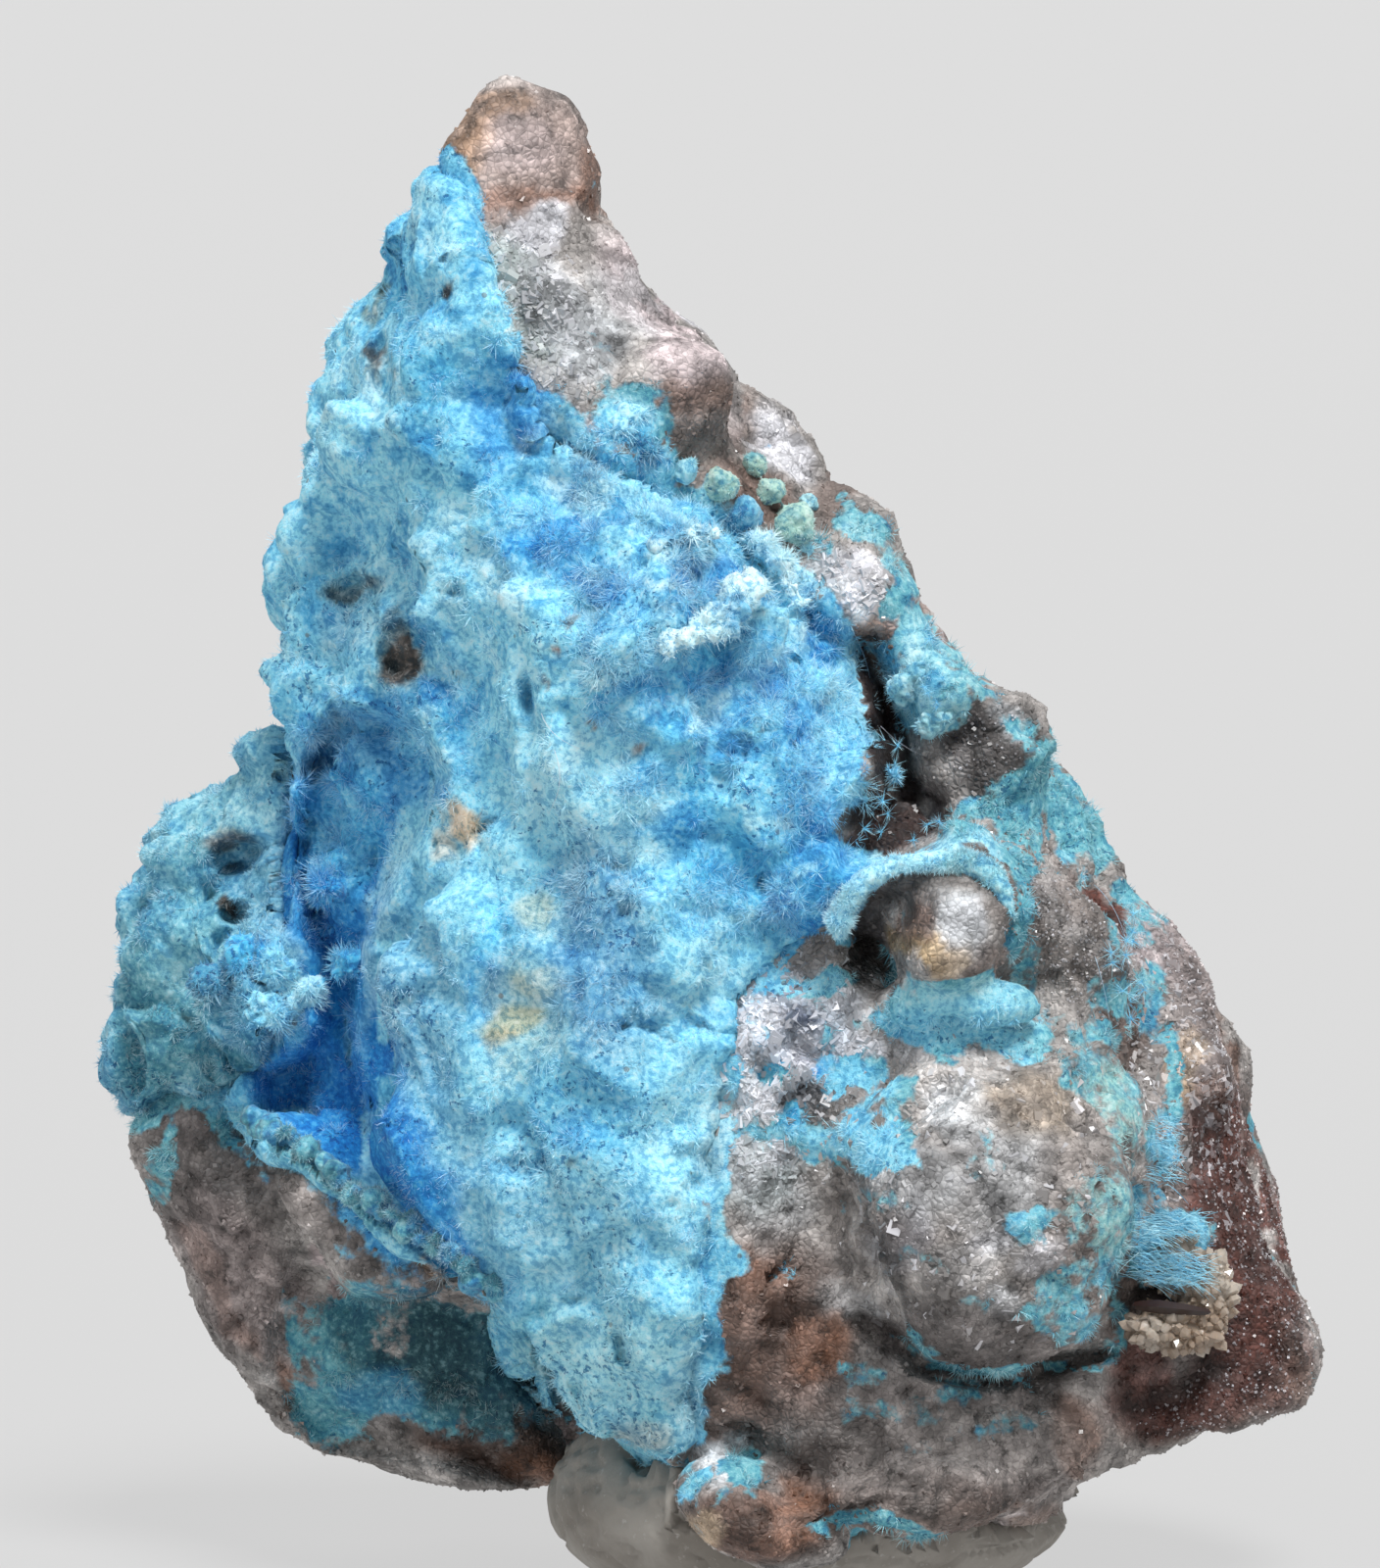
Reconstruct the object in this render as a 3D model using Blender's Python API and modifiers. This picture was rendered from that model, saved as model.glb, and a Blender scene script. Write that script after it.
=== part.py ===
"""A thumbnail-size cyanotrichite specimen: a broken wedge of iron-stained rock with drusy quartz,
a felted blue crust over its front, a turquoise crust on its left lobe and a pale quartz cluster
at its right edge, set in a pad of putty.

Metres, +Z up. The origin is the centre of the putty's flat underside, and the front faces -Y.
Every length below is in millimetres, and MM turns it into metres.
"""

import math

import bmesh
import bpy
from mathutils import Euler, Matrix, Vector, noise
from mathutils.bvhtree import BVHTree

MM = 0.001

# The front view is taken from this far above the horizon. Places in it are (across, up), and how
# far away a place lies is measured along the line of sight.
VIEW_ANGLE = math.radians(6)
SIGHT = Vector((0, math.cos(VIEW_ANGLE), -math.sin(VIEW_ANGLE)))

# How finely the rock is worked, from the joined blocks to the finished facets.
VOXEL = 0.32
SMOOTH_PASSES = 1
WELD = 0.002
ROCK_TRIANGLES = 4400
CRUST_TRIANGLES = 3300
CUTTER_TRIANGLES = 2500

# The weathered surface: (size of the lumps, how far they stand out), and how much it has lost.
COARSE_RELIEF = (3.0, 0.55)
FINE_RELIEF = (1.2, 0.42)
WORN_AWAY = 0.1

# Pieces that rest on the rock keep this clear of it.
GAP = 0.22

# The crusts lie in beds this deep in the rock, sunk in steps, on the faces that look to the front.
BED_DEPTH = 0.75
BED_STEPS = 3
BED_WRAP = 0.35

# The felt stands out of its bed by a fine relief, and its edge is ragged: (size, height).
FELT_RELIEF = (0.9, 0.2)
RAGGED_EDGE = (0.9, 0.3)
RAGGED_STEP = 0.55

PUTTY_RADIUS = 4.45
PUTTY_HEIGHT = 3.1
PUTTY_STEPS = 26
PUTTY_FOOT = 0.97
PUTTY_FOOT_ANGLE = -60
PUTTY_DENTS = (2.4, 0.16)

# The origin of the places below, seen from the putty's centre.
PUTTY_FROM_AXIS = (1.75, 3.9)

# Each block of the rock is the convex hull of its corners.
BLOCKS = {
    "tip": (
        (-3.5, 3.8, 26.7), (-4.2, 3.2, 25.9), (-2.2, 4.2, 25.5), (-1.8, 4.6, 24.7),
        (-1.7, 4.6, 23.8), (-4.6, 3.0, 24.8), (-4.7, 3.4, 24.4), (-3.0, 2.4, 23.6),
        (-2.8, 6.0, 25.8), (-1.9, 6.8, 24.3), (-4.3, 6.0, 24.9), (-4.6, 6.0, 23.5),
    ),
    "spire": (
        (-4.2, 2.2, 24.3), (-5.3, 3.8, 24.0), (-5.7, 4.0, 23.0), (-6.6, 4.6, 22.0),
        (-6.8, 5.2, 21.0), (-6.8, 5.0, 19.9), (-7.1, 5.2, 18.8), (-3.0, 0.8, 20.5),
        (-3.7, 1.4, 22.1), (-1.7, 4.4, 23.5), (-0.7, 4.6, 22.3), (0.7, 4.8, 20.8),
        (1.5, 5.0, 19.9), (2.5, 5.2, 19.3), (3.2, 5.4, 17.9), (-1.4, 0.2, 19.1),
        (-0.4, 1.6, 19.3), (1.3, 2.4, 18.2), (-2.7, 0.0, 17.4), (-7.1, 4.8, 17.3),
        (-4.0, 0.8, 17.3), (-5.4, 2.6, 20.9), (-2.1, 7.5, 23.1), (-5.5, 7.2, 22.2),
        (-6.4, 8.5, 17.7), (1.0, 9.0, 17.6), (-1.4, 10.0, 16.1),
    ),
    "shield": (
        (-4.0, 1.2, 19.6), (-2.0, 0.2, 19.7), (-0.4, 0.1, 18.9), (1.3, 0.3, 17.9),
        (2.6, 0.4, 16.2), (3.0, 0.5, 14.7), (2.7, 0.6, 13.3), (2.1, 0.4, 11.7),
        (0.3, -0.6, 11.1), (-2.0, -1.0, 12.8), (-3.7, 0.2, 14.4), (-2.7, -0.3, 17.4),
        (-0.4, -0.9, 16.2), (1.6, -0.6, 15.0), (-4.1, 4.0, 15.7), (2.3, 4.0, 15.7),
        (2.4, 4.0, 12.3), (-2.7, 4.0, 11.4),
    ),
    "right_flank": (
        (-1.4, 1.8, 18.9), (2.3, 3.0, 17.5), (3.2, 5.0, 18.0), (4.5, 5.0, 16.2),
        (5.5, 5.0, 15.0), (6.2, 5.0, 14.2), (6.9, 5.0, 12.7), (7.5, 4.8, 12.0),
        (8.4, 4.6, 10.8), (9.1, 4.4, 9.8), (9.2, 4.2, 8.7), (4.0, 1.9, 15.2),
        (5.7, 2.4, 13.8), (3.7, 1.6, 13.2), (6.0, 1.3, 11.2), (7.7, 1.4, 9.5),
        (8.1, 1.8, 7.4), (3.0, 0.8, 11.8), (-2.0, 3.0, 15.8), (-2.1, 3.0, 7.3),
        (-2.8, 9.0, 17.6), (2.4, 9.5, 16.9), (6.2, 9.5, 11.7), (8.6, 9.0, 8.2),
        (8.6, 8.0, 4.9),
    ),
    "left_flank": (
        (-7.1, 5.0, 18.3), (-7.2, 5.0, 16.6), (-7.2, 5.0, 14.8), (-7.2, 4.8, 12.2),
        (-6.6, 3.8, 10.6), (-4.0, 0.9, 14.3), (-4.2, 1.0, 17.3), (-5.4, 2.2, 15.9),
        (-5.1, 3.0, 10.7), (-4.8, 3.4, 6.4), (-5.8, 4.2, 5.7), (-6.8, 9.0, 18.3),
        (-7.3, 9.5, 14.4), (-7.0, 10.0, 10.7), (-5.2, 9.0, 4.7), (-0.4, 9.0, 13.4),
        (-0.4, 9.0, 6.5),
    ),
    "prow": (
        (-4.0, 0.9, 14.5), (-2.0, -0.7, 15.1), (-5.9, 0.9, 11.4), (-6.2, 0.8, 9.7),
        (-5.6, 0.7, 7.9), (-3.5, 0.3, 5.7), (-3.0, 0.2, 3.9), (-2.3, 0.3, 3.2),
        (-0.5, 0.6, 2.2), (-1.7, -1.4, 11.2), (-1.4, -1.6, 7.9), (-0.7, -1.1, 4.8),
        (0.3, -0.9, 11.2), (0.2, -0.8, 7.8), (0.0, -0.3, 3.5), (-3.8, 3.5, 12.3),
        (-4.1, 3.5, 8.9), (-2.7, 3.5, 5.5), (-0.4, 3.5, 2.4), (1.3, 3.0, 10.7),
    ),
    "foot": (
        (0.0, -0.5, 8.6), (2.1, -0.5, 8.6), (-0.4, -0.5, 4.4), (-0.5, 0.5, 2.4),
        (0.3, 0.3, 1.6), (1.2, 0.4, 1.0), (2.5, -0.4, 1.6), (4.0, -0.8, 1.8),
        (5.0, -0.8, 1.7), (6.2, 0.0, 2.1), (6.8, 0.3, 2.7), (7.0, 0.8, 4.2),
        (1.8, -1.2, 5.3), (3.5, -1.7, 3.9), (5.3, -1.6, 3.7), (7.2, 1.0, 7.5),
        (-1.4, 5.0, 2.7), (0.7, 5.0, 1.3), (5.6, 6.0, 1.9), (7.0, 6.0, 2.9),
        (3.0, 4.0, 8.9), (7.9, 6.0, 6.9),
    ),
    "slab": (
        (8.6, 4.8, 10.3), (9.0, 4.2, 9.8), (9.2, 3.8, 8.9), (9.7, 3.2, 7.6),
        (10.1, 2.0, 5.5), (10.4, 1.2, 4.3), (10.4, 1.3, 3.8), (9.9, 1.3, 3.4),
        (6.9, 0.8, 2.5), (7.0, 1.4, 4.4), (7.5, 2.0, 7.4), (7.4, 4.0, 10.6),
        (9.1, 8.0, 9.1), (10.2, 8.0, 5.7), (10.5, 6.5, 3.5), (7.4, 7.5, 2.1),
        (6.9, 8.0, 9.2),
    ),
    "ledge": (
        (-8.2, 2.9, 8.0), (-7.8, 3.2, 8.4), (-6.6, 3.4, 8.1), (-6.4, 2.4, 5.5),
        (-7.1, 2.6, 6.5), (-4.7, 1.4, 5.4), (-3.5, 0.6, 5.6), (-4.9, 2.6, 7.2),
        (-3.7, 2.2, 6.5), (-7.2, 5.5, 7.3), (-5.5, 5.5, 5.4), (-3.4, 4.5, 5.0),
    ),
    "lobe": (
        (-7.3, 6.0, 14.7), (-8.0, 6.6, 14.0), (-8.2, 6.3, 13.2), (-9.3, 7.0, 12.9),
        (-10.2, 7.4, 11.9), (-10.6, 7.8, 9.4), (-10.3, 7.4, 7.9), (-10.2, 7.0, 6.7),
        (-9.1, 6.8, 4.9), (-8.2, 6.6, 3.3), (-7.2, 6.4, 2.0), (-6.7, 6.4, 1.7),
        (-4.3, 6.0, 1.7), (-3.0, 5.6, 1.1), (-2.1, 5.0, 1.6), (-8.9, 5.7, 11.2),
        (-9.1, 5.6, 7.8), (-7.4, 5.2, 12.1), (-6.9, 5.0, 4.9), (-4.1, 4.8, 3.6),
        (-2.8, 4.4, 2.3), (-7.7, 10.0, 13.3), (-9.8, 10.5, 10.7), (-9.8, 10.5, 7.2),
        (-8.0, 10.0, 3.7), (-4.7, 9.5, 1.7), (-1.8, 9.0, 1.4), (-5.6, 11.0, 11.5),
        (-5.3, 11.5, 6.1),
    ),
    "back": (
        (-3.8, 8.6, 18.4), (1.4, 10.2, 14.7), (-4.7, 11.2, 11.5), (2.3, 12.2, 9.6),
        (6.6, 9.8, 7.8), (-2.1, 12.0, 6.1), (4.0, 10.6, 4.5), (-0.4, 9.0, 1.6),
        (4.8, 8.0, 2.2), (-2.1, 6.0, 12.1), (3.0, 5.0, 7.0),
    ),
}

# Rounded lumps that stand out of the blocks: (centre, half sizes, turn about the view in degrees).
LUMPS = {
    "big_knob": ((4.7, -0.8, 7.1), (2.65, 2.8, 2.85), 0),
    "knob_shoulder": ((6.1, 0.3, 9.0), (1.6, 1.7, 1.7), 0),
    "small_knob": ((4.2, -0.9, 12.0), (1.0, 1.1, 1.0), 0),
    "neck": ((3.7, 0.3, 10.3), (1.7, 1.2, 1.0), 0),
    "mixed_rock": ((1.4, 0.3, 9.6), (1.4, 1.2, 1.8), 0),
    "druse_ridge": ((5.95, 0.9, 11.8), (1.0, 1.15, 2.2), -33),
    "dark_boulder": ((5.1, 2.6, 14.7), (1.05, 1.0, 0.95), 0),
    "turquoise_cushion": ((3.75, 1.9, 15.7), (0.75, 0.7, 0.8), 0),
    "edge_cushion_low": ((6.4, 3.8, 13.2), (0.9, 1.0, 0.9), 0),
    "edge_cushion_high": ((2.85, 3.8, 18.3), (0.8, 0.9, 0.8), 0),
    "white_lump": ((2.7, 2.7, 17.7), (0.75, 0.7, 0.6), 0),
    "brown_lump": ((3.25, 2.9, 17.0), (0.6, 0.6, 0.55), 0),
    "flank_lump_low": ((-0.5, 2.4, 20.7), (1.1, 0.9, 1.2), 20),
    "flank_lump_mid": ((-2.7, 2.4, 22.1), (0.8, 0.8, 0.9), 0),
    "flank_lump_top": ((-1.6, 3.8, 22.9), (0.8, 0.8, 0.7), 0),
    "flank_lump_edge": ((-0.3, 4.2, 21.9), (0.8, 0.8, 0.7), 0),
    "lobe_shoulder": ((-8.3, 6.9, 12.5), (1.4, 1.3, 1.2), 0),
    "lobe_cheek": ((-9.4, 7.2, 10.9), (1.3, 1.4, 1.4), 0),
    "lobe_jowl": ((-9.9, 7.6, 9.1), (1.0, 1.3, 1.2), 0),
    "hollow_lump": ((-7.8, 4.9, 10.2), (1.0, 0.9, 1.2), 0),
    "foot_lump_high": ((1.3, -0.3, 7.0), (1.2, 1.0, 1.1), 0),
    "foot_lump_left": ((0.7, -0.4, 5.4), (1.0, 0.9, 1.2), 0),
    "foot_lump_mid": ((2.1, -0.4, 3.0), (1.3, 1.1, 1.0), 0),
    "foot_lump_right": ((4.1, -0.5, 2.7), (1.2, 1.2, 0.9), 0),
    "foot_lump_end": ((5.8, -0.1, 3.0), (1.0, 1.1, 0.9), 0),
    "foot_quartz": ((0.8, 0.7, 1.75), (0.9, 0.9, 0.7), 30),
    "fuzzy_cushion": ((1.7, -0.1, 12.6), (1.1, 0.9, 0.9), 0),
    "fuzzy_cushion_high": ((2.4, 0.1, 13.7), (0.7, 0.7, 0.6), 0),
    "right_quartz_high": ((8.3, 3.4, 10.5), (0.8, 0.9, 0.9), 0),
    "right_quartz_mid": ((8.7, 2.8, 9.2), (0.7, 0.9, 0.9), 0),
    "right_lump_mid": ((7.9, 2.0, 8.3), (0.8, 0.9, 1.0), 0),
    "right_lump_low": ((7.5, 1.4, 6.6), (0.8, 0.9, 1.0), 0),
    "tip_point": ((-3.45, 4.0, 26.1), (0.5, 0.7, 0.7), 0),
    "rear_bridge": ((-1.5, 8.5, 4.7), (2.5, 2.7, 2.9), 0),
    "rear_lump_left": ((-4.0, 11.0, 8.5), (2.6, 1.4, 2.4), 15),
    "rear_lump_right": ((3.6, 11.0, 7.5), (2.4, 1.6, 2.6), -20),
    "rear_lump_top": ((-1.0, 9.6, 16.0), (2.0, 1.3, 2.2), 25),
}

# The raised rim round the small knob: its centre, radius, thickness and sweep in degrees.
NEST_CENTRE = (4.0, -0.4, 11.9)
NEST_RADIUS = 1.6
NEST_THICKNESS = 0.5
NEST_SWEEP = (40, 180)
NEST_LUMPS = 9

# Hollows pressed in from the front: (across, up, half width, half height, turn in degrees, depth).
HOLLOWS = {
    "crevice": (3.1, 14.8, 0.6, 1.9, -17, 1.6),
    "crevice_floor": (3.5, 13.7, 0.7, 0.6, 0, 0.9),
    "dark_pit": (-5.2, 16.7, 0.6, 0.55, 0, 0.6),
    "upper_pit": (-6.2, 17.7, 0.55, 0.4, 20, 0.5),
    "slot_pit": (-5.6, 21.7, 0.35, 0.6, -12, 0.4),
    "lobe_pit": (-8.45, 13.25, 0.65, 0.4, 12, 0.9),
    "lobe_hole": (-8.3, 12.2, 0.4, 0.35, 0, 0.8),
    "crack_under_knob": (4.7, 4.15, 2.1, 0.4, -4, 1.2),
    "nest_hole": (3.0, 11.9, 0.5, 0.6, 0, 1.2),
    "knob_seam": (1.95, 7.4, 0.45, 2.2, -6, 0.8),
    "knob_seam_low": (2.9, 4.9, 0.5, 1.1, 40, 0.7),
    "knob_cap_seam": (4.3, 9.9, 1.8, 0.35, 4, 0.6),
}

# The edges of the crusts in the front view, and between what depths each lies.
BLUE_OUTLINE = (
    (-4.9, 24.9), (-4.2, 24.6), (-3.8, 22.9), (-3.4, 21.4), (-2.7, 20.4), (-1.9, 19.7),
    (-0.4, 19.0), (1.3, 17.9), (2.6, 16.4), (2.9, 14.9), (2.7, 13.5), (2.0, 12.0),
    (0.6, 11.1), (0.2, 9.4), (0.1, 7.7), (-0.2, 5.7), (-0.4, 4.4), (-0.4, 2.0),
    (-1.0, 1.9), (-2.2, 2.6), (-3.2, 3.7), (-3.7, 4.9), (-3.6, 5.6), (-4.8, 6.2),
    (-5.7, 7.0), (-7.0, 7.9), (-8.7, 8.4), (-7.8, 9.3), (-7.3, 10.4),
    (-7.2, 12.4), (-7.1, 15.0), (-9.0, 16.0), (-9.0, 24.9),
)
BLUE_REACH = (-6.0, 6.4)
TURQUOISE_OUTLINE = (
    (-7.5, 16.0), (-7.6, 12.4), (-7.7, 10.6), (-8.1, 9.4), (-8.9, 8.9), (-11.9, 8.6),
    (-11.9, 14.5), (-9.5, 16.5),
)
TURQUOISE_REACH = (1.5, 7.4)

# Little balls of green spray on the right flank: (across, up, radius).
SPHERULES = (
    (0.2, 19.57, 0.34),
    (0.8, 19.95, 0.25),
    (1.15, 19.48, 0.27),
    (1.48, 18.93, 0.36),
    (0.65, 19.1, 0.3),
)

# The pale quartz cluster: (middle, half sizes, number of points) of its two heads, (radius, length)
# of a point, how deep its foot stands, and how the sizes run: least, spread and step.
CLUSTER_HEADS = (
    ((8.3, 0.6, 5.1), (0.95, 0.6, 0.5), 20),
    ((8.05, 0.75, 6.15), (0.6, 0.5, 0.8), 12),
)
CLUSTER_POINT = (0.24, 0.36)
CLUSTER_SINK = 0.75
CLUSTER_MIX = (0.85, 0.3, 2.4)
POINT_TAPER = 0.3


def clear_scene():
    """Removes whatever the file opened with."""
    for obj in list(bpy.data.objects):
        bpy.data.objects.remove(obj)


def new_collection(name):
    """A collection in the scene."""
    made = bpy.data.collections.new(name)
    bpy.context.scene.collection.children.link(made)
    return made


def material(name, colour, roughness):
    """A plain finish of one colour."""
    made = bpy.data.materials.new(name)
    made.use_nodes = True
    shader = made.node_tree.nodes["Principled BSDF"]
    shader.inputs["Base Color"].default_value = (*colour, 1.0)
    shader.inputs["Roughness"].default_value = roughness
    shader.inputs["Metallic"].default_value = 0.0
    return made


def mesh_object(name, bm, collection):
    """An object with the mesh that bm holds."""
    mesh = bpy.data.meshes.new(name)
    bm.to_mesh(mesh)
    bm.free()
    obj = bpy.data.objects.new(name, mesh)
    collection.objects.link(obj)
    return obj


def copy_of(obj, name, collection):
    """A second object with its own copy of the mesh."""
    made = bpy.data.objects.new(name, obj.data.copy())
    collection.objects.link(made)
    return made


def as_cutter(obj):
    """Marks a helper that only shapes other pieces."""
    obj.hide_render = True
    obj.display_type = "WIRE"
    return obj


def settle(obj):
    """Gives the object the mesh that its modifiers make, and takes the modifiers off."""
    graph = bpy.context.evaluated_depsgraph_get()
    mesh = bpy.data.meshes.new_from_object(obj.evaluated_get(graph))
    obj.modifiers.clear()
    obj.data = mesh
    return obj


def remesh(obj):
    """Makes one closed skin of the bodies in a mesh."""
    skin = obj.modifiers.new("one skin", "REMESH")
    skin.mode = "VOXEL"
    skin.voxel_size = VOXEL * MM
    return settle(obj)


def thin_out(obj, triangles):
    """Joins small faces to broad facets, about as many as asked for."""
    facets = obj.modifiers.new("facets", "DECIMATE")
    facets.ratio = min(1.0, triangles / (2 * len(obj.data.polygons)))
    return settle(obj)


def combine(obj, other, operation):
    """Joins a helper to the object, cuts it out of it, or keeps what they share."""
    boolean = obj.modifiers.new(operation.lower(), "BOOLEAN")
    boolean.operation = operation
    boolean.object = other
    return settle(obj)


def largest_piece(obj):
    """Drops the crumbs that a cut leaves beside the main piece."""
    bm = bmesh.new()
    bm.from_mesh(obj.data)
    bmesh.ops.remove_doubles(bm, verts=bm.verts, dist=WELD * MM)
    left = set(bm.verts)
    pieces = []
    while left:
        front = [left.pop()]
        piece = set(front)
        while front:
            vert = front.pop()
            for edge in vert.link_edges:
                other = edge.other_vert(vert)
                if other in left:
                    left.remove(other)
                    piece.add(other)
                    front.append(other)
        pieces.append(piece)
    pieces.sort(key=len)
    for piece in pieces[:-1]:
        bmesh.ops.delete(bm, geom=list(piece), context="VERTS")
    bm.to_mesh(obj.data)
    bm.free()
    return obj


def add_block(bm, corners):
    """Adds the convex hull of the corners."""
    verts = [bm.verts.new(Vector(corner) * MM) for corner in corners]
    hull = bmesh.ops.convex_hull(bm, input=verts)
    spare = {v for v in hull["geom_interior"] + hull["geom_unused"] if isinstance(v, bmesh.types.BMVert)}
    bmesh.ops.delete(bm, geom=list(spare), context="VERTS")


def add_lump(bm, centre, half_sizes, turn=0, fineness=3):
    """Adds an ellipsoid, turned about the line of sight."""
    place = Matrix.LocRotScale(
        Vector(centre) * MM,
        Euler((0, math.radians(turn), 0)),
        Vector(half_sizes) * MM,
    )
    bmesh.ops.create_icosphere(bm, subdivisions=fineness, radius=1.0, matrix=place)


def add_nest_rim(bm):
    """Adds the rim round the small knob, as lumps set close along an arc."""
    start, stop = NEST_SWEEP
    x, y, z = NEST_CENTRE
    for i in range(NEST_LUMPS):
        angle = math.radians(start + (stop - start) * i / (NEST_LUMPS - 1))
        spot = (x + NEST_RADIUS * math.cos(angle), y, z + NEST_RADIUS * math.sin(angle))
        add_lump(bm, spot, (NEST_THICKNESS,) * 3)


def in_front_view(point):
    """(across, up) of a point in the front view, in millimetres."""
    return point.x / MM, (point.z + point.y * math.tan(VIEW_ANGLE)) / MM


def pressed_in(point):
    """How far the hollows push a point of the front back, in millimetres."""
    across, up = in_front_view(point)
    total = 0.0
    for u, v, half_width, half_height, turn, depth in HOLLOWS.values():
        angle = math.radians(turn)
        du, dv = across - u, up - v
        beside = (du * math.cos(angle) - dv * math.sin(angle)) / half_width
        along = (du * math.sin(angle) + dv * math.cos(angle)) / half_height
        reach = along * along + beside * beside
        if reach < 1:
            total += depth * (1 - reach)
    return total


def relief(point, size_and_height, octaves):
    """Fractal lumps of one size, as a height at a point, in millimetres."""
    size, height = size_and_height
    return height * noise.fractal(point / MM / size, 1.0, 2.1, octaves)


def inside(outline, across, up):
    """Whether a place in the front view lies inside an outline, by counting crossings."""
    found = False
    previous = outline[-1]
    for corner in outline:
        low, high = sorted((previous, corner), key=lambda place: place[1])
        if low[1] <= up < high[1]:
            share = (up - low[1]) / (high[1] - low[1])
            if across < low[0] + share * (high[0] - low[0]):
                found = not found
        previous = corner
    return found


def in_bed(vert):
    """Whether a vertex lies under one of the crusts."""
    if vert.normal.y > BED_WRAP:
        return False
    across, up = in_front_view(vert.co)
    for outline, (near, far) in ((BLUE_OUTLINE, BLUE_REACH), (TURQUOISE_OUTLINE, TURQUOISE_REACH)):
        if near < vert.co.dot(SIGHT) / MM < far and inside(outline, across, up):
            return True
    return False


def displace(obj, height_at):
    """Moves each vertex along its normal by the height that the function gives, in millimetres."""
    bm = bmesh.new()
    bm.from_mesh(obj.data)
    bm.normal_update()
    heights = [height_at(vert) for vert in bm.verts]
    moves = [vert.normal * height * MM for vert, height in zip(bm.verts, heights)]
    for vert, move in zip(bm.verts, moves):
        vert.co += move
    bm.to_mesh(obj.data)
    bm.free()
    return obj


def press_hollows(obj):
    """Pushes the hollows into the faces that look to the front."""
    for vert in obj.data.vertices:
        if vert.normal.y < 0.2:
            vert.co.y += pressed_in(vert.co) * MM
    obj.data.update()
    return obj


def full_skin(helpers):
    """The specimen's whole surface, crusts and all: blocks and lumps made one skin and weathered."""
    bm = bmesh.new()
    for corners in BLOCKS.values():
        add_block(bm, corners)
    for lump in LUMPS.values():
        add_lump(bm, *lump)
    add_nest_rim(bm)
    bmesh.ops.recalc_face_normals(bm, faces=bm.faces)
    obj = as_cutter(mesh_object("full_skin", bm, helpers))
    soften = remesh(obj).modifiers.new("soften", "SMOOTH")
    soften.iterations = SMOOTH_PASSES
    displace(
        settle(obj),
        lambda vert: relief(vert.co, COARSE_RELIEF, 3) + relief(vert.co, FINE_RELIEF, 2) - WORN_AWAY,
    )
    return press_hollows(obj)


def rock(skin, collection):
    """The host rock: the skin sunk where a crust covers it, and thinned to broad facets."""
    obj = copy_of(skin, "matrix", collection)
    for _ in range(BED_STEPS):
        displace(obj, lambda vert: -BED_DEPTH / BED_STEPS if in_bed(vert) else 0.0)
        remesh(obj)
    return thin_out(obj, ROCK_TRIANGLES)


def swollen(obj, name, helpers):
    """A closed skin that stands off an object by the gap, to cut its neighbours clear of it."""
    made = as_cutter(copy_of(obj, name, helpers))
    displace(made, lambda vert: GAP)
    remesh(made)
    return thin_out(made, CUTTER_TRIANGLES)


def ragged(outline):
    """The outline with its straight runs split in short steps and shaken by noise."""
    size, height = RAGGED_EDGE
    shaken = []
    for start, stop in zip(outline, outline[1:] + outline[:1]):
        start, stop = Vector(start), Vector(stop)
        steps = max(1, round((stop - start).length / RAGGED_STEP))
        for i in range(steps):
            place = start.lerp(stop, i / steps)
            aside = noise.noise(Vector((*place, 0)) / size)
            upward = noise.noise(Vector((*place, size)) / size)
            shaken.append(place + Vector((aside, upward)) * height)
    return shaken


def outline_prism(name, outline, reach, helpers):
    """The outline drawn out along the line of sight, between two depths."""
    near, far = reach
    curve = bpy.data.curves.new(name, "CURVE")
    curve.dimensions = "2D"
    curve.fill_mode = "BOTH"
    curve.extrude = (far - near) / 2 * MM
    spline = curve.splines.new("POLY")
    spline.points.add(len(outline) - 1)
    for point, (across, up) in zip(spline.points, outline):
        point.co = (across * MM, up * math.cos(VIEW_ANGLE) * MM, 0, 1)
    spline.use_cyclic_u = True
    drawn = bpy.data.objects.new(name, curve)
    helpers.objects.link(drawn)
    drawn.rotation_euler.x = math.pi / 2 - VIEW_ANGLE
    drawn.location = SIGHT * (near + far) / 2 * MM
    graph = bpy.context.evaluated_depsgraph_get()
    mesh = bpy.data.meshes.new_from_object(drawn.evaluated_get(graph))
    mesh.transform(drawn.matrix_world)
    bpy.data.objects.remove(drawn)
    bm = bmesh.new()
    bm.from_mesh(mesh)
    bmesh.ops.remove_doubles(bm, verts=bm.verts, dist=WELD * MM)
    bmesh.ops.recalc_face_normals(bm, faces=bm.faces)
    return as_cutter(mesh_object(name, bm, helpers))


def crust(name, skin, off_rock, outline, reach, collection, helpers):
    """A crust that fills its bed: the felted skin inside its outline, cut clear of the rock."""
    obj = copy_of(skin, name, collection)
    displace(obj, lambda vert: relief(vert.co, FELT_RELIEF, 2))
    remesh(obj)
    thin_out(obj, CRUST_TRIANGLES)
    combine(obj, outline_prism(name + "_outline", ragged(outline), reach, helpers), "INTERSECT")
    combine(obj, off_rock, "DIFFERENCE")
    return largest_piece(obj)


def quartz_point(foot, direction, radius, length, helpers):
    """A six-sided crystal with a blunt point, standing on its foot."""
    bm = bmesh.new()
    turn = Vector((0, 0, 1)).rotation_difference(direction).to_matrix().to_4x4()
    bmesh.ops.create_cone(
        bm,
        cap_ends=True,
        segments=6,
        radius1=radius,
        radius2=radius * POINT_TAPER,
        depth=length,
        matrix=Matrix.Translation(foot + direction * length / 2) @ turn,
    )
    return as_cutter(mesh_object("quartz_point", bm, helpers))


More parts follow.
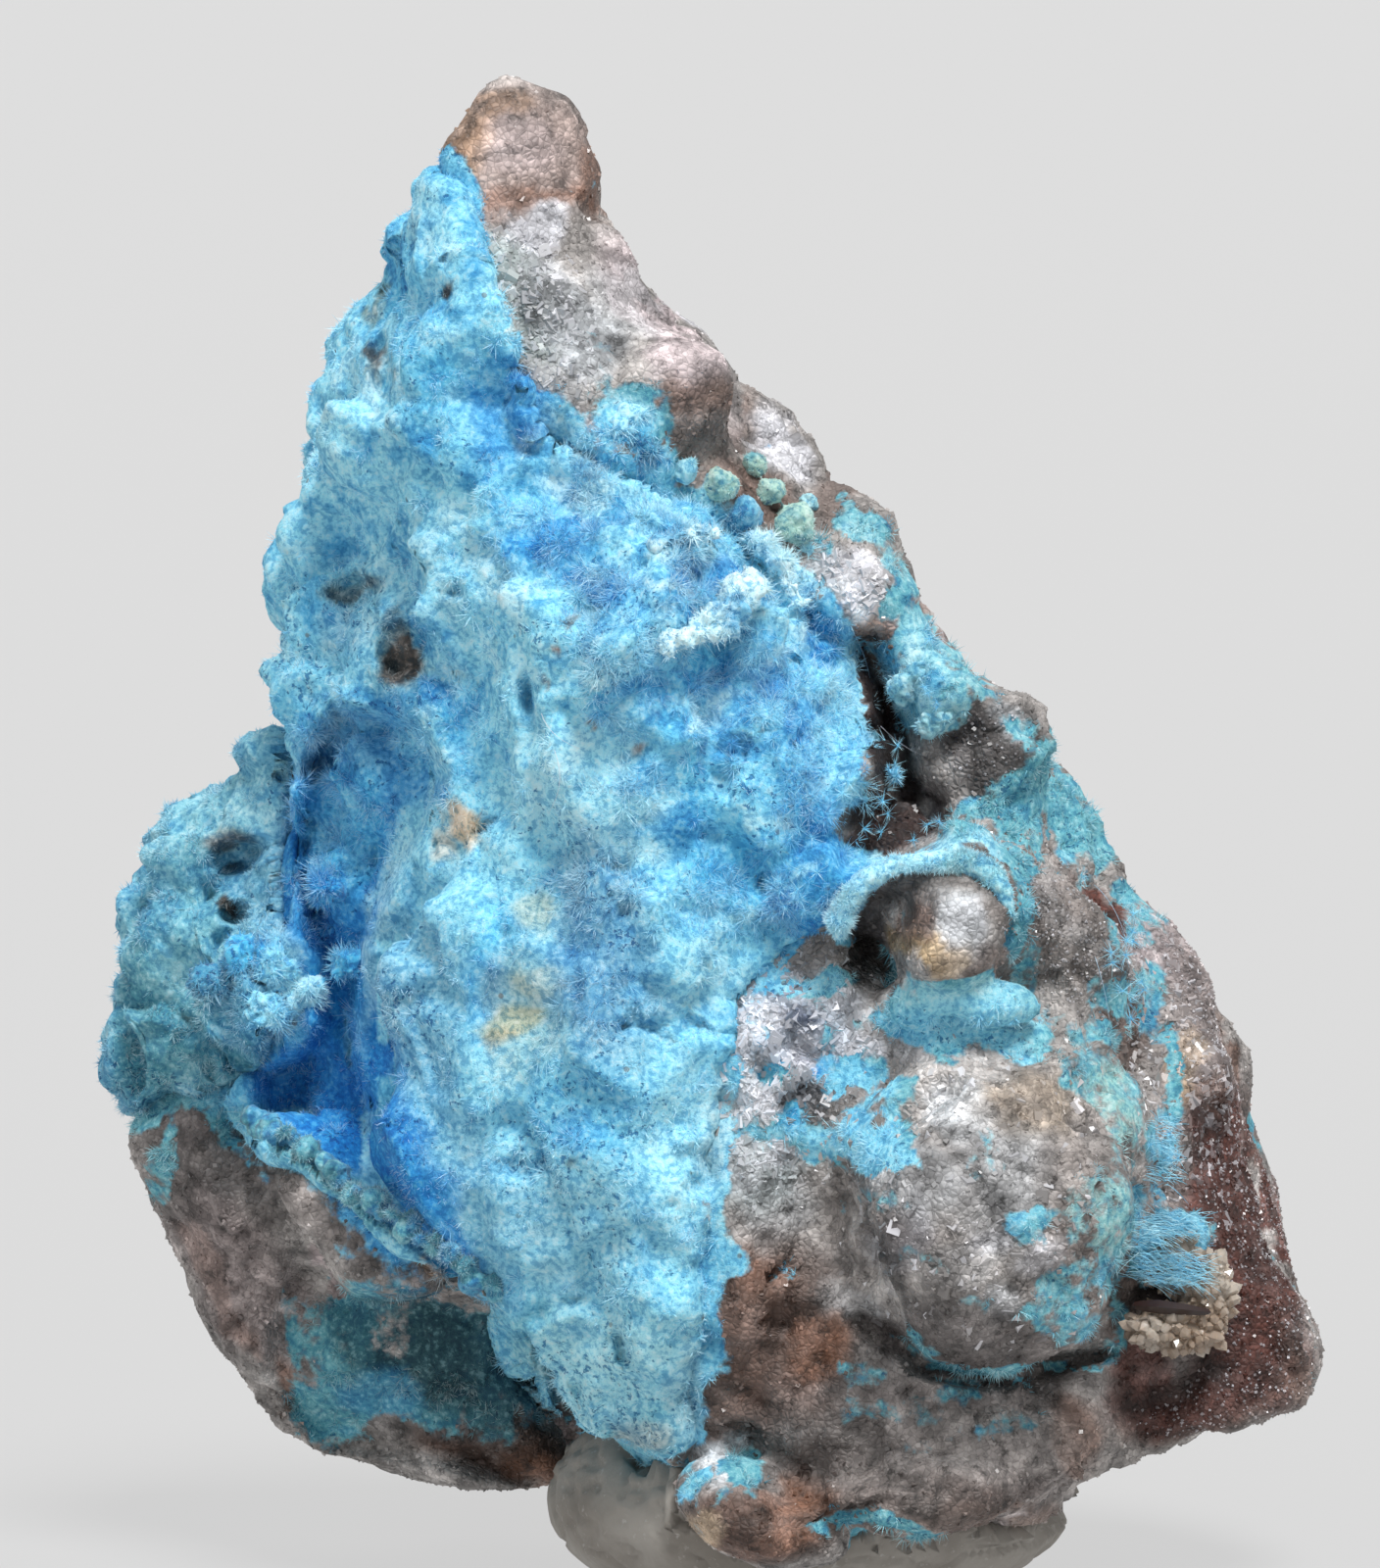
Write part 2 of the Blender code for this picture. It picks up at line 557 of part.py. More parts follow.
def quartz_cluster(off_rock, collection, helpers):
    """The pale cluster: two rounded heads bristling with points, spread by the golden angle."""
    golden = math.pi * (3 - math.sqrt(5))
    radius, length = CLUSTER_POINT
    least, spread, step = CLUSTER_MIX
    heads = []
    points = []
    for middle, half_sizes, count in CLUSTER_HEADS:
        bm = bmesh.new()
        add_lump(bm, middle, half_sizes, fineness=2)
        heads.append(bm)
        for i in range(count):
            height = 1 - 2 * (i + 0.5) / count
            ring = math.sqrt(1 - height * height)
            out = Vector((ring * math.cos(i * golden), ring * math.sin(i * golden), height))
            foot = Vector([a + CLUSTER_SINK * b * c for a, b, c in zip(middle, half_sizes, out)])
            size = least + spread * math.sin(step * i)
            points.append(quartz_point(foot * MM, out, radius * size * MM, length * size * MM, helpers))
    low_head, high_head = heads
    obj = mesh_object("quartz_cluster", low_head, collection)
    combine(obj, as_cutter(mesh_object("high_head", high_head, helpers)), "UNION")
    for point in points:
        combine(obj, point, "UNION")
    combine(obj, off_rock, "DIFFERENCE")
    return largest_piece(obj)


def add_spherules(stone, helpers):
    """Joins the little green balls to the rock, each sunk to its middle where the front view hits it."""
    tree = BVHTree.FromObject(stone, bpy.context.evaluated_depsgraph_get())
    bm = bmesh.new()
    for across, up, radius in SPHERULES:
        start = Vector((across, 0, up)) * MM - SIGHT * 50 * MM
        spot = tree.ray_cast(start, SIGHT)[0]
        place = Matrix.Translation(spot)
        bmesh.ops.create_icosphere(bm, subdivisions=2, radius=radius * MM, matrix=place)
    balls = as_cutter(mesh_object("green_balls", bm, helpers))
    return combine(stone, balls, "UNION")


def putty(off_specimen, collection):
    """The pad: a squashed ball with a flat foot, dented by fingers, with the rock's print in it."""
    profile = []
    for degrees in range(90, PUTTY_FOOT_ANGLE - 1, -15):
        angle = math.radians(degrees)
        height = PUTTY_HEIGHT / 2 * (1 + math.sin(angle))
        profile.append((PUTTY_RADIUS * math.sqrt(max(0.0, math.cos(angle))), height))
    profile.append((profile[-1][0] * PUTTY_FOOT, 0.0))
    profile.append((0.0, 0.0))
    bm = bmesh.new()
    verts = [bm.verts.new((radius * MM, 0, height * MM)) for radius, height in profile]
    for a, b in zip(verts, verts[1:]):
        bm.edges.new((a, b))
    obj = mesh_object("putty", bm, collection)
    turn = obj.modifiers.new("turn", "SCREW")
    turn.steps = turn.render_steps = PUTTY_STEPS
    turn.use_merge_vertices = True
    turn.merge_threshold = WELD * MM
    turn.use_normal_calculate = True
    settle(obj)
    displace(obj, lambda vert: relief(vert.co, PUTTY_DENTS, 1) if vert.co.z > GAP / 2 * MM else 0.0)
    combine(obj, off_specimen, "DIFFERENCE")
    return largest_piece(obj)


def shift(objects):
    """Moves meshes from the places above to the frame of the putty's foot."""
    across, back = PUTTY_FROM_AXIS
    for obj in objects:
        obj.data.transform(Matrix.Translation(Vector((-across, -back, 0)) * MM))


def main():
    clear_scene()
    specimen = new_collection("cyanotrichite_specimen")
    helpers = new_collection("cutters")
    skin = full_skin(helpers)
    stone = rock(skin, specimen)
    off_rock = swollen(stone, "off_rock", helpers)
    off_skin = swollen(skin, "off_skin", helpers)
    blue = crust("blue_crust", skin, off_rock, BLUE_OUTLINE, BLUE_REACH, specimen, helpers)
    turquoise = crust(
        "turquoise_crust", skin, off_rock, TURQUOISE_OUTLINE, TURQUOISE_REACH, specimen, helpers
    )
    cluster = quartz_cluster(off_rock, specimen, helpers)
    add_spherules(stone, helpers)
    shift([stone, blue, turquoise, cluster, off_skin])
    pad = putty(off_skin, specimen)
    finishes = (
        (stone, "host_rock", (0.25, 0.2, 0.18), 0.8),
        (blue, "blue_felt", (0.1, 0.42, 0.72), 0.9),
        (turquoise, "turquoise_felt", (0.16, 0.5, 0.55), 0.85),
        (cluster, "pale_quartz", (0.62, 0.54, 0.44), 0.3),
        (pad, "grey_putty", (0.4, 0.38, 0.36), 0.85),
    )
    for obj, name, colour, roughness in finishes:
        obj.data.materials.clear()
        obj.data.materials.append(material(name, colour, roughness))


if __name__ == "__main__":
    main()
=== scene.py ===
"""The cyanotrichite specimen dressed for its picture: weathered rock with drusy quartz, felted blue and
turquoise crusts made of needles, a pale crystal cluster and a pad of putty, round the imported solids.

Shapes are worked out in millimetres with numpy, as whole arrays, and written into meshes in metres.
Places on the front are given as (across, up) in the front view, which is taken six degrees above the
horizon: across runs right from the tip's foot, up from the table.
"""

import math
from types import SimpleNamespace

import bpy
import numpy as np
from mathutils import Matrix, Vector


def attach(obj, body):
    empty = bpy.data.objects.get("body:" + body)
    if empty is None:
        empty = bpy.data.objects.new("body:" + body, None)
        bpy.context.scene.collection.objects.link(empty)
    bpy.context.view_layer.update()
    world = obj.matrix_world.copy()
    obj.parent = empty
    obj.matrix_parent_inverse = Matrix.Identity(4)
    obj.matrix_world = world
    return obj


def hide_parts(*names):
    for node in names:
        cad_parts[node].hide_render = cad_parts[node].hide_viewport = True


bl_info = {
    "name": "Cyanotrichite Specimen",
    "version": (1, 0, 0),
    "blender": (4, 5, 0),
    "location": "3D View > Sidebar > Specimen",
    "description": "Rock, needle crusts, crystals and putty built round the packed solids",
    "category": "Add Mesh",
}

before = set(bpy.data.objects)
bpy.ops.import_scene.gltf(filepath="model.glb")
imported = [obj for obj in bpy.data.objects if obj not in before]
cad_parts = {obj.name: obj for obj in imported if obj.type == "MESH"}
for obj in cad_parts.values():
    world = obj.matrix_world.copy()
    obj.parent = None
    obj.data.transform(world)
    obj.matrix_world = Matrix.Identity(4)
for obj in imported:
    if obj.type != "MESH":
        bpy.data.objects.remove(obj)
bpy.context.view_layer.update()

MM = 0.001

# The front view: its height above the horizon, and where its places are counted from.
VIEW_ANGLE = math.radians(6)
SIGHT = np.array((0.0, math.cos(VIEW_ANGLE), -math.sin(VIEW_ANGLE)))
FRONT_ORIGIN = np.array((1.75, 3.9, 0.0))

# The edge of the squares that the skins are made of.
ROCK_SQUARE = 0.142
BLUE_SQUARE = 0.095
TURQUOISE_SQUARE = 0.06
CLUSTER_SQUARE = 0.035
PUTTY_SQUARE = 0.11

# Squares of the front view in which the nearest surface is looked up: their edge, how many there are each
# way, how far left they start, and the distance that stands for no surface.
SEEN_SQUARE = 0.3
SEEN_COUNT = 160
SEEN_LEFT = 15
NOTHING = 1e3

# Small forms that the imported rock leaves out: (centre, half sizes, turn in degrees). A centre is across,
# how far back, and up.
ROCK_FORMS = (
    ((4.25, -1.1, 12.0), (0.88, 0.95, 0.88), 0),
    ((4.75, -1.3, 12.35), (0.5, 0.5, 0.45), 0),
    ((3.95, -1.45, 11.6), (0.5, 0.45, 0.45), 0),
    ((0.95, -0.7, 2.0), (1.5, 1.7, 0.75), 20),
    ((3.4, -0.7, 2.4), (1.9, 1.6, 0.72), -3),
)

# Rolls that stand out of the rock: the places on their path, and the radii along it.
ROCK_ROLLS = (
    (
        ((3.1, -0.7, 10.55), (4.0, -1.05, 11.0), (4.8, -1.1, 10.8), (5.6, -0.7, 10.65)),
        (0.22, 0.38, 0.24, 0.4, 0.3, 0.16),
    ),
)

# The colours laid over the druse of the hidden faces by noise: (colour, strength, the noise's values
# where it starts and is full, the noise's size, octaves and seed).
REAR_COLOURS = (
    ("brown", 1.0, 0.1, 0.7, 4.5, 3, 71),
    ("pink", 0.8, 0.25, 0.8, 3.5, 3, 73),
    ("white", 0.8, 0.55, 0.95, 2.2, 3, 79),
    ("maroon", 1.0, 0.35, 0.8, 5.5, 2, 83),
    ("black", 0.6, 0.5, 0.9, 1.6, 3, 89),
)

# What breaks up the rock's skin: facets as (size, height, seed), the same facets' tones as (size, seed, how
# far their tones swing, how dark their seams are, partly dark joints and partly painted shade in the
# creases), and noise and ridges as (size, height, octaves, seed).
# A height h becomes at most the limit + share * h.
ROCK_FACETS = ((1.0, 0.42, 5), (0.45, 0.12, 6))
FACET_TONES = ((1.0, 5, 0.55, 0.5), (0.45, 6, 0.45, 0.35))
ROCK_NOISE = (0.9, 0.12, 3, 7)
ROCK_RIDGES = (2.4, 0.45, 3, 9)
HEIGHT_LIMIT, HEIGHT_SHARE = 0.04, 0.3

# The crusts' skins: (square, size of their lumps, height of their lumps, seed).
CRUSTS = {"blue": (BLUE_SQUARE, 0.62, 0.2, 21), "turquoise": (TURQUOISE_SQUARE, 1.35, 0.5, 31)}

# The pale cluster's heads as (centre, half sizes, crystals on it), its crystals' (least, greatest) half
# widths and lengths for their width, and the path and the radii of the dark bar that lies on it.
CLUSTER_HEADS = (
    ((8.0, 0.62, 4.95), (0.8, 0.45, 0.3), 420),
    ((8.55, 0.65, 5.55), (0.35, 0.4, 0.7), 330),
    ((7.95, 0.9, 6.1), (0.42, 0.34, 0.6), 130),
)
CLUSTER_WIDTHS = (0.04, 0.12)
CLUSTER_STRETCH = (1.6, 3.2)
DARK_BAR = ((7.25, 5.44), (7.7, 5.42), (8.1, 5.38), (8.6, 5.33))
DARK_BAR_RADII = (0.07, 0.12, 0.1, 0.06)

# Places of the front view where the rock is broken in blocks, with how strongly, and where it is calm.
BLOCKY_SPOTS = (
    (1.3, 10.1, 1.4, 1.6, 0, 1.0),
    (4.2, 12.05, 0.9, 0.9, 0, 0.9),
    (4.97, 14.98, 1.2, 1.0, 0, 1.0),
    (4.5, 7.5, 2.8, 3.0, 0, 0.7),
    (2.4, 17.9, 0.8, 0.7, 0, 1.0),
    (1.2, 20.3, 0.7, 0.9, -30, 0.9),
    (1.1, 5.2, 1.6, 1.6, 0, 0.8),
    (-3.2, 25.2, 1.6, 1.5, 0, 0.9),
    (3.0, 3.0, 3.5, 1.4, 0, 0.8),
)
CALM_SPOTS = (
    (4.2, 12.05, 0.9, 0.9, 0, 0.6),
    (3.9, 12.9, 1.6, 0.6, 0, 0.6),
    (-3.2, 25.4, 1.4, 1.3, 0, 0.75),
)

# Where larger blocks of quartz stand in the rock, with how thickly.
BLOCK_SPOTS = (
    (1.2, 9.7, 1.5, 2.2, 0, 1.0),
    (-3.0, 22.6, 0.9, 1.7, -20, 0.8),
    (4.5, 7.4, 2.6, 2.8, 0, 0.08),
    (2.4, 17.9, 0.7, 0.7, 0, 0.7),
    (8.0, 9.5, 1.0, 2.6, -15, 0.4),
)

# Where many bright grains stand on dark rock, with how thickly.
SPARKLING_SPOTS = (
    (5.9, 12.1, 0.9, 1.9, -33, 1.0),
    (9.4, 6.2, 1.0, 2.6, -10, 0.7),
    (8.8, 3.7, 1.5, 0.5, -16, 1.0),
    (4.97, 14.98, 0.9, 0.8, 0, 0.5),
    (8.3, 10.4, 0.6, 1.6, -15, 0.6),
)

# Hollows pressed in along the line of sight: (across, up, half width, half height, turn, depth).
PITS = (
    (-5.2, 16.65, 0.5, 0.5, 0, 0.45),
    (-6.17, 17.73, 0.55, 0.28, -5, 0.4),
    (-5.63, 21.65, 0.2, 0.6, -8, 0.4),
    (-4.45, 22.8, 0.12, 0.1, 0, 0.2),
    (-8.45, 13.3, 0.5, 0.32, -10, 0.6),
    (-8.33, 12.2, 0.26, 0.22, 0, 0.7),
    (3.05, 4.95, 0.8, 0.2, 30, 0.7),
    (4.3, 4.3, 0.9, 0.2, 10, 0.9),
    (6.0, 4.4, 1.0, 0.2, -12, 0.9),
)

# Parts of the front pressed back along the line of sight: (how far, how soft the rim, outline).
HOLLOWS = (
    (1.15, 0.17, ((-6.53, 15.73), (-5.03, 15.4), (-4.5, 14.57), (-4.87, 13.57), (-5.45, 12.65),
        (-5.93, 11.65), (-6.13, 10.57), (-6.17, 9.65), (-5.73, 8.57), (-5.12, 7.32), (-4.45, 6.23),
        (-3.7, 5.65), (-4.7, 6.32), (-5.7, 7.07), (-6.78, 7.9), (-7.67, 8.57), (-7.78, 9.32),
        (-7.03, 9.57), (-6.67, 10.23), (-6.67, 11.32), (-7.03, 12.07), (-7.2, 13.4), (-7.03, 14.73))),
    (0.5, 0.15, ((-8.62, 11.73), (-8.12, 12.07), (-7.95, 11.73), (-8.23, 11.07), (-8.17, 10.07),
        (-7.87, 9.4), (-8.28, 9.4), (-8.62, 10.23))),
    (0.9, 0.25, ((-7.2, 6.07), (-6.28, 5.7), (-5.03, 5.43), (-3.7, 5.23), (-3.2, 4.4), (-2.7, 3.4),
        (-2.03, 2.73), (-2.7, 1.73), (-4.2, 2.4), (-6.53, 2.57), (-7.53, 3.9), (-7.53, 5.23))),
    (1.3, 0.2, ((2.5, 16.82), (2.8, 16.9), (3.17, 16.23), (3.47, 15.4), (3.55, 14.57), (3.92, 14.15),
        (3.97, 13.47), (3.22, 13.03), (2.33, 12.98), (2.13, 13.57), (2.43, 14.15), (2.85, 14.57),
        (3.0, 15.32), (2.87, 16.07))),
    (0.8, 0.12, ((2.43, 12.23), (2.9, 12.65), (3.38, 12.48), (3.5, 12.15), (3.22, 11.73),
        (3.13, 11.07), (2.72, 11.32), (2.4, 11.82))),
)

# Where the crust's rim stands free over the ledge's bare rock.
LEDGE_SPOT = (-5.7, 7.1, 3.3, 1.0, 35)

# Where no felt grows, with how strongly: the crevice and the gap under the arch, where near-black rock
# strokes lay painted shade.
DARK_SPOTS = (
    (2.95, 15.6, 0.3, 1.2, -12, 1.0),
    (3.15, 14.4, 0.5, 0.9, -15, 1.0),
    (3.05, 13.65, 0.95, 0.5, 5, 1.0),
    (2.95, 12.0, 0.35, 0.6, 0, 1.0),
)

# Where the crusts' felt doesn't spread onto the rock: the quartz between patches.
BARE_SPOTS = (
    (4.2, 12.1, 0.75, 0.75, 0),
    (-3.0, 22.6, 0.9, 1.6, -20),
    (1.3, 10.2, 1.1, 0.8, 0),
)

# Where the blue needles stand long, with how strongly.
HAIRY_SPOTS = (
    (0.3, 17.4, 2.83, 2.5, 0, 1.0),
    (2.13, 14.73, 1.0, 2.17, 0, 1.0),
    (1.13, 12.23, 1.67, 1.33, 0, 1.0),
    (-1.7, 12.73, 1.0, 3.0, 10, 0.45),
    (-2.7, 18.4, 1.33, 1.0, 0, 0.6),
    (-6.53, 14.4, 1.0, 1.67, 0, 0.5),
    (-2.03, 19.9, 0.83, 0.67, 0, 0.6),
)

# Moves that bring the outline nearer the photo: (across, up, reach, right, up), all in the front view.
NUDGES = (
    (-8.7, 13.9, 1.83, 0.33, -0.2),
    (-7.28, 16.9, 1.5, 0.2, 0),
    (-6.0, 23.4, 1.17, 0.2, -0.12),
    (-3.12, 26.4, 1.0, 0, -0.05),
    (-9.7, 7.9, 1.33, -0.35, 0),
    (-8.7, 5.4, 1.5, -0.15, -0.05),
    (-7.28, 3.57, 1.33, -0.12, -0.15),
    (4.47, 16.57, 1.5, 0.2, 0.12),
    (0.22, 21.73, 1.0, 0.12, 0.1),
    (6.3, 14.4, 1.17, 0.15, 0.05),
    (9.47, 8.57, 1.83, -0.22, 0),
    (8.63, 10.82, 0.67, 0.15, 0.1),
    (7.63, 2.9, 1.33, 0.05, -0.25),
    (10.3, 4.07, 0.67, -0.05, -0.1),
    (3.38, 18.57, 0.67, -0.15, -0.08),
    (7.38, 12.4, 0.83, -0.15, -0.08),
    (-4.37, 25.23, 0.83, -0.1, 0.05),
    (0.8, 2.0, 1.1, 0, -0.1),
)

# The felted arch over the small knob: places of the front view on its path, its radii, and how many of
# its places are pale sky before it turns pale teal.
ARCH = (
    (2.25, 11.75), (2.2, 12.05), (2.36, 12.45), (2.72, 12.82), (3.22, 13.02), (3.73, 13.12), (4.25, 13.12),
    (4.68, 12.97), (5.0, 12.65), (5.2, 12.05),
)
ARCH_RADII = (0.1, 0.15, 0.17, 0.16, 0.15, 0.17, 0.19, 0.18, 0.1)
ARCH_SKY = 6

# The free rim of the crust over the ledge: its path, the bumps on it, their least and their further
# radius, how far they are strewn, and their colours in turn.
RIM = (
    (-8.03, 8.63), (-7.45, 8.4), (-6.83, 8.0), (-6.2, 7.57), (-5.57, 7.07), (-4.95, 6.67), (-4.33, 6.2),
    (-3.62, 5.67),
)
RIM_BUMPS = 46
RIM_RADII = (0.09, 0.16)
RIM_STRAY = 0.07
RIM_COLOURS = ("turquoise", "teal_blue", "teal")

# The balls of green felt by the crust's upper border: (across, up, radius, colour).
BALLS = (
    (0.22, 19.57, 0.33, "mint"),
    (0.8, 19.93, 0.23, "mint"),
    (1.13, 19.45, 0.25, "mint"),
    (1.48, 18.9, 0.38, "mint"),
    (0.63, 19.03, 0.32, "teal_blue"),
    (1.73, 19.27, 0.2, "pale_teal"),
    (-0.37, 19.77, 0.2, "pale_teal"),
)

# Lumps of pale felt in the left hollow and by the arch: (across, up, radius, colour).
LUMPS = (
    (-7.45, 11.23, 0.5, "sky"),
    (-7.03, 10.73, 0.43, "pale_sky"),
    (-7.73, 10.48, 0.43, "sky"),
    (-8.03, 11.48, 0.33, "royal_soft"),
    (-6.53, 12.65, 0.33, "royal"),
    (-6.23, 11.23, 0.3, "royal_soft"),
    (-8.62, 10.9, 0.43, "teal_blue"),
    (-1.45, 20.57, 0.37, "sky"),
    (-1.17, 20.15, 0.3, "teal_blue"),
    (3.38, 15.98, 0.37, "pale_teal"),
    (3.88, 15.57, 0.37, "pale_teal"),
    (3.63, 16.4, 0.23, "pale_teal"),
    (4.1, 15.98, 0.23, "turquoise"),
    (3.17, 14.57, 0.18, "sky"),
    (1.63, 18.4, 0.23, "pale_sky"),
    (1.93, 18.6, 0.17, "turquoise"),
)

# Crests of pale felt on the blue crust, painted almost white, partly as a painted highlight along their lit
# tops: places of the front view on their paths, and their radii.
CRESTS = (
    (((-0.85, 16.6), (-0.35, 16.85), (0.15, 17.2), (0.6, 17.6), (1.0, 17.75)), (0.08, 0.16, 0.2, 0.17, 0.07)),
    (((0.6, 18.75), (1.05, 18.35), (1.45, 17.85), (1.65, 17.3)), (0.07, 0.13, 0.14, 0.07)),
    (((-0.9, 18.5), (-0.3, 18.75), (0.2, 18.7)), (0.07, 0.13, 0.07)),
)

# Where needles stand in open bursts: (across, up, how far they are strewn, bursts, length).
BURSTS = (
    (3.05, 14.9, 0.4, 3, 0.26),
    (2.9, 13.75, 0.4, 4, 0.28),
    (3.72, 13.5, 0.5, 4, 0.24),
    (7.13, 11.9, 0.37, 6, 0.35),
    (7.38, 10.9, 0.42, 7, 0.38),
    (7.72, 8.07, 0.33, 5, 0.36),
    (3.63, 16.07, 0.5, 8, 0.22),
    (-0.1, 17.55, 0.25, 14, 0.34),
    (0.35, 17.2, 0.22, 14, 0.36),
    (0.85, 16.8, 0.25, 12, 0.34),
    (1.9, 14.6, 0.6, 20, 0.3),
    (1.2, 16.2, 0.9, 26, 0.28),
    (1.4, 12.6, 0.7, 18, 0.28),
)

# How many needles a burst has, and their width and a fibre's width as shares of a needle's.
BURST_NEEDLES = 30
BURST_WIDTH, FIBRE_WIDTH = 0.5, 0.6

# How many rings of three points a fibre has.
FIBRE_RINGS = 8

# Loose fibres: (its first place, a place that it bends toward, its last place), all of the front view.
FIBRES = (
    ((-2.82, 15.6), (-2.7, 15.2), (-2.17, 15.0)),
    ((6.67, 12.65), (7.07, 12.32), (7.17, 11.6)),
    ((6.6, 11.43), (6.77, 10.93), (6.87, 10.23)),
    ((-2.6, 14.98), (-2.37, 14.4), (-2.7, 13.9)),
    ((2.97, 15.4), (3.38, 14.98), (3.77, 14.87)),
    ((2.47, 17.07), (2.7, 16.7), (2.8, 16.23)),
)

# How far the three places of a loose fibre stand off the front.
FIBRE_LIFTS = (0.04, 0.25, 0.06)

# Combed blue fibres above the pale cluster: (across, up, half width, half height, fibres).
COMBED = (
    (7.85, 6.8, 0.42, 0.2, 330),
    (7.95, 6.05, 0.45, 0.26, 480),
    (7.5, 6.35, 0.15, 0.5, 120),
    (7.75, 8.1, 0.12, 0.6, 140),
)

# The edge of the squares of the small felted things.
FINE_SQUARE = 0.032

# The spot of the front view where the putty bulges to the right, and how far.
PUTTY_FOOT = (6.0, 0.8, 1.4, 0.9, 0)
PUTTY_PUSH = 0.35

# Grains on the rock: the share of the middling size that the least and the greatest have, their lengths
# for their width, how deep they sit for their width, how milky they are at most, how many, and the seed.
GRAINS = {
    "rock_grains": ((0.45, 1.3), (0.9, 1.4), 0.38, 0.0, 15000, 11),
    "rock_blocks": ((1.2, 3.8), (0.7, 1.1), 0.6, 0.6, 2600, 13),
    "bright_grains": ((0.3, 0.75), (0.9, 1.5), 0.1, 0.6, 3600, 15),
}

# The noise by which needles stand in clumps (size, octaves, seed), and a needle's points that are its tip.
CLUMP_NOISE = (0.45, 2, 149)
NEEDLE_TIP = (0.0, 0.0, 0.0, 1.0)

# Needles: the share of the middling length that the shortest and the longest have, the share of the
# width, how far they lean at least and at most, how many stand in a tuft, how many in all, and the seed.
NEEDLES = {
    "blue_nap": ((0.3, 0.7), 1.0, (0.3, 1.4), 6, 40000, 200),
    "blue_needles": ((0.6, 1.5), 0.8, (0.4, 1.35), 12, 30000, 201),
    "turquoise_needles": ((0.4, 0.8), 1.0, (0.2, 1.2), 8, 9000, 301),
    "growth_needles": ((0.5, 1.0), 1.0, (0.2, 1.2), 8, 40000, 401),
}

# The small felted things: (needles, how far they reach, how rough the ground is). Their needles are of one
# kind, as above, and their seeds are counted up from this one.
TUFTS = {
    "arch": (9000, 0.6, 0.35),
    "ledge_rim": (7000, 0.5, 0.6),
    "green_balls": (5000, 0.35, 0.5),
    "felt_lumps": (8000, 1.1, 1.0),
    "felt_crests": (2500, 1.0, 1.6),
}
TUFT_NEEDLES = ((0.5, 1.1), 1.0, (0.1, 1.3), 6)
TUFT_SEED = 601

# The floor's profile, as (how far out, how high), its rings, how often it is evened, the rings' sides, and
# how strongly the floor glows.
FLOOR_PROFILE = ((0.5, 0), (300, 0), (600, 0), (900, 0), (1200, 0), (1500, 80), (1700, 350), (1750, 900))
FLOOR_RINGS = 60
FLOOR_PASSES = 8
FLOOR_SIDES = 96
FLOOR_GLOW = 0.575

# The lights, as (name, azimuth and elevation that they come from, share of the key, width in degrees).
LIGHTS = (
    ("overhead", (22, 62), 1.0, 22),
    ("left_fill", (-50, 25), 0.25, 70),
    ("right_fill", (70, 20), 0.1, 70),
    ("rear_fill", (180, 35), 0.22, 70),
)
ROOM_COLOUR = (1.0, 1.0, 1.0, 1.0)
ROOM_STRENGTH = 0.16

# The camera: what it aims at, how far off it is and how much height it takes in there.
AIM = (-2.05, -3.9, 14.4)
CAMERA_DISTANCE = 240.0
VIEW_HEIGHT = 26.6667

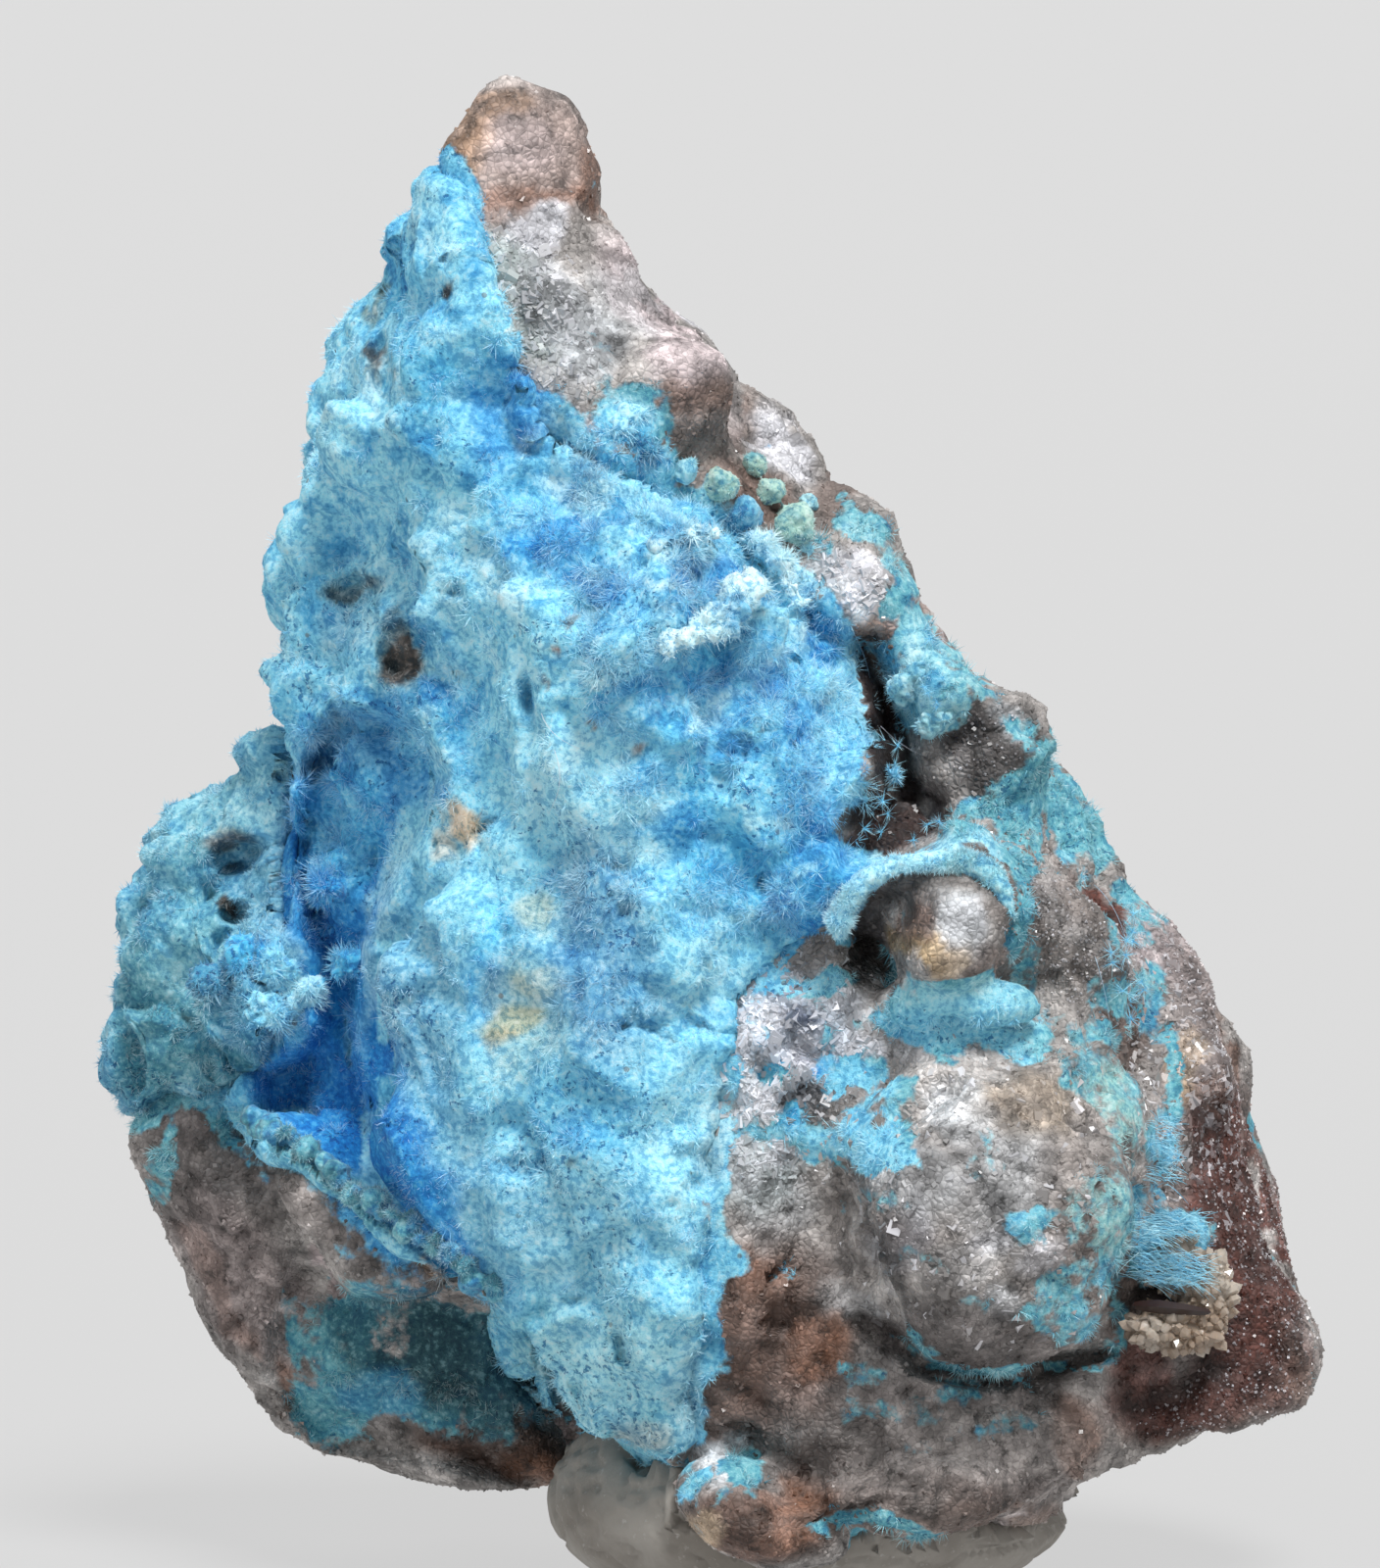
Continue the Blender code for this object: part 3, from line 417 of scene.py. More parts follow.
# Strokes laid on the surfaces in turn, in the front view: (across, up, half width, half height, turn in
# degrees, colour, strength).
ROCK_STROKES = (
    (-3.2, 25.23, 1.42, 1.33, 0, "smoky", 0.85), (-4.2, 25.23, 0.37, 1, 25, "amber", 0.7),
    (-1.98, 24.82, 0.33, 0.8, -5, "rust", 0.6), (-3.03, 24.53, 1.25, 0.22, 0, "rust", 0.6),
    (-3.45, 26.2, 0.42, 0.23, 0, "amber", 0.5), (-2.95, 23.87, 0.53, 0.47, -25, "white", 0.95),
    (-3.7, 23.4, 0.42, 0.67, -15, "druse", 0.6), (-3.37, 22.57, 0.92, 1.33, -20, "greenish", 0.8),
    (-2.03, 21.98, 0.7, 0.63, 0, "pale", 0.8), (-2.78, 20.98, 0.75, 0.75, 0, "druse", 0.6),
    (-2.37, 20.57, 0.67, 0.33, 20, "white", 0.7), (-1.03, 22.9, 0.58, 1.17, -35, "pink", 0.9),
    (-0.37, 21.98, 0.58, 1, -35, "pink", 0.8), (-0.12, 20.73, 0.97, 0.83, -10, "brown", 0.85),
    (-1.37, 22.73, 0.42, 0.83, -35, "pale", 0.5), (1.22, 20.32, 0.47, 0.7, -30, "white", 0.95),
    (-0.53, 20.07, 0.83, 0.42, 30, "brown", 0.6), (0.8, 19.32, 1, 0.47, 25, "brown", 0.9),
    (2.13, 19.4, 0.47, 0.58, -20, "brown", 0.6), (2.43, 17.9, 0.7, 0.63, 0, "white", 0.8),
    (3.05, 17.07, 0.5, 0.37, 0, "rust", 0.7), (1.88, 17.73, 0.25, 0.5, -15, "pale", 0.8),
    (3.38, 17.4, 0.33, 0.42, 0, "pink", 0.5), (4.97, 14.98, 1.03, 0.87, 0, "black", 0.85),
    (5.22, 15.4, 0.42, 0.3, 20, "pale", 0.6), (4.47, 15.4, 0.33, 0.42, 0, "black", 0.9),
    # Painted shade, partly dark maroon rock: the two near-black strokes of the next line lie down the
    # crevice.
    (2.85, 15.57, 0.43, 1.58, -17, "maroon_dark", 1), (3.38, 13.9, 0.83, 0.5, 0, "maroon_dark", 1),
    (3.05, 13.4, 0.5, 0.23, 0, "maroon", 0.8), (5.88, 12.23, 0.7, 1.92, -33, "umber", 0.8),
    (5.47, 12.9, 0.58, 0.42, 0, "umber", 0.7), (6.47, 11.07, 0.5, 1, -30, "druse", 0.7),
    (5.97, 12.23, 0.23, 1, -30, "pale", 0.4), (4.22, 11.98, 0.97, 0.93, 0, "druse", 0.85),
    (3.88, 11.43, 0.33, 0.22, 0, "ochre", 0.9), (3.38, 11.73, 0.23, 0.3, 0, "ochre", 0.7),
    # Painted shade: the black strokes of the next two lines lie in the gap under the arch, beside the small
    # knob; the white stroke on the next line is a painted highlight on the knob.
    (3.5, 12.43, 0.37, 0.27, 0, "black", 0.9), (4.47, 12.23, 0.33, 0.33, 0, "white", 0.9),
    (2.88, 11.98, 0.33, 0.63, 0, "black", 1), (3.05, 12.65, 0.42, 0.17, -20, "black", 0.8),
    (1.3, 10.07, 1.42, 1.25, 0, "bluish", 0.85), (1.13, 10.9, 0.47, 0.22, 15, "slate", 0.9),
    (1.55, 10.32, 0.5, 0.15, 20, "slate", 0.8), (1.88, 8.98, 0.63, 0.47, 0, "black", 0.7),
    (2.63, 9.82, 0.37, 0.3, 0, "white", 0.95), (0.8, 10.4, 0.5, 0.3, 10, "white", 0.7),
    (0.8, 9.23, 0.67, 0.42, 0, "pale", 0.7), (0.8, 8.07, 0.75, 1, 0, "greenish", 0.7),
    (1.13, 7.23, 0.67, 0.67, 0, "pale", 0.4), (4.63, 7.23, 2.67, 2.83, 0, "druse", 0.75),
    (4.8, 7.73, 1, 1, 0, "pale", 0.5), (5.38, 8.9, 0.97, 0.7, 10, "ochre", 0.4),
    (3.8, 10.07, 0.83, 0.43, 0, "white", 0.35), (3.47, 9.23, 0.58, 0.58, 0, "druse", 0.6),
    (6.13, 6.23, 0.75, 1, 0, "brown", 0.35), (4.3, 6.23, 0.58, 0.5, 0, "pale", 0.5),
    (3.3, 6.73, 0.5, 0.67, 0, "slate", 0.4), (4.8, 5.9, 1.5, 0.67, 10, "druse", 0.5),
    (4.97, 5.57, 0.33, 0.27, 0, "pale", 0.6), (1.13, 5.23, 1.5, 1.5, 0, "brown", 0.9),
    (1.88, 4.73, 0.67, 0.58, 0, "rust", 0.8), (0.8, 6.07, 0.67, 0.5, 0, "rust", 0.5),
    (2.47, 5.48, 0.63, 0.23, 30, "pale", 0.6), (2.3, 6.07, 1, 0.67, 20, "druse", 0.5),
    (0.38, 3.73, 0.87, 0.92, 0, "brown_dark", 0.9), (2.8, 3.23, 2, 1.17, 0, "druse_dark", 0.8),
    # Painted shade: the black strokes of the next line lie in the crack under the large knob.
    (4.63, 4.4, 1.83, 0.3, 6, "black", 0.9), (3.22, 4.98, 0.67, 0.23, 30, "black", 0.8),
    (4.97, 3.07, 1.83, 1.17, 0, "druse_dark", 0.85), (1.3, 3.73, 1, 0.5, 0, "brown", 0.7),
    (0.33, 2.98, 0.4, 0.37, 0, "pale", 0.95), (2.97, 2.23, 2.5, 0.67, 0, "brown_dark", 0.6),
    (0.8, 1.7, 1.25, 0.57, 10, "brown", 0.85), (0.88, 1.9, 0.83, 0.23, 10, "rust", 0.5),
    (1.55, 2.23, 0.67, 0.47, 0, "rust", 0.6), (6.3, 3.23, 0.58, 0.67, 0, "rust", 0.5),
    (4.8, 1.82, 1.5, 0.27, 0, "rust", 0.4), (9, 6.73, 1.25, 3.17, -12, "maroon", 1),
    (9.63, 4.4, 0.83, 1, 0, "maroon", 1), (8.63, 3.65, 1.67, 0.37, -18, "grainy", 0.8),
    (7.47, 4.07, 0.67, 1, 0, "maroon", 0.9), (7.13, 5.57, 0.42, 1, 0, "brown_dark", 0.8),
    (10.05, 4.57, 0.27, 1.17, -12, "grainy", 0.6), (9.5, 7.57, 0.23, 1.5, -5, "grainy", 0.5),
    (7.97, 11.73, 0.75, 1, -35, "pink", 0.7), (8.38, 10.4, 0.67, 1.33, -15, "grey_pink", 0.6),
    (8.17, 9.32, 0.33, 0.33, 0, "amber", 0.9), (7.13, 10.23, 0.5, 0.83, -20, "brown", 0.8),
    (8.55, 9.73, 0.33, 1, 0, "grey_pink", 0.6), (7.8, 8.73, 0.5, 0.83, 0, "druse", 0.6),
    (8.72, 9.07, 0.27, 0.5, 0, "brown", 0.6), (7.88, 7.82, 0.47, 0.67, 0, "druse", 0.6),
    (7.8, 5.73, 0.67, 0.23, 0, "maroon_dark", 0.9), (-8.45, 7.9, 1.67, 1.67, 0, "grey_brown", 0.85),
    (-8.87, 6.9, 0.6, 0.83, 20, "black", 0.5), (-9.2, 8.57, 0.5, 0.67, 0, "grey_pink", 0.7),
    (-7.7, 8.07, 0.67, 0.67, 0, "black", 0.4), (-7.87, 5.4, 0.92, 1.83, -28, "grey_pink", 0.8),
    (-8.62, 5.57, 0.2, 1.33, -25, "rust", 0.7), (-7.2, 3.57, 0.23, 0.83, -30, "rust", 0.6),
    (-5.7, 6.82, 2.5, 0.87, 33, "grey_brown", 0.9), (-6.87, 7.48, 1, 0.33, 35, "umber", 0.6),
    (-5.03, 6.23, 1.17, 0.33, 30, "grey_pink", 0.6), (-3.53, 2.73, 1.83, 0.6, 10, "brown_dark", 0.95),
    # Painted shade: the black strokes of the next two lines lie in the hollow under the ledge.
    (-4.2, 3.07, 0.67, 0.23, 0, "black", 0.8), (-5.7, 3.07, 0.67, 0.17, 0, "black", 0.7),
    (-2.7, 2.23, 0.83, 0.4, 20, "rust", 0.6), (-5.37, 5.23, 1, 0.23, 0, "black", 0.6),
    # Painted shade: the druse_dark stroke first on the next line darkens the underside of the large knob.
    (4.8, 4.87, 2, 0.63, 5, "druse_dark", 0.65), (6.05, 5.57, 1, 0.83, 0, "umber", 0.4),
    (-8.7, 8.07, 1.17, 1, 0, "black", 0.45), (8.63, 3.98, 1.33, 0.53, -10, "maroon_dark", 0.6),
    (9.13, 6.23, 0.67, 1.17, 0, "maroon_dark", 0.35), (-5.37, 6.7, 2, 0.43, 33, "grey_brown", 0.9),
    (3.8, 7.23, 1, 1.67, 0, "umber", 0.35), (2.63, 7.07, 0.67, 1, 0, "umber", 0.5),
    (6.63, 7.73, 0.67, 1.5, 0, "umber", 0.5), (-1.2, 3.23, 0.67, 0.37, 10, "grey_pink", 0.7),
    (-0.37, 2.73, 0.27, 0.33, 0, "brown_dark", 0.6), (-2.83, 24.1, 0.4, 0.43, -20, "white", 1),
    (-3.28, 25.48, 0.67, 0.5, 0, "pink", 0.35), (-2.2, 22.23, 0.5, 1, -25, "pale", 0.6),
    # Painted shade, partly dark maroon rock: the maroon_dark strokes of the next two lines lie in the
    # crevice.
    (-2.7, 21.15, 0.67, 0.5, 0, "pale", 0.5), (3.05, 13.82, 0.83, 0.57, 0, "maroon_dark", 1),
    (2.72, 13.23, 0.5, 0.27, 0, "maroon_dark", 1), (4.8, 11.32, 0.33, 0.57, 0, "brown", 0.6),
    (4.63, 12.73, 0.5, 0.23, 20, "umber", 0.6), (0.38, 10.23, 0.4, 0.33, 0, "white", 0.9),
    (1.63, 9.73, 0.43, 0.33, 0, "white", 0.85), (0.88, 8.9, 0.47, 0.33, 0, "white", 0.85),
    (0.55, 7.9, 0.43, 0.53, 0, "pale", 0.8), (2.13, 10.73, 0.4, 0.27, 0, "white", 0.8),
    (1.3, 8.07, 0.33, 0.27, 0, "white", 0.8), (0.05, 9.4, 0.27, 0.67, 0, "pale", 0.7),
    (0.8, 1.8, 0.93, 0.43, 10, "brown", 0.9), (2.97, 3.07, 1.83, 0.83, 0, "druse", 0.4),
    (5.13, 3.07, 1.33, 0.67, 0, "druse", 0.45), (4.3, 8.9, 0.57, 0.5, 0, "pale", 0.6),
    (3.47, 7.73, 0.67, 0.73, 0, "pale", 0.45), (5.97, 7.73, 0.57, 0.67, 0, "umber", 0.5),
    (5.63, 6.4, 0.5, 0.43, 0, "white", 0.5), (4.63, 6.73, 0.37, 0.33, 0, "white", 0.55),
    (7.97, 5.37, 0.73, 0.17, 0, "maroon_dark", 1), (9.3, 5.57, 0.5, 1.83, -8, "maroon", 0.8),
    # Painted shade: the black stroke last on the next line darkens the underside of the large knob.
    (8.3, 3.9, 1.17, 0.4, -15, "maroon_dark", 0.7), (4.8, 5.2, 1.83, 0.6, 4, "black", 0.35),
    (5.3, 8.9, 0.83, 0.67, 0, "umber", 0.45), (5.97, 12.23, 0.77, 1.83, -33, "umber", 0.6),
    (0.97, 5.23, 1.33, 1.17, 0, "brown", 0.5), (0.8, 1.8, 1, 0.6, 10, "brown", 0.9),
    (1.13, 1.57, 0.5, 0.23, 10, "rust", 0.6), (4.22, 11.98, 0.67, 0.67, 0, "pale", 0.5),
    (-0.03, 20.3, 0.6, 0.5, 0, "umber", 0.8), (-8.5, 6.0, 0.8, 1.6, -25, "grey_pink", 0.6),
    (-4.35, 5.85, 0.9, 0.09, 34, "amber", 0.9), (-2.83, 24.0, 0.45, 0.5, -20, "white", 1),
    # Painted highlight: the white stroke last on the next line, on the small knob.
    (-2.6, 22.6, 0.6, 0.9, -20, "pale", 0.6), (4.4, 12.1, 0.4, 0.4, 0, "white", 0.8),
    (3.85, 11.5, 0.45, 0.25, 10, "ochre", 0.8), (0.8, 1.9, 1.2, 0.6, 10, "brown", 0.95),
    (-0.1, 1.75, 0.35, 0.3, 30, "tan", 0.6), (1.6, 1.9, 0.5, 0.5, 0, "rust", 0.7),
    (3.2, 1.8, 1.8, 0.4, 0, "umber", 0.6), (0.05, 2.9, 0.5, 0.4, 0, "pale", 0.7),
    (4.6, 1.6, 0.4, 0.2, 0, "brown_dark", 0.9), (9.2, 6.2, 0.9, 2.2, -12, "maroon", 0.8),
    (9.1, 4.6, 0.9, 0.9, 0, "maroon_dark", 0.6), (3.6, 12.2, 0.3, 0.5, 0, "umber", 0.8),
    (4.3, 11.5, 0.4, 0.2, 0, "umber", 0.6), (8.5, 11.2, 0.6, 0.9, -20, "grey_pink", 0.7),
    (8.2, 9.7, 0.3, 0.5, 0, "tan", 0.4), (9.3, 6.6, 0.8, 2.4, -12, "maroon", 0.9),
    (4.3, 12.1, 0.5, 0.5, 0, "pale", 0.7), (8.6, 3.7, 1.4, 0.4, -16, "maroon", 0.7),
    (4.1, 11.45, 0.5, 0.16, 0, "tan", 0.6), (3.55, 11.9, 0.25, 0.4, 0, "brown", 0.8),
    (1.6, 10.0, 0.6, 0.5, 0, "slate", 0.3), (9.2, 6.2, 0.8, 1.6, -10, "maroon_dark", 0.35),
    (0.8, 1.9, 0.8, 0.5, 10, "brown_dark", 0.35),
)
GROWTH_STROKES = (
    (-1.37, 20.65, 0.73, 0.57, 0, "sky", 0.9), (-2.03, 21.98, 0.37, 0.43, 0, "pale_teal", 0.35),
    (-0.95, 19.9, 0.5, 0.23, 30, "sky", 0.7), (0.63, 19.07, 0.33, 0.37, 0, "teal_blue", 0.9),
    (0.22, 19.53, 0.4, 0.37, 0, "mint", 0.5), (-0.37, 19.4, 0.5, 0.2, 20, "turquoise", 0.6),
    (2.88, 18.82, 0.37, 0.75, -25, "turquoise", 0.8), (3.72, 17.07, 0.6, 0.43, -30, "turquoise", 0.75),
    (3.8, 15.87, 0.7, 0.73, -10, "pale_teal", 0.95), (3.05, 16.07, 0.23, 0.33, 0, "turquoise", 0.5),
    (1.97, 18.23, 0.37, 0.23, 30, "pale_sky", 0.7), (2.63, 19.4, 0.23, 0.5, -25, "turquoise", 0.6),
    (6.38, 14.07, 0.7, 1.33, -22, "turquoise", 0.95), (5.63, 14.07, 0.83, 0.4, 10, "turquoise", 0.8),
    (4.63, 13.73, 1, 0.33, -10, "turquoise", 0.85), (5.97, 14.73, 0.33, 0.33, 0, "turquoise", 0.6),
    (5.3, 16.07, 0.5, 0.23, -40, "turquoise", 0.6), (2.6, 12.65, 0.57, 0.25, -52, "pale_sky", 1),
    (2.33, 12.15, 0.23, 0.43, 0, "pale_sky", 0.95), (3.47, 13.1, 0.83, 0.23, 8, "pale_sky", 1),
    (4.38, 13.27, 0.75, 0.23, 0, "pale_sky", 1), (5.13, 13.07, 0.3, 0.43, -20, "turquoise", 0.95),
    (5.3, 12.15, 0.23, 0.67, 0, "turquoise", 0.8), (4.63, 10.87, 1.3, 0.4, 5, "turquoise", 0.95),
    (3.47, 10.4, 0.57, 0.37, 20, "turquoise", 0.85), (5.38, 11.4, 0.42, 0.42, 0, "turquoise", 0.7),
    (2.8, 10.23, 0.42, 0.27, 0, "turquoise", 0.5), (7.1, 12.23, 0.37, 0.43, -30, "turquoise", 0.75),
    (7.13, 10.9, 0.47, 0.43, 0, "turquoise", 0.7), (7.88, 9.57, 0.23, 0.83, -8, "turquoise", 0.85),
    (7.55, 10.4, 0.23, 0.5, 0, "teal_blue", 0.6), (6.72, 10.07, 0.5, 0.37, 0, "turquoise", 0.75),
    (7.13, 8.73, 0.47, 0.67, 0, "turquoise", 0.6), (7.88, 8.23, 0.3, 0.57, 0, "sky_soft", 0.75),
    (6.97, 7.9, 0.43, 1.33, -8, "turquoise", 0.55), (5.6, 6.9, 0.57, 0.33, -15, "turquoise", 0.9),
    (6.13, 5.73, 0.67, 0.83, 10, "turquoise", 0.5), (5.3, 4.43, 1.67, 0.22, 8, "turquoise", 0.95),
    (6.97, 4.9, 0.4, 0.5, 0, "turquoise", 0.6), (3.55, 4.87, 0.83, 0.18, 28, "turquoise", 0.6),
    (2.72, 8.32, 0.77, 0.5, -20, "sky", 0.95), (2.05, 8.15, 0.37, 0.3, 0, "sky", 0.85),
    (2.97, 9.23, 0.3, 0.37, 0, "sky", 0.8), (1.93, 9.57, 0.23, 0.3, 0, "deep", 0.9),
    (0.63, 10.23, 0.23, 0.67, 0, "sky", 0.4), (0.8, 8.57, 0.33, 0.5, 0, "turquoise", 0.35),
    (2.97, 7.23, 0.83, 0.33, 0, "turquoise", 0.4), (4.38, 5.57, 0.5, 0.23, 0, "turquoise", 0.45),
    (6.47, 9.4, 0.5, 0.4, 0, "turquoise", 0.6), (1.3, 5.65, 0.23, 0.2, 0, "deep", 0.6),
    (0.77, 2.73, 0.5, 0.3, -10, "turquoise", 0.95), (3.05, 1.73, 1.25, 0.18, 4, "turquoise", 0.95),
    (0.3, 2.23, 0.67, 0.17, -15, "turquoise", 0.5), (4.13, 4.07, 0.83, 0.23, 0, "turquoise", 0.5),
    (5.13, 3.57, 1, 0.23, -10, "turquoise", 0.45), (3.63, 3.23, 0.5, 0.2, 0, "turquoise", 0.35),
    (-0.53, 2.73, 0.5, 0.3, 30, "turquoise", 0.7), (8.05, 6.2, 0.73, 0.33, -8, "sky_soft", 0.95),
    (8.05, 6.77, 0.6, 0.2, -8, "sky_soft", 0.85), (7.63, 7.23, 0.23, 0.5, 0, "sky_soft", 0.5),
    (-5.2, 4.48, 2.17, 1.42, 10, "teal", 0.9), (-6.53, 3.73, 1, 0.83, 20, "teal", 0.8),
    (-6.9, 4.9, 0.43, 0.8, -20, "teal", 0.75), (-3.7, 3.9, 1.17, 0.83, 0, "teal_dark", 0.75),
    (-4.53, 5.32, 1.17, 0.4, 0, "teal_dark", 0.6), (-6.2, 4.9, 0.67, 0.67, 0, "teal", 0.5),
    (-7.03, 8.23, 1.33, 0.2, 35, "turquoise", 1), (-5.62, 7.2, 1.17, 0.2, 38, "turquoise", 1),
    (-4.37, 6.18, 0.92, 0.18, 32, "teal_blue", 1), (-7.78, 10.07, 1, 1.33, 0, "teal_blue", 0.8),
    (-9.53, 7.73, 0.2, 1, 10, "turquoise", 0.6), (-8.62, 13.07, 1.83, 1.83, 0, "turquoise", 0.95),
    (-9.53, 10.73, 1, 1.5, 0, "teal", 0.95), (-7.53, 14.9, 0.67, 0.83, 0, "turquoise", 0.9),
    (-8.2, 9.23, 1, 0.5, 0, "teal_blue", 0.7), (-5.87, 9.73, 1.58, 3.83, -12, "deep", 1),
    (-6.37, 13.07, 1.17, 2.67, 0, "deep", 1), (-5.03, 7.73, 0.83, 1.33, -30, "deep", 1),
    (4.38, 10.47, 1.33, 0.33, 5, "turquoise", 0.85), (4.3, 10.73, 0.15, 0.15, 0, "teal_dark", 1),
    (3.47, 10.03, 0.83, 0.4, 20, "turquoise", 0.9), (5.67, 10.2, 0.67, 0.4, -20, "turquoise", 0.8),
    (8.02, 6.32, 0.77, 0.8, 0, "sky_soft", 0.9), (7, 6.48, 0.33, 1.42, -5, "turquoise", 0.6),
    (-4.87, 4.57, 0.6, 1, 0, "teal_dark", 0.7), (-6.53, 4.07, 0.47, 0.67, 0, "teal_dark", 0.6),
    (-3.37, 3.23, 0.67, 0.5, 0, "teal_dark", 0.6), (2.73, 18.65, 0.33, 0.6, -30, "pale_teal", 0.85),
    (3.27, 17.87, 0.3, 0.6, -28, "turquoise", 0.75), (3.9, 16.9, 0.4, 0.7, -32, "pale_teal", 0.9),
    (4.67, 16.23, 0.3, 0.67, -42, "turquoise", 0.8), (5.67, 15.2, 0.2, 0.67, -40, "turquoise", 0.8),
    (1.22, 10.93, 0.57, 0.25, 10, "sky", 0.85), (2.22, 9.23, 0.33, 0.3, 0, "sky", 0.8),
    (1.6, 8.73, 0.3, 0.33, 0, "royal_soft", 0.75), (0.9, 9.6, 0.25, 0.2, 0, "sky", 0.7),
    (2, 10.03, 0.2, 0.4, 0, "sky", 0.6), (0.38, 8.9, 0.2, 0.4, 0, "pale_sky", 0.6),
    (0.3, 7.07, 0.27, 0.67, 0, "pale_teal", 0.5), (6.9, 8.9, 0.5, 0.9, -10, "mint", 0.55),
    (6.6, 7.23, 0.6, 0.8, 0, "mint", 0.45), (4.63, 8.23, 0.33, 0.5, 0, "pale_teal", 0.4),
    (3.8, 6.23, 0.5, 0.33, 0, "pale_teal", 0.4), (6.13, 5.23, 0.83, 0.37, 10, "turquoise", 0.6),
    (2.47, 4.4, 0.5, 0.33, 0, "teal", 0.5), (2.97, 3.73, 1, 0.27, 0, "teal", 0.45),
    (-2.7, 20.73, 0.4, 0.33, 0, "pale_teal", 0.3), (-2.03, 21.23, 0.33, 0.5, -20, "pale_teal", 0.4),
    (-5.03, 4.48, 1.83, 1, 10, "teal_dark", 0.55), (-4.95, 4.32, 1, 0.67, 0, "teal_dark", 0.9),
    (-6.9, 4.2, 0.6, 1.0, -25, "turquoise", 0.85), (-5.7, 3.6, 0.8, 0.5, 0, "teal_blue", 0.7),
    (-4.0, 4.9, 0.9, 0.3, -10, "teal_dark", 0.8), (4.4, 10.75, 1.2, 0.4, 4, "pale_teal", 0.9),
    (3.5, 10.25, 0.7, 0.35, 20, "sky_soft", 0.7), (2.3, 9.35, 0.5, 0.4, -30, "sky_soft", 0.9),
    (1.6, 8.4, 1.2, 0.22, 0, "sky", 0.7), (3.2, 8.0, 0.5, 0.25, 0, "sky", 0.9),
    (1.0, 9.6, 0.35, 0.3, 0, "royal_soft", 0.75), (1.9, 11.0, 0.6, 0.3, -10, "sky", 0.9),
    (2.5, 1.62, 1.1, 0.12, 8, "turquoise", 0.9), (-1.37, 20.4, 0.6, 0.45, 0, "royal_soft", 0.85),
    (7.5, 11.9, 0.3, 0.5, 0, "turquoise", 0.5), (4.5, 10.4, 1.3, 0.5, 4, "sky", 0.75),
)
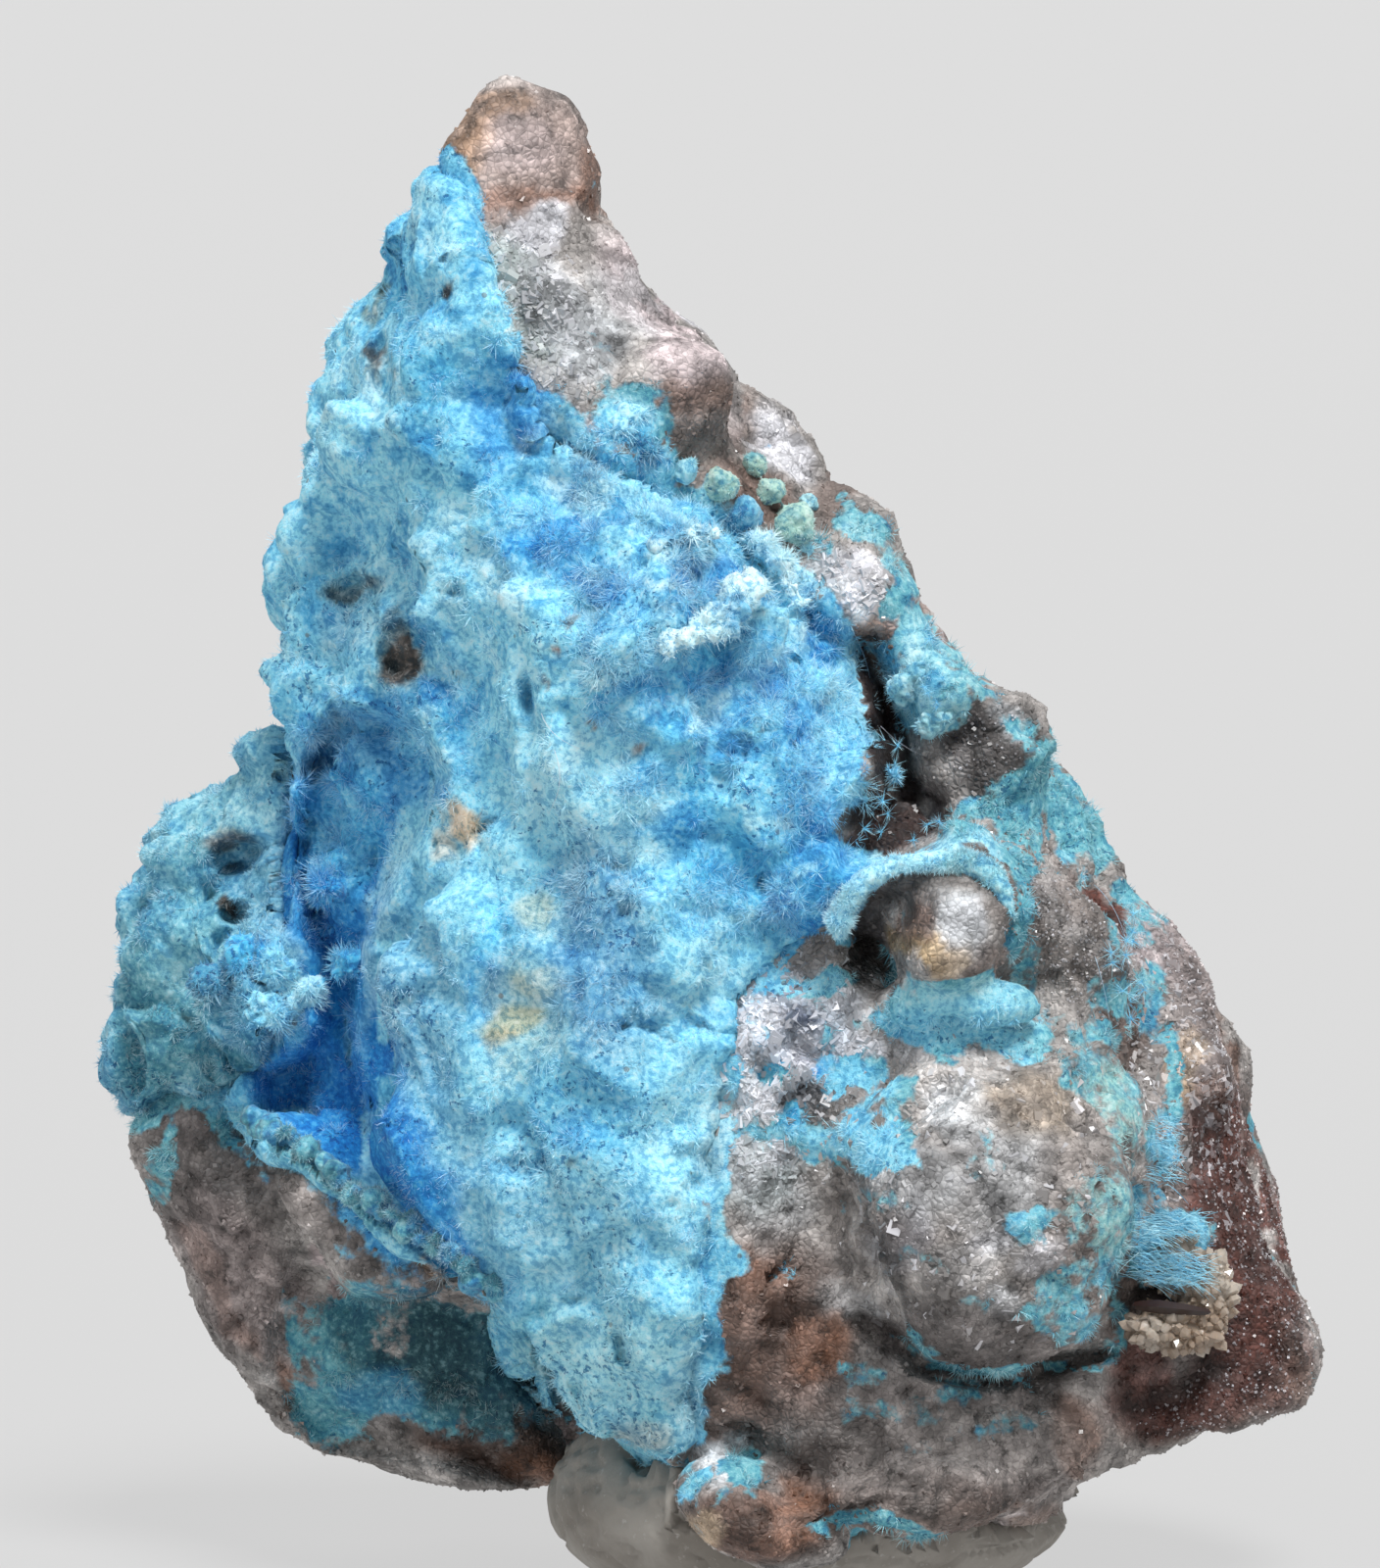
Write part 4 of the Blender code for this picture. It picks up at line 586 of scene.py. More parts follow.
BLUE_STROKES = (
    (-6.03, 19.07, 1, 3.5, 10, "sky_soft", 0.75), (-6.2, 19.73, 0.67, 1.5, 5, "sky", 0.5),
    (-5.03, 17.07, 1.17, 2, 0, "mist", 0.5), (-6.28, 20.57, 0.58, 1, 10, "royal_soft", 0.4),
    (-3.37, 20.73, 0.8, 1, -20, "deep", 0.55), (-3.87, 21.57, 0.67, 0.67, 0, "royal_soft", 0.5),
    (-4.87, 24.15, 0.5, 0.67, 0, "pale_sky", 0.4), (-2.7, 19.73, 0.67, 0.5, 0, "royal_soft", 0.4),
    (-2.2, 18.32, 1.58, 0.7, 12, "royal", 0.5), (-2.7, 18.65, 0.73, 0.37, 0, "royal", 0.7),
    (-1.03, 18.4, 0.83, 0.5, 10, "sky", 0.6), (-1.37, 17.57, 1.33, 0.43, 15, "royal", 0.55),
    (-0.37, 17.9, 0.43, 0.5, -10, "royal", 0.6), (-1.7, 19.07, 1, 0.33, 15, "pale_sky", 0.6),
    (1.3, 18.4, 1, 0.43, 35, "sky", 0.7), (1.97, 17.07, 1, 0.75, 30, "royal_soft", 0.55),
    # Painted highlight, partly pale felt: the white_blue strokes of the next line lie along lit crests.
    (0.27, 17.27, 1.13, 0.25, -38, "white_blue", 1), (1.63, 17.9, 0.5, 0.27, 20, "white_blue", 0.6),
    (-0.03, 18.4, 0.67, 0.27, 20, "pale_sky", 0.7), (-0.7, 18.4, 0.3, 0.17, 0, "tan_pale", 0.5),
    (1.13, 17.4, 0.83, 0.3, 25, "pale_sky", 0.6), (2.63, 17.07, 0.4, 1, -20, "pale_sky", 0.55),
    (0.63, 16.23, 1, 0.5, 20, "royal_soft", 0.5), (-1.37, 16.9, 1, 0.67, 0, "sky", 0.5),
    (1.3, 13.07, 1.25, 1, 0, "royal_soft", 0.7), (2.13, 12.32, 0.92, 0.7, 0, "royal", 0.7),
    (1.8, 13.73, 0.67, 0.4, 0, "royal", 0.5), (0.8, 14.4, 1, 0.5, -10, "sky", 0.5),
    (1.47, 11.9, 1, 0.37, 0, "royal_soft", 0.5), (-0.03, 12.9, 0.83, 1, 0, "royal_soft", 0.4),
    (-1.37, 13.23, 0.83, 0.37, 15, "pale_sky", 0.8), (-1.7, 14.07, 1, 0.67, 20, "pale_sky", 0.5),
    (-1.2, 15.07, 0.43, 2.67, -14, "mist", 0.35), (-2.03, 11.9, 0.6, 2, 0, "slate_blue", 0.85),
    (-1.45, 10.73, 0.92, 1.83, 0, "slate_blue", 0.6), (-2.7, 14.57, 0.43, 1.5, -20, "mist", 0.5),
    (-1.62, 10.4, 0.43, 1, 0, "slate_blue", 0.4), (-0.53, 9.73, 1, 2.5, 0, "sky", 0.6),
    (-0.03, 11.07, 0.33, 1, 0, "pale_sky", 0.5), (-0.37, 8.07, 0.67, 1.67, 0, "pale_sky", 0.45),
    (-2.03, 8.9, 0.83, 1, 0, "royal_soft", 0.45), (-2.2, 8.57, 0.43, 0.43, 0, "deep", 0.35),
    (-4.87, 11.73, 0.83, 2.33, 0, "sky", 0.4), (-5.37, 10.07, 0.67, 1.33, -20, "slate_blue", 0.5),
    (-3.7, 11.07, 0.83, 1.17, 0, "royal_soft", 0.3), (-3.7, 10.9, 0.43, 0.5, 0, "deep", 0.35),
    (-4.03, 12.73, 0.67, 1, 10, "sky", 0.5), (-4.7, 8.23, 1, 1.17, -25, "slate_blue", 0.6),
    (-3.37, 7.07, 1.17, 1.17, 0, "slate_blue", 0.45), (-2.2, 6.4, 1, 1.33, 0, "mist", 0.5),
    (-2.03, 4.4, 1.33, 1.17, 10, "mist", 0.55), (-1.37, 3.4, 1, 0.67, 20, "turquoise", 0.4),
    (-2.7, 4.73, 0.67, 1, -20, "turquoise", 0.5), (-1.37, 5.4, 0.83, 1, 0, "sky", 0.4),
    (-4.2, 13.77, 0.22, 0.43, 0, "tan", 0.95), (-4.45, 13.23, 0.23, 0.27, 0, "tan", 0.6),
    (-2.95, 12.23, 0.37, 0.43, 0, "ochre_pale", 0.55), (-2.78, 11.07, 0.5, 0.33, 0, "ochre_pale", 0.5),
    (-3.37, 10.32, 0.57, 0.33, -10, "ochre_pale", 0.75), (-3.62, 10.07, 0.3, 0.23, 0, "ochre", 0.6),
    (-3.03, 10.57, 0.67, 1.33, 0, "ochre_pale", 0.3), (-5.2, 16.65, 0.4, 0.43, 0, "pit", 0.95),
    (-5.5, 17.07, 0.23, 0.33, 0, "pit", 0.5), (-6.17, 17.73, 0.5, 0.22, -5, "pit", 0.8),
    (-6.37, 17.07, 0.33, 0.43, 0, "slate_blue", 0.6), (-5.63, 21.65, 0.15, 0.53, -8, "pit", 0.9),
    (-5.73, 22.73, 0.1, 0.5, 8, "olive", 0.7), (-4.45, 22.82, 0.12, 0.08, 0, "pit", 0.9),
    (-2.03, 19.73, 0.33, 0.4, 10, "tan_pale", 0.35), (-2.95, 20.15, 0.23, 0.33, 0, "tan_pale", 0.4),
    (-2.45, 16.73, 0.12, 0.12, 0, "rust", 0.9), (-2.03, 15.48, 0.1, 0.1, 0, "rust", 0.8),
    (-1.23, 15.07, 0.08, 0.13, 0, "rust", 0.8), (-2.77, 16.23, 0.08, 0.08, 0, "rust", 0.6),
    (-2.33, 7.97, 0.12, 0.1, 0, "pit", 0.8), (-0.9, 15.73, 0.08, 0.08, 0, "rust", 0.6),
    (-2.27, 17.07, 0.08, 0.08, 0, "rust", 0.7), (-0.03, 18.73, 0.1, 0.07, 0, "pit", 0.7),
    (-6.37, 13.57, 1, 2, 0, "deep", 0.85), (-4.95, 15.48, 0.92, 0.75, 0, "royal", 0.75),
    (-5.03, 14.57, 0.67, 0.83, 0, "deep", 0.7), (-6.53, 11.73, 0.83, 1.83, 0, "deep", 0.95),
    (-6.28, 9.57, 1, 1.67, 0, "midnight", 0.95), (-5.53, 8.07, 0.83, 1, -30, "midnight", 0.9),
    (-4.87, 7.23, 0.67, 0.83, -35, "deep", 0.9), (-4.37, 15.07, 0.5, 0.67, 0, "royal_soft", 0.5),
    (-6.28, 15.07, 0.83, 1, 0, "mist", 0.4), (-6.53, 11.07, 0.67, 0.67, 0, "royal", 0.5),
    (-7.4, 11.07, 0.57, 0.75, 0, "pale_sky", 0.9), (-7.73, 11.32, 0.33, 0.5, 0, "sky", 0.6),
    (-7.62, 10.23, 0.3, 0.37, 0, "tan_pale", 0.5), (-7.2, 12.15, 0.27, 0.33, 0, "deep", 0.5),
    (-8.03, 9.9, 0.27, 0.67, 0, "deep", 0.6), (-7.2, 7.98, 1.5, 0.18, 35, "turquoise", 0.95),
    (-5.73, 6.98, 1.17, 0.18, 38, "turquoise", 0.95), (-4.37, 6.03, 1, 0.15, 32, "teal_blue", 0.9),
    (-7.67, 8.82, 0.5, 0.23, -20, "turquoise", 0.8), (-1.2, 3.32, 0.6, 0.3, 10, "tan_pale", 0.7),
    (-1.7, 2.9, 0.5, 0.17, 20, "turquoise", 0.7), (-0.37, 4.07, 0.33, 1, 0, "tan_pale", 0.3),
    (0.13, 8.57, 0.23, 1, 0, "tan_pale", 0.35), (-7.12, 8.98, 1, 0.57, 35, "deep", 0.95),
    (-6.2, 8.2, 1, 0.6, 38, "midnight", 0.9), (-5.2, 7.37, 0.83, 0.57, 40, "midnight", 0.9),
    (-4.33, 6.53, 0.67, 0.33, 42, "deep", 0.9), (-5.83, 11.23, 0.17, 1.33, 8, "pale_sky", 0.6),
    (-5.45, 12.9, 0.23, 0.83, 20, "pale_sky", 0.5), (-1.7, 11.07, 1.17, 1.33, 0, "slate_blue", 0.6),
    (-4.95, 10.9, 0.83, 1.67, -10, "slate_blue", 0.6), (-1.37, 20.4, 1, 0.5, 20, "sky_soft", 0.6),
    (-3.37, 20.57, 0.67, 0.67, 0, "royal", 0.4), (-1.7, 4.57, 1.17, 1.17, 0, "pale_teal", 0.45),
    # Painted highlight, partly pale felt: the white_blue stroke last on the next line lies along the lit
    # crest.
    (-2.03, 6.9, 1.33, 1.33, 0, "mist", 0.5), (0.27, 17.27, 1.1, 0.28, -38, "white_blue", 1),
    (-4.27, 13.8, 0.23, 0.37, 0, "tan", 0.9), (-1.37, 18.23, 1, 0.83, 0, "sky", 0.5),
    (-6.2, 19.73, 1, 1.83, 0, "sky", 0.5), (-2.7, 14.4, 1, 1, 0, "sky", 0.4),
    (-1.7, 4.57, 1.17, 1.17, 0, "sky", 0.3), (-6.2, 19.73, 1, 1.83, 0, "pale_sky", 0.35),
    (-1.7, 4.4, 1, 1, 0, "pale_teal", 0.4), (-4.87, 15.07, 0.5, 0.67, 0, "sky_soft", 0.6),
    (-4.35, 5.85, 0.9, 0.08, 34, "amber", 0.85), (-6.1, 19.9, 0.9, 1.6, 5, "pale_sky", 0.6),
    (-2.7, 14.4, 0.8, 1.1, 0, "pale_sky", 0.5), (-4.9, 15.1, 0.5, 0.6, 0, "sky", 0.6),
    (-6.35, 13.6, 0.7, 1.0, 0, "royal", 0.6), (-1.9, 4.4, 1.1, 1.1, 10, "pale_sky", 0.5),
    (-8.6, 11.2, 0.8, 0.9, 0, "teal_blue", 0.5), (-6.3, 13.6, 0.7, 1.2, 0, "royal_soft", 0.7),
    (-6.4, 10.5, 0.6, 0.9, 0, "royal", 0.6), (0.9, 16.2, 0.4, 0.25, 30, "deep", 0.65),
    (1.6, 15.5, 0.3, 0.45, 0, "royal", 0.7), (-0.2, 16.1, 0.45, 0.22, 20, "royal", 0.6),
    (0.5, 15.0, 0.55, 0.22, -20, "royal", 0.6), (1.9, 13.2, 0.5, 0.4, 0, "deep", 0.6),
    (1.2, 12.4, 0.45, 0.3, 0, "deep", 0.6), (2.0, 11.9, 0.5, 0.3, -20, "deep", 0.65),
    (-0.9, 15.9, 0.3, 0.4, 20, "royal", 0.5), (-1.9, 17.6, 0.5, 0.2, 10, "deep", 0.6),
    (-0.4, 13.6, 0.5, 0.3, 10, "royal", 0.5), (0.2, 18.0, 0.35, 0.2, -20, "deep", 0.6),
    (1.9, 16.6, 0.2, 0.4, -20, "deep", 0.5), (0.0, 15.55, 0.55, 0.14, -30, "white_blue", 0.65),
    (1.25, 16.65, 0.5, 0.12, -40, "white_blue", 0.75), (1.9, 14.4, 0.45, 0.14, -30, "pale_sky", 0.8),
    (0.9, 13.75, 0.55, 0.14, 20, "pale_sky", 0.7), (1.75, 17.0, 0.12, 0.45, 10, "white_blue", 0.7),
    (-0.6, 17.7, 0.55, 0.12, 10, "white_blue", 0.7), (-1.8, 16.2, 0.35, 0.2, 20, "pale_sky", 0.7),
    (-1.6, 14.9, 0.3, 0.5, 15, "pale_sky", 0.6), (0.3, 12.0, 0.6, 0.15, -25, "pale_sky", 0.7),
    (1.6, 12.9, 0.4, 0.12, -30, "pale_sky", 0.7), (-1.7, 11.07, 0.5, 0.6, 0, "slate_blue", 0.6),
    (-2.4, 19.4, 0.6, 0.2, 20, "white_blue", 0.6), (-3.6, 17.9, 0.3, 0.6, -15, "pale_sky", 0.6),
    (-6.1, 19.8, 0.9, 1.7, 5, "sky", 0.7), (-1.7, 11.07, 0.9, 1.0, 0, "royal", 0.22),
    (-6.35, 13.5, 0.6, 0.9, 0, "sky_soft", 0.3),
)
TURQUOISE_STROKES = (
    (-9.2, 11.73, 1, 2.17, 0, "turquoise", 0.6), (-9.7, 10.07, 0.67, 1.33, 0, "teal", 0.8),
    (-8.45, 13.32, 0.4, 0.27, -10, "pit", 0.8), (-8.33, 12.22, 0.2, 0.17, 0, "pit", 0.95),
    (-8.7, 13.9, 0.83, 0.5, 0, "pale_teal", 0.6), (-7.87, 14.4, 0.67, 0.83, 0, "pale_teal", 0.5),
    (-9.03, 11.07, 0.83, 0.27, 0, "pale_teal", 0.5), (-8.2, 12.73, 0.83, 0.33, 0, "teal_blue", 0.6),
    (-9.53, 12.4, 0.5, 0.83, 0, "teal_blue", 0.5), (-8.7, 9.57, 1, 0.5, 0, "teal", 0.7),
)

# What is worked out once and kept: the grown surfaces, and the front view's grids of what is nearest and of
# how much crust there is.
built = {}


# Noise on arrays of places.


def scrambled(cells, seed):
    """A fixed number from 0 to 1 for each whole-number cell: its three numbers mixed by bit shifts."""
    grid = cells.astype(np.int64).astype(np.uint32)
    mixed = grid[..., 0] * np.uint32(73856093)
    mixed ^= grid[..., 1] * np.uint32(19349663)
    mixed ^= grid[..., 2] * np.uint32(83492791)
    mixed ^= np.uint32((seed * 2654435761) % 4294967296)
    for shift, factor in ((16, 2246822507), (13, 3266489909), (16, 1)):
        mixed ^= mixed >> np.uint32(shift)
        mixed *= np.uint32(factor)
    return mixed.astype(np.float64) / 4294967295


def soft_noise(points, size, seed=0):
    """Random heights at the corners of a grid, blended between them by 3t^2 - 2t^3: from -1 to 1."""
    places = points / size
    low = np.floor(places)
    t = places - low
    t = t * t * (3 - 2 * t)
    total = np.zeros(len(points))
    for corner in np.ndindex(2, 2, 2):
        weight = np.prod(np.where(np.array(corner) == 1, t, 1 - t), axis=1)
        total += weight * scrambled(low + corner, seed)
    return 2 * total - 1


def lumpy_noise(points, size, octaves, seed=0):
    """Soft noise with finer and weaker noise on top, each half the size and height of the last."""
    total = np.zeros(len(points))
    for step in range(octaves):
        total += soft_noise(points, size / 2**step, seed + step) / 2**step
    return total


def nearest_cells(points, size, seed=0):
    """One random heart in each cell of a grid: how far the nearest and the next are, in sizes, the way
    to the nearest, and its three random numbers."""
    places = points / size
    low = np.floor(places)
    first = np.full(len(points), 9.0)
    second = np.full(len(points), 9.0)
    way = np.zeros_like(points)
    own = np.zeros_like(points)
    for step in np.ndindex(3, 3, 3):
        cell = low + np.array(step) - 1
        numbers = np.stack([scrambled(cell, seed + k) for k in range(3)], axis=1)
        toward = cell + numbers - places
        distance = np.linalg.norm(toward, axis=1)
        closer = distance < first
        second = np.where(closer, first, np.minimum(second, distance))
        first = np.where(closer, distance, first)
        way[closer] = toward[closer]
        own[closer] = numbers[closer]
    return first, second, way, own


def smooth_step(low, high, values):
    """0 below low, 1 above high, and a soft curve between."""
    t = np.clip((values - low) / (high - low), 0, 1)
    return t * t * (3 - 2 * t)


def unit(ways):
    """The ways at length 1."""
    return ways / np.maximum(np.linalg.norm(ways, axis=-1, keepdims=True), 1e-9)


# Skins: points, four-cornered faces and what is known at each point.


def corners_of(node):
    """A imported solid's corners, each once, in millimetres, and its triangles."""
    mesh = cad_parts[node].data
    mesh.calc_loop_triangles()
    places = np.empty(len(mesh.vertices) * 3, np.float32)
    mesh.vertices.foreach_get("co", places)
    triangles = np.empty(len(mesh.loop_triangles) * 3, np.int32)
    mesh.loop_triangles.foreach_get("vertices", triangles)
    places = places.reshape(-1, 3).astype(np.float64) / MM
    _, first, back = np.unique(np.round(places, 4), axis=0, return_index=True, return_inverse=True)
    return places[first], back.reshape(-1)[triangles].reshape(-1, 3)


def closed_rings(rings, start, end):
    """The skin through a stack of rings, closed by a fan to a point at each end."""
    count, sides = rings.shape[:2]
    points = np.concatenate([[start], rings.reshape(-1, 3), [end]])
    near = np.arange(sides)
    far = (near + 1) % sides
    faces = [np.stack([np.zeros(sides, int), 1 + far, 1 + near], axis=1)]
    for row in range(count - 1):
        a, b = 1 + row * sides + near, 1 + row * sides + far
        faces.append(np.stack([a, b, b + sides], axis=1))
        faces.append(np.stack([a, b + sides, a + sides], axis=1))
    last = 1 + (count - 1) * sides
    faces.append(np.stack([last + near, last + far, np.full(sides, len(points) - 1)], axis=1))
    return points, np.concatenate(faces)


def ellipsoid(centre, half_sizes, turn=0, steps=20):
    """(a cos v cos u, b cos v sin u, c sin v) round a centre, turned about the line of sight."""
    v = np.linspace(-math.pi / 2, math.pi / 2, steps)[1:-1, None]
    u = np.linspace(0, 2 * math.pi, 2 * steps, endpoint=False)[None, :]
    rings = np.stack([np.cos(v) * np.cos(u), np.cos(v) * np.sin(u), np.sin(v) + 0 * u], axis=2)
    poles = np.array(((0, 0, -1.0), (0, 0, 1.0)))
    angle = math.radians(turn)
    across = np.array((math.cos(angle), 0, -math.sin(angle)))
    up = np.array((math.sin(angle), 0, math.cos(angle)))
    axes = np.stack([across, (0, 1, 0), up]) * np.array(half_sizes)[:, None]
    return closed_rings(rings @ axes + centre, *(poles @ axes + centre))


def tube(path, radii, sides=12):
    """Rings of cos and sin round a smooth path through the given places, with rounded ends."""
    spots = np.linspace(0, 1, len(path))
    share = np.linspace(0, 1, 8 * len(path))
    line = np.stack([np.interp(share, spots, path[:, k]) for k in range(3)], axis=1)
    for _ in range(12):
        line[1:-1] = (line[:-2] + 2 * line[1:-1] + line[2:]) / 4
    radius = np.interp(share, np.linspace(0, 1, len(radii)), radii)
    radius = radius * np.sqrt(np.clip(1 - (2 * share - 1) ** 12, 0.02, 1))
    ahead = unit(np.gradient(line, axis=0))
    side = unit(np.cross(ahead, SIGHT))
    over = np.cross(ahead, side)
    angle = np.linspace(0, 2 * math.pi, sides, endpoint=False)
    ring = np.cos(angle)[None, :, None] * side[:, None] + np.sin(angle)[None, :, None] * over[:, None]
    return closed_rings(line[:, None] + ring * radius[:, None, None], line[0], line[-1])


def joined(parts):
    """Several skins as one list of points and one of faces."""
    starts = np.cumsum([0] + [len(points) for points, _ in parts[:-1]])
    points = np.concatenate([points for points, _ in parts])
    return points, np.concatenate([faces + start for start, (_, faces) in zip(starts, parts)])


def new_mesh(name, points, faces):
    """A mesh of points in millimetres and faces that all have as many corners."""
    mesh = bpy.data.meshes.new(name)
    corners = faces.shape[1]
    mesh.vertices.add(len(points))
    mesh.vertices.foreach_set("co", (points * MM).astype(np.float32).ravel())
    mesh.loops.add(faces.size)
    mesh.loops.foreach_set("vertex_index", faces.astype(np.int32).ravel())
    mesh.polygons.add(len(faces))
    mesh.polygons.foreach_set("loop_start", np.arange(0, faces.size, corners, dtype=np.int32))
    mesh.update(calc_edges=True)
    mesh.validate()
    return mesh


def new_object(name, data):
    """An object in the scene."""
    thing = bpy.data.objects.new(name, data)
    bpy.context.scene.collection.objects.link(thing)
    return thing


def one_skin(parts, square):
    """One closed skin of small squares round all the parts, as points and four-cornered faces."""
    rough = new_object("rough", new_mesh("rough", *joined(parts)))
    skin = rough.modifiers.new("one skin", "REMESH")
    skin.mode = "VOXEL"
    skin.voxel_size = square * MM
    mesh = rough.evaluated_get(bpy.context.evaluated_depsgraph_get()).to_mesh()
    points = np.empty(len(mesh.vertices) * 3, np.float32)
    mesh.vertices.foreach_get("co", points)
    faces = np.empty(len(mesh.loops), np.int32)
    mesh.loops.foreach_get("vertex_index", faces)
    bpy.data.objects.remove(rough)
    return points.reshape(-1, 3).astype(np.float64) / MM, faces.reshape(-1, 4)


def added_up(faces, values, count):
    """For each point, the sum of the values of the face corners that meet there."""
    corners = faces.ravel()
    return np.stack([np.bincount(corners, values[:, k], count) for k in range(values.shape[1])], axis=1)


def smoothed(points, faces, passes):
    """Each point moved half way to the middle of its neighbours, again and again."""
    ones = np.ones((faces.size, 1))
    shares = 2 * added_up(faces, ones, len(points))
    for _ in range(passes):
        beside = points[np.roll(faces, 1, axis=1)] + points[np.roll(faces, -1, axis=1)]
        middle = added_up(faces, beside.reshape(-1, points.shape[1]), len(points)) / shares
        points = (points + middle) / 2
    return points


def outward(points, faces):
    """The way out of the skin at each point: the faces' own, added up and made length 1."""
    a, b, c, d = (points[faces[:, k]] for k in range(4))
    face_way = np.cross(c - a, d - b)
    return unit(added_up(faces, np.repeat(face_way, 4, axis=0), len(points)))


def front_view(points):
    """(across, up, how far away along the line of sight) of places in the frame."""
    places = points + FRONT_ORIGIN
    up = places[:, 2] + places[:, 1] * math.tan(VIEW_ANGLE)
    return places[:, 0], up, places @ SIGHT


def spot(across, up, place):
    """1 inside an ellipse of the front view, fading to 0 at its rim: (across, up, half width, half
    height, turn in degrees)."""
    u, v, half_width, half_height, turn = place
    angle = math.radians(turn)
    du, dv = across - u, up - v
    beside = (du * math.cos(angle) - dv * math.sin(angle)) / half_width
    along = (du * math.sin(angle) + dv * math.cos(angle)) / half_height
    return smooth_step(1.25, 0.65, np.hypot(beside, along))


def strongest(across, up, spots, least=0.0):
    """The strength of the strongest of the spots at each place, and never less than the least."""
    most = np.full(len(across), least)
    for *place, strength in spots:
        most = np.maximum(most, strength * spot(across, up, place))
    return most


def lessened(values, across, up, spots):
    """The values brought down to a tenth inside each of the spots."""
    for place in spots:
        values = values * (1 - 0.9 * spot(across, up, place[:5]))
    return values


def inside(across, up, outline, soft):
    """1 inside an outline of the front view and 0 outside, with a soft rim: the distance to the nearest
    side, and how often a line to the right crosses the sides."""
    corners = np.array(outline)
    nearest = np.full(len(across), NOTHING)
    within = np.zeros(len(across), bool)
    for (ax, ay), (bx, by) in zip(corners, np.roll(corners, -1, axis=0)):
        share = ((across - ax) * (bx - ax) + (up - ay) * (by - ay)) / ((bx - ax) ** 2 + (by - ay) ** 2)
        share = np.clip(share, 0, 1)
        nearest = np.minimum(nearest, np.hypot(across - ax - share * (bx - ax), up - ay - share * (by - ay)))
        if ay != by:
            meets = ax + (up - ay) * (bx - ax) / (by - ay)
            within ^= ((ay > up) != (by > up)) & (across < meets)
    return smooth_step(-soft, soft, np.where(within, nearest, -nearest))


def sculpted(points):
    """The skin with the hollows and pits pressed in along the line of sight, less and less from two to
    five millimetres behind the front, and its outline nudged."""
    across, up, away = front_view(points)
    near = smooth_step(5.5, 1.5, away - looked_up(built["first"], points))
    deep = np.zeros(len(points))
    for depth, soft, outline in HOLLOWS:
        deep += depth * inside(across, up, outline, soft)
    for *place, depth in PITS:
        deep += depth * spot(across, up, place)
    moved = points + SIGHT * (deep * near)[:, None]
    for u, v, reach, right, over in NUDGES:
        share = np.exp(-((across - u) ** 2 + (up - v) ** 2) / reach**2 * 1.4)
        moved = moved + share[:, None] * np.array((right, 0, over))
    return moved


def squares_at(across, up):
    """Which small squares of the front view places lie in."""
    i = np.clip(((across + SEEN_LEFT) / SEEN_SQUARE).astype(int), 0, SEEN_COUNT - 1)
    j = np.clip((up / SEEN_SQUARE).astype(int), 0, SEEN_COUNT - 1)
    return i, j


def front_buffer(clouds):
    """How near the front each small square of the front view is first met by any of the points."""
    nearest = np.full((SEEN_COUNT, SEEN_COUNT), NOTHING)
    for points in clouds:
        across, up, away = front_view(points)
        np.minimum.at(nearest, squares_at(across, up), away)
    return nearest


def spread_out(grid, axes):
    """Each square's or cube's value with its neighbours' added, along each axis in turn."""
    for axis in axes:
        grid = grid + np.roll(grid, 1, axis) + np.roll(grid, -1, axis)
    return grid


def crust_share(crusts, rock):
    """For each square of the front view, which share of its neighbourhood is crust rather than rock: near
    a crust's border it runs from 1 to 0."""
    crust, bare = front_buffer(crusts), front_buffer(rock)
    covered = spread_out(np.where(crust < np.minimum(bare + 0.1, NOTHING / 2), 1.0, 0.0), (0, 1, 0, 1))
    open_rock = spread_out(np.where(bare < np.minimum(crust - 0.1, NOTHING / 2), 1.0, 0.0), (0, 1, 0, 1))
    return covered / np.maximum(covered + open_rock, 1e-6)


def looked_up(grid, points):
    """A front view grid's values at places, blended between its squares."""
    across, up, _ = front_view(points)
    i = np.clip((across + SEEN_LEFT) / SEEN_SQUARE - 0.5, 0, SEEN_COUNT - 2)
    j = np.clip(up / SEEN_SQUARE - 0.5, 0, SEEN_COUNT - 2)
    low_i, low_j = i.astype(int), j.astype(int)
    s, t = i - low_i, j - low_j
    grid = np.where(grid > NOTHING / 2, grid[grid < NOTHING / 2].mean(), grid)
    return (
        grid[low_i, low_j] * (1 - s) * (1 - t) + grid[low_i + 1, low_j] * s * (1 - t)
        + grid[low_i, low_j + 1] * (1 - s) * t + grid[low_i + 1, low_j + 1] * s * t
    )


def on_front(places, lift=0.0, steady=False):
    """Places of the front view put on the nearest surface there, lifted a little toward the viewer. A
    steady path stays as near as its nearest neighbour and doesn't dip into gaps."""
    across, up = np.array(places, float).T
    away = built["front"][squares_at(across, up)]
    if steady:
        wide = np.pad(away, 1, "edge")
        wide = np.pad(np.minimum(np.minimum(wide[:-2], wide[2:]), away), 1, "edge")
        away = (wide[:-2] + 2 * wide[1:-1] + wide[2:]) / 4
    away = away - lift
    back = (away + up * math.sin(VIEW_ANGLE)) * math.cos(VIEW_ANGLE)
    return np.stack([across, back, up - back * math.tan(VIEW_ANGLE)], axis=1) - FRONT_ORIGIN


def evened(grid, reach=2):
    """A front view grid without near things only a few squares wide: the farthest place round each
    square, then the nearest of those."""
    for choose in (np.maximum, np.minimum):
        for axis in (0, 1):
            wide = grid
            for step in range(1, reach + 1):
                wide = choose(wide, choose(np.roll(grid, step, axis), np.roll(grid, -step, axis)))
            grid = wide
    return grid


def seen_from_front(points, ways):
    """1 where nothing stands before a place in the front view, 0 where it is hidden or turned away."""
    across, up, away = front_view(points)
    depth = away - evened(built["front"])[squares_at(across, up)]
    return smooth_step(1.6, 0.7, depth) * smooth_step(0.45, 0.1, ways @ SIGHT)


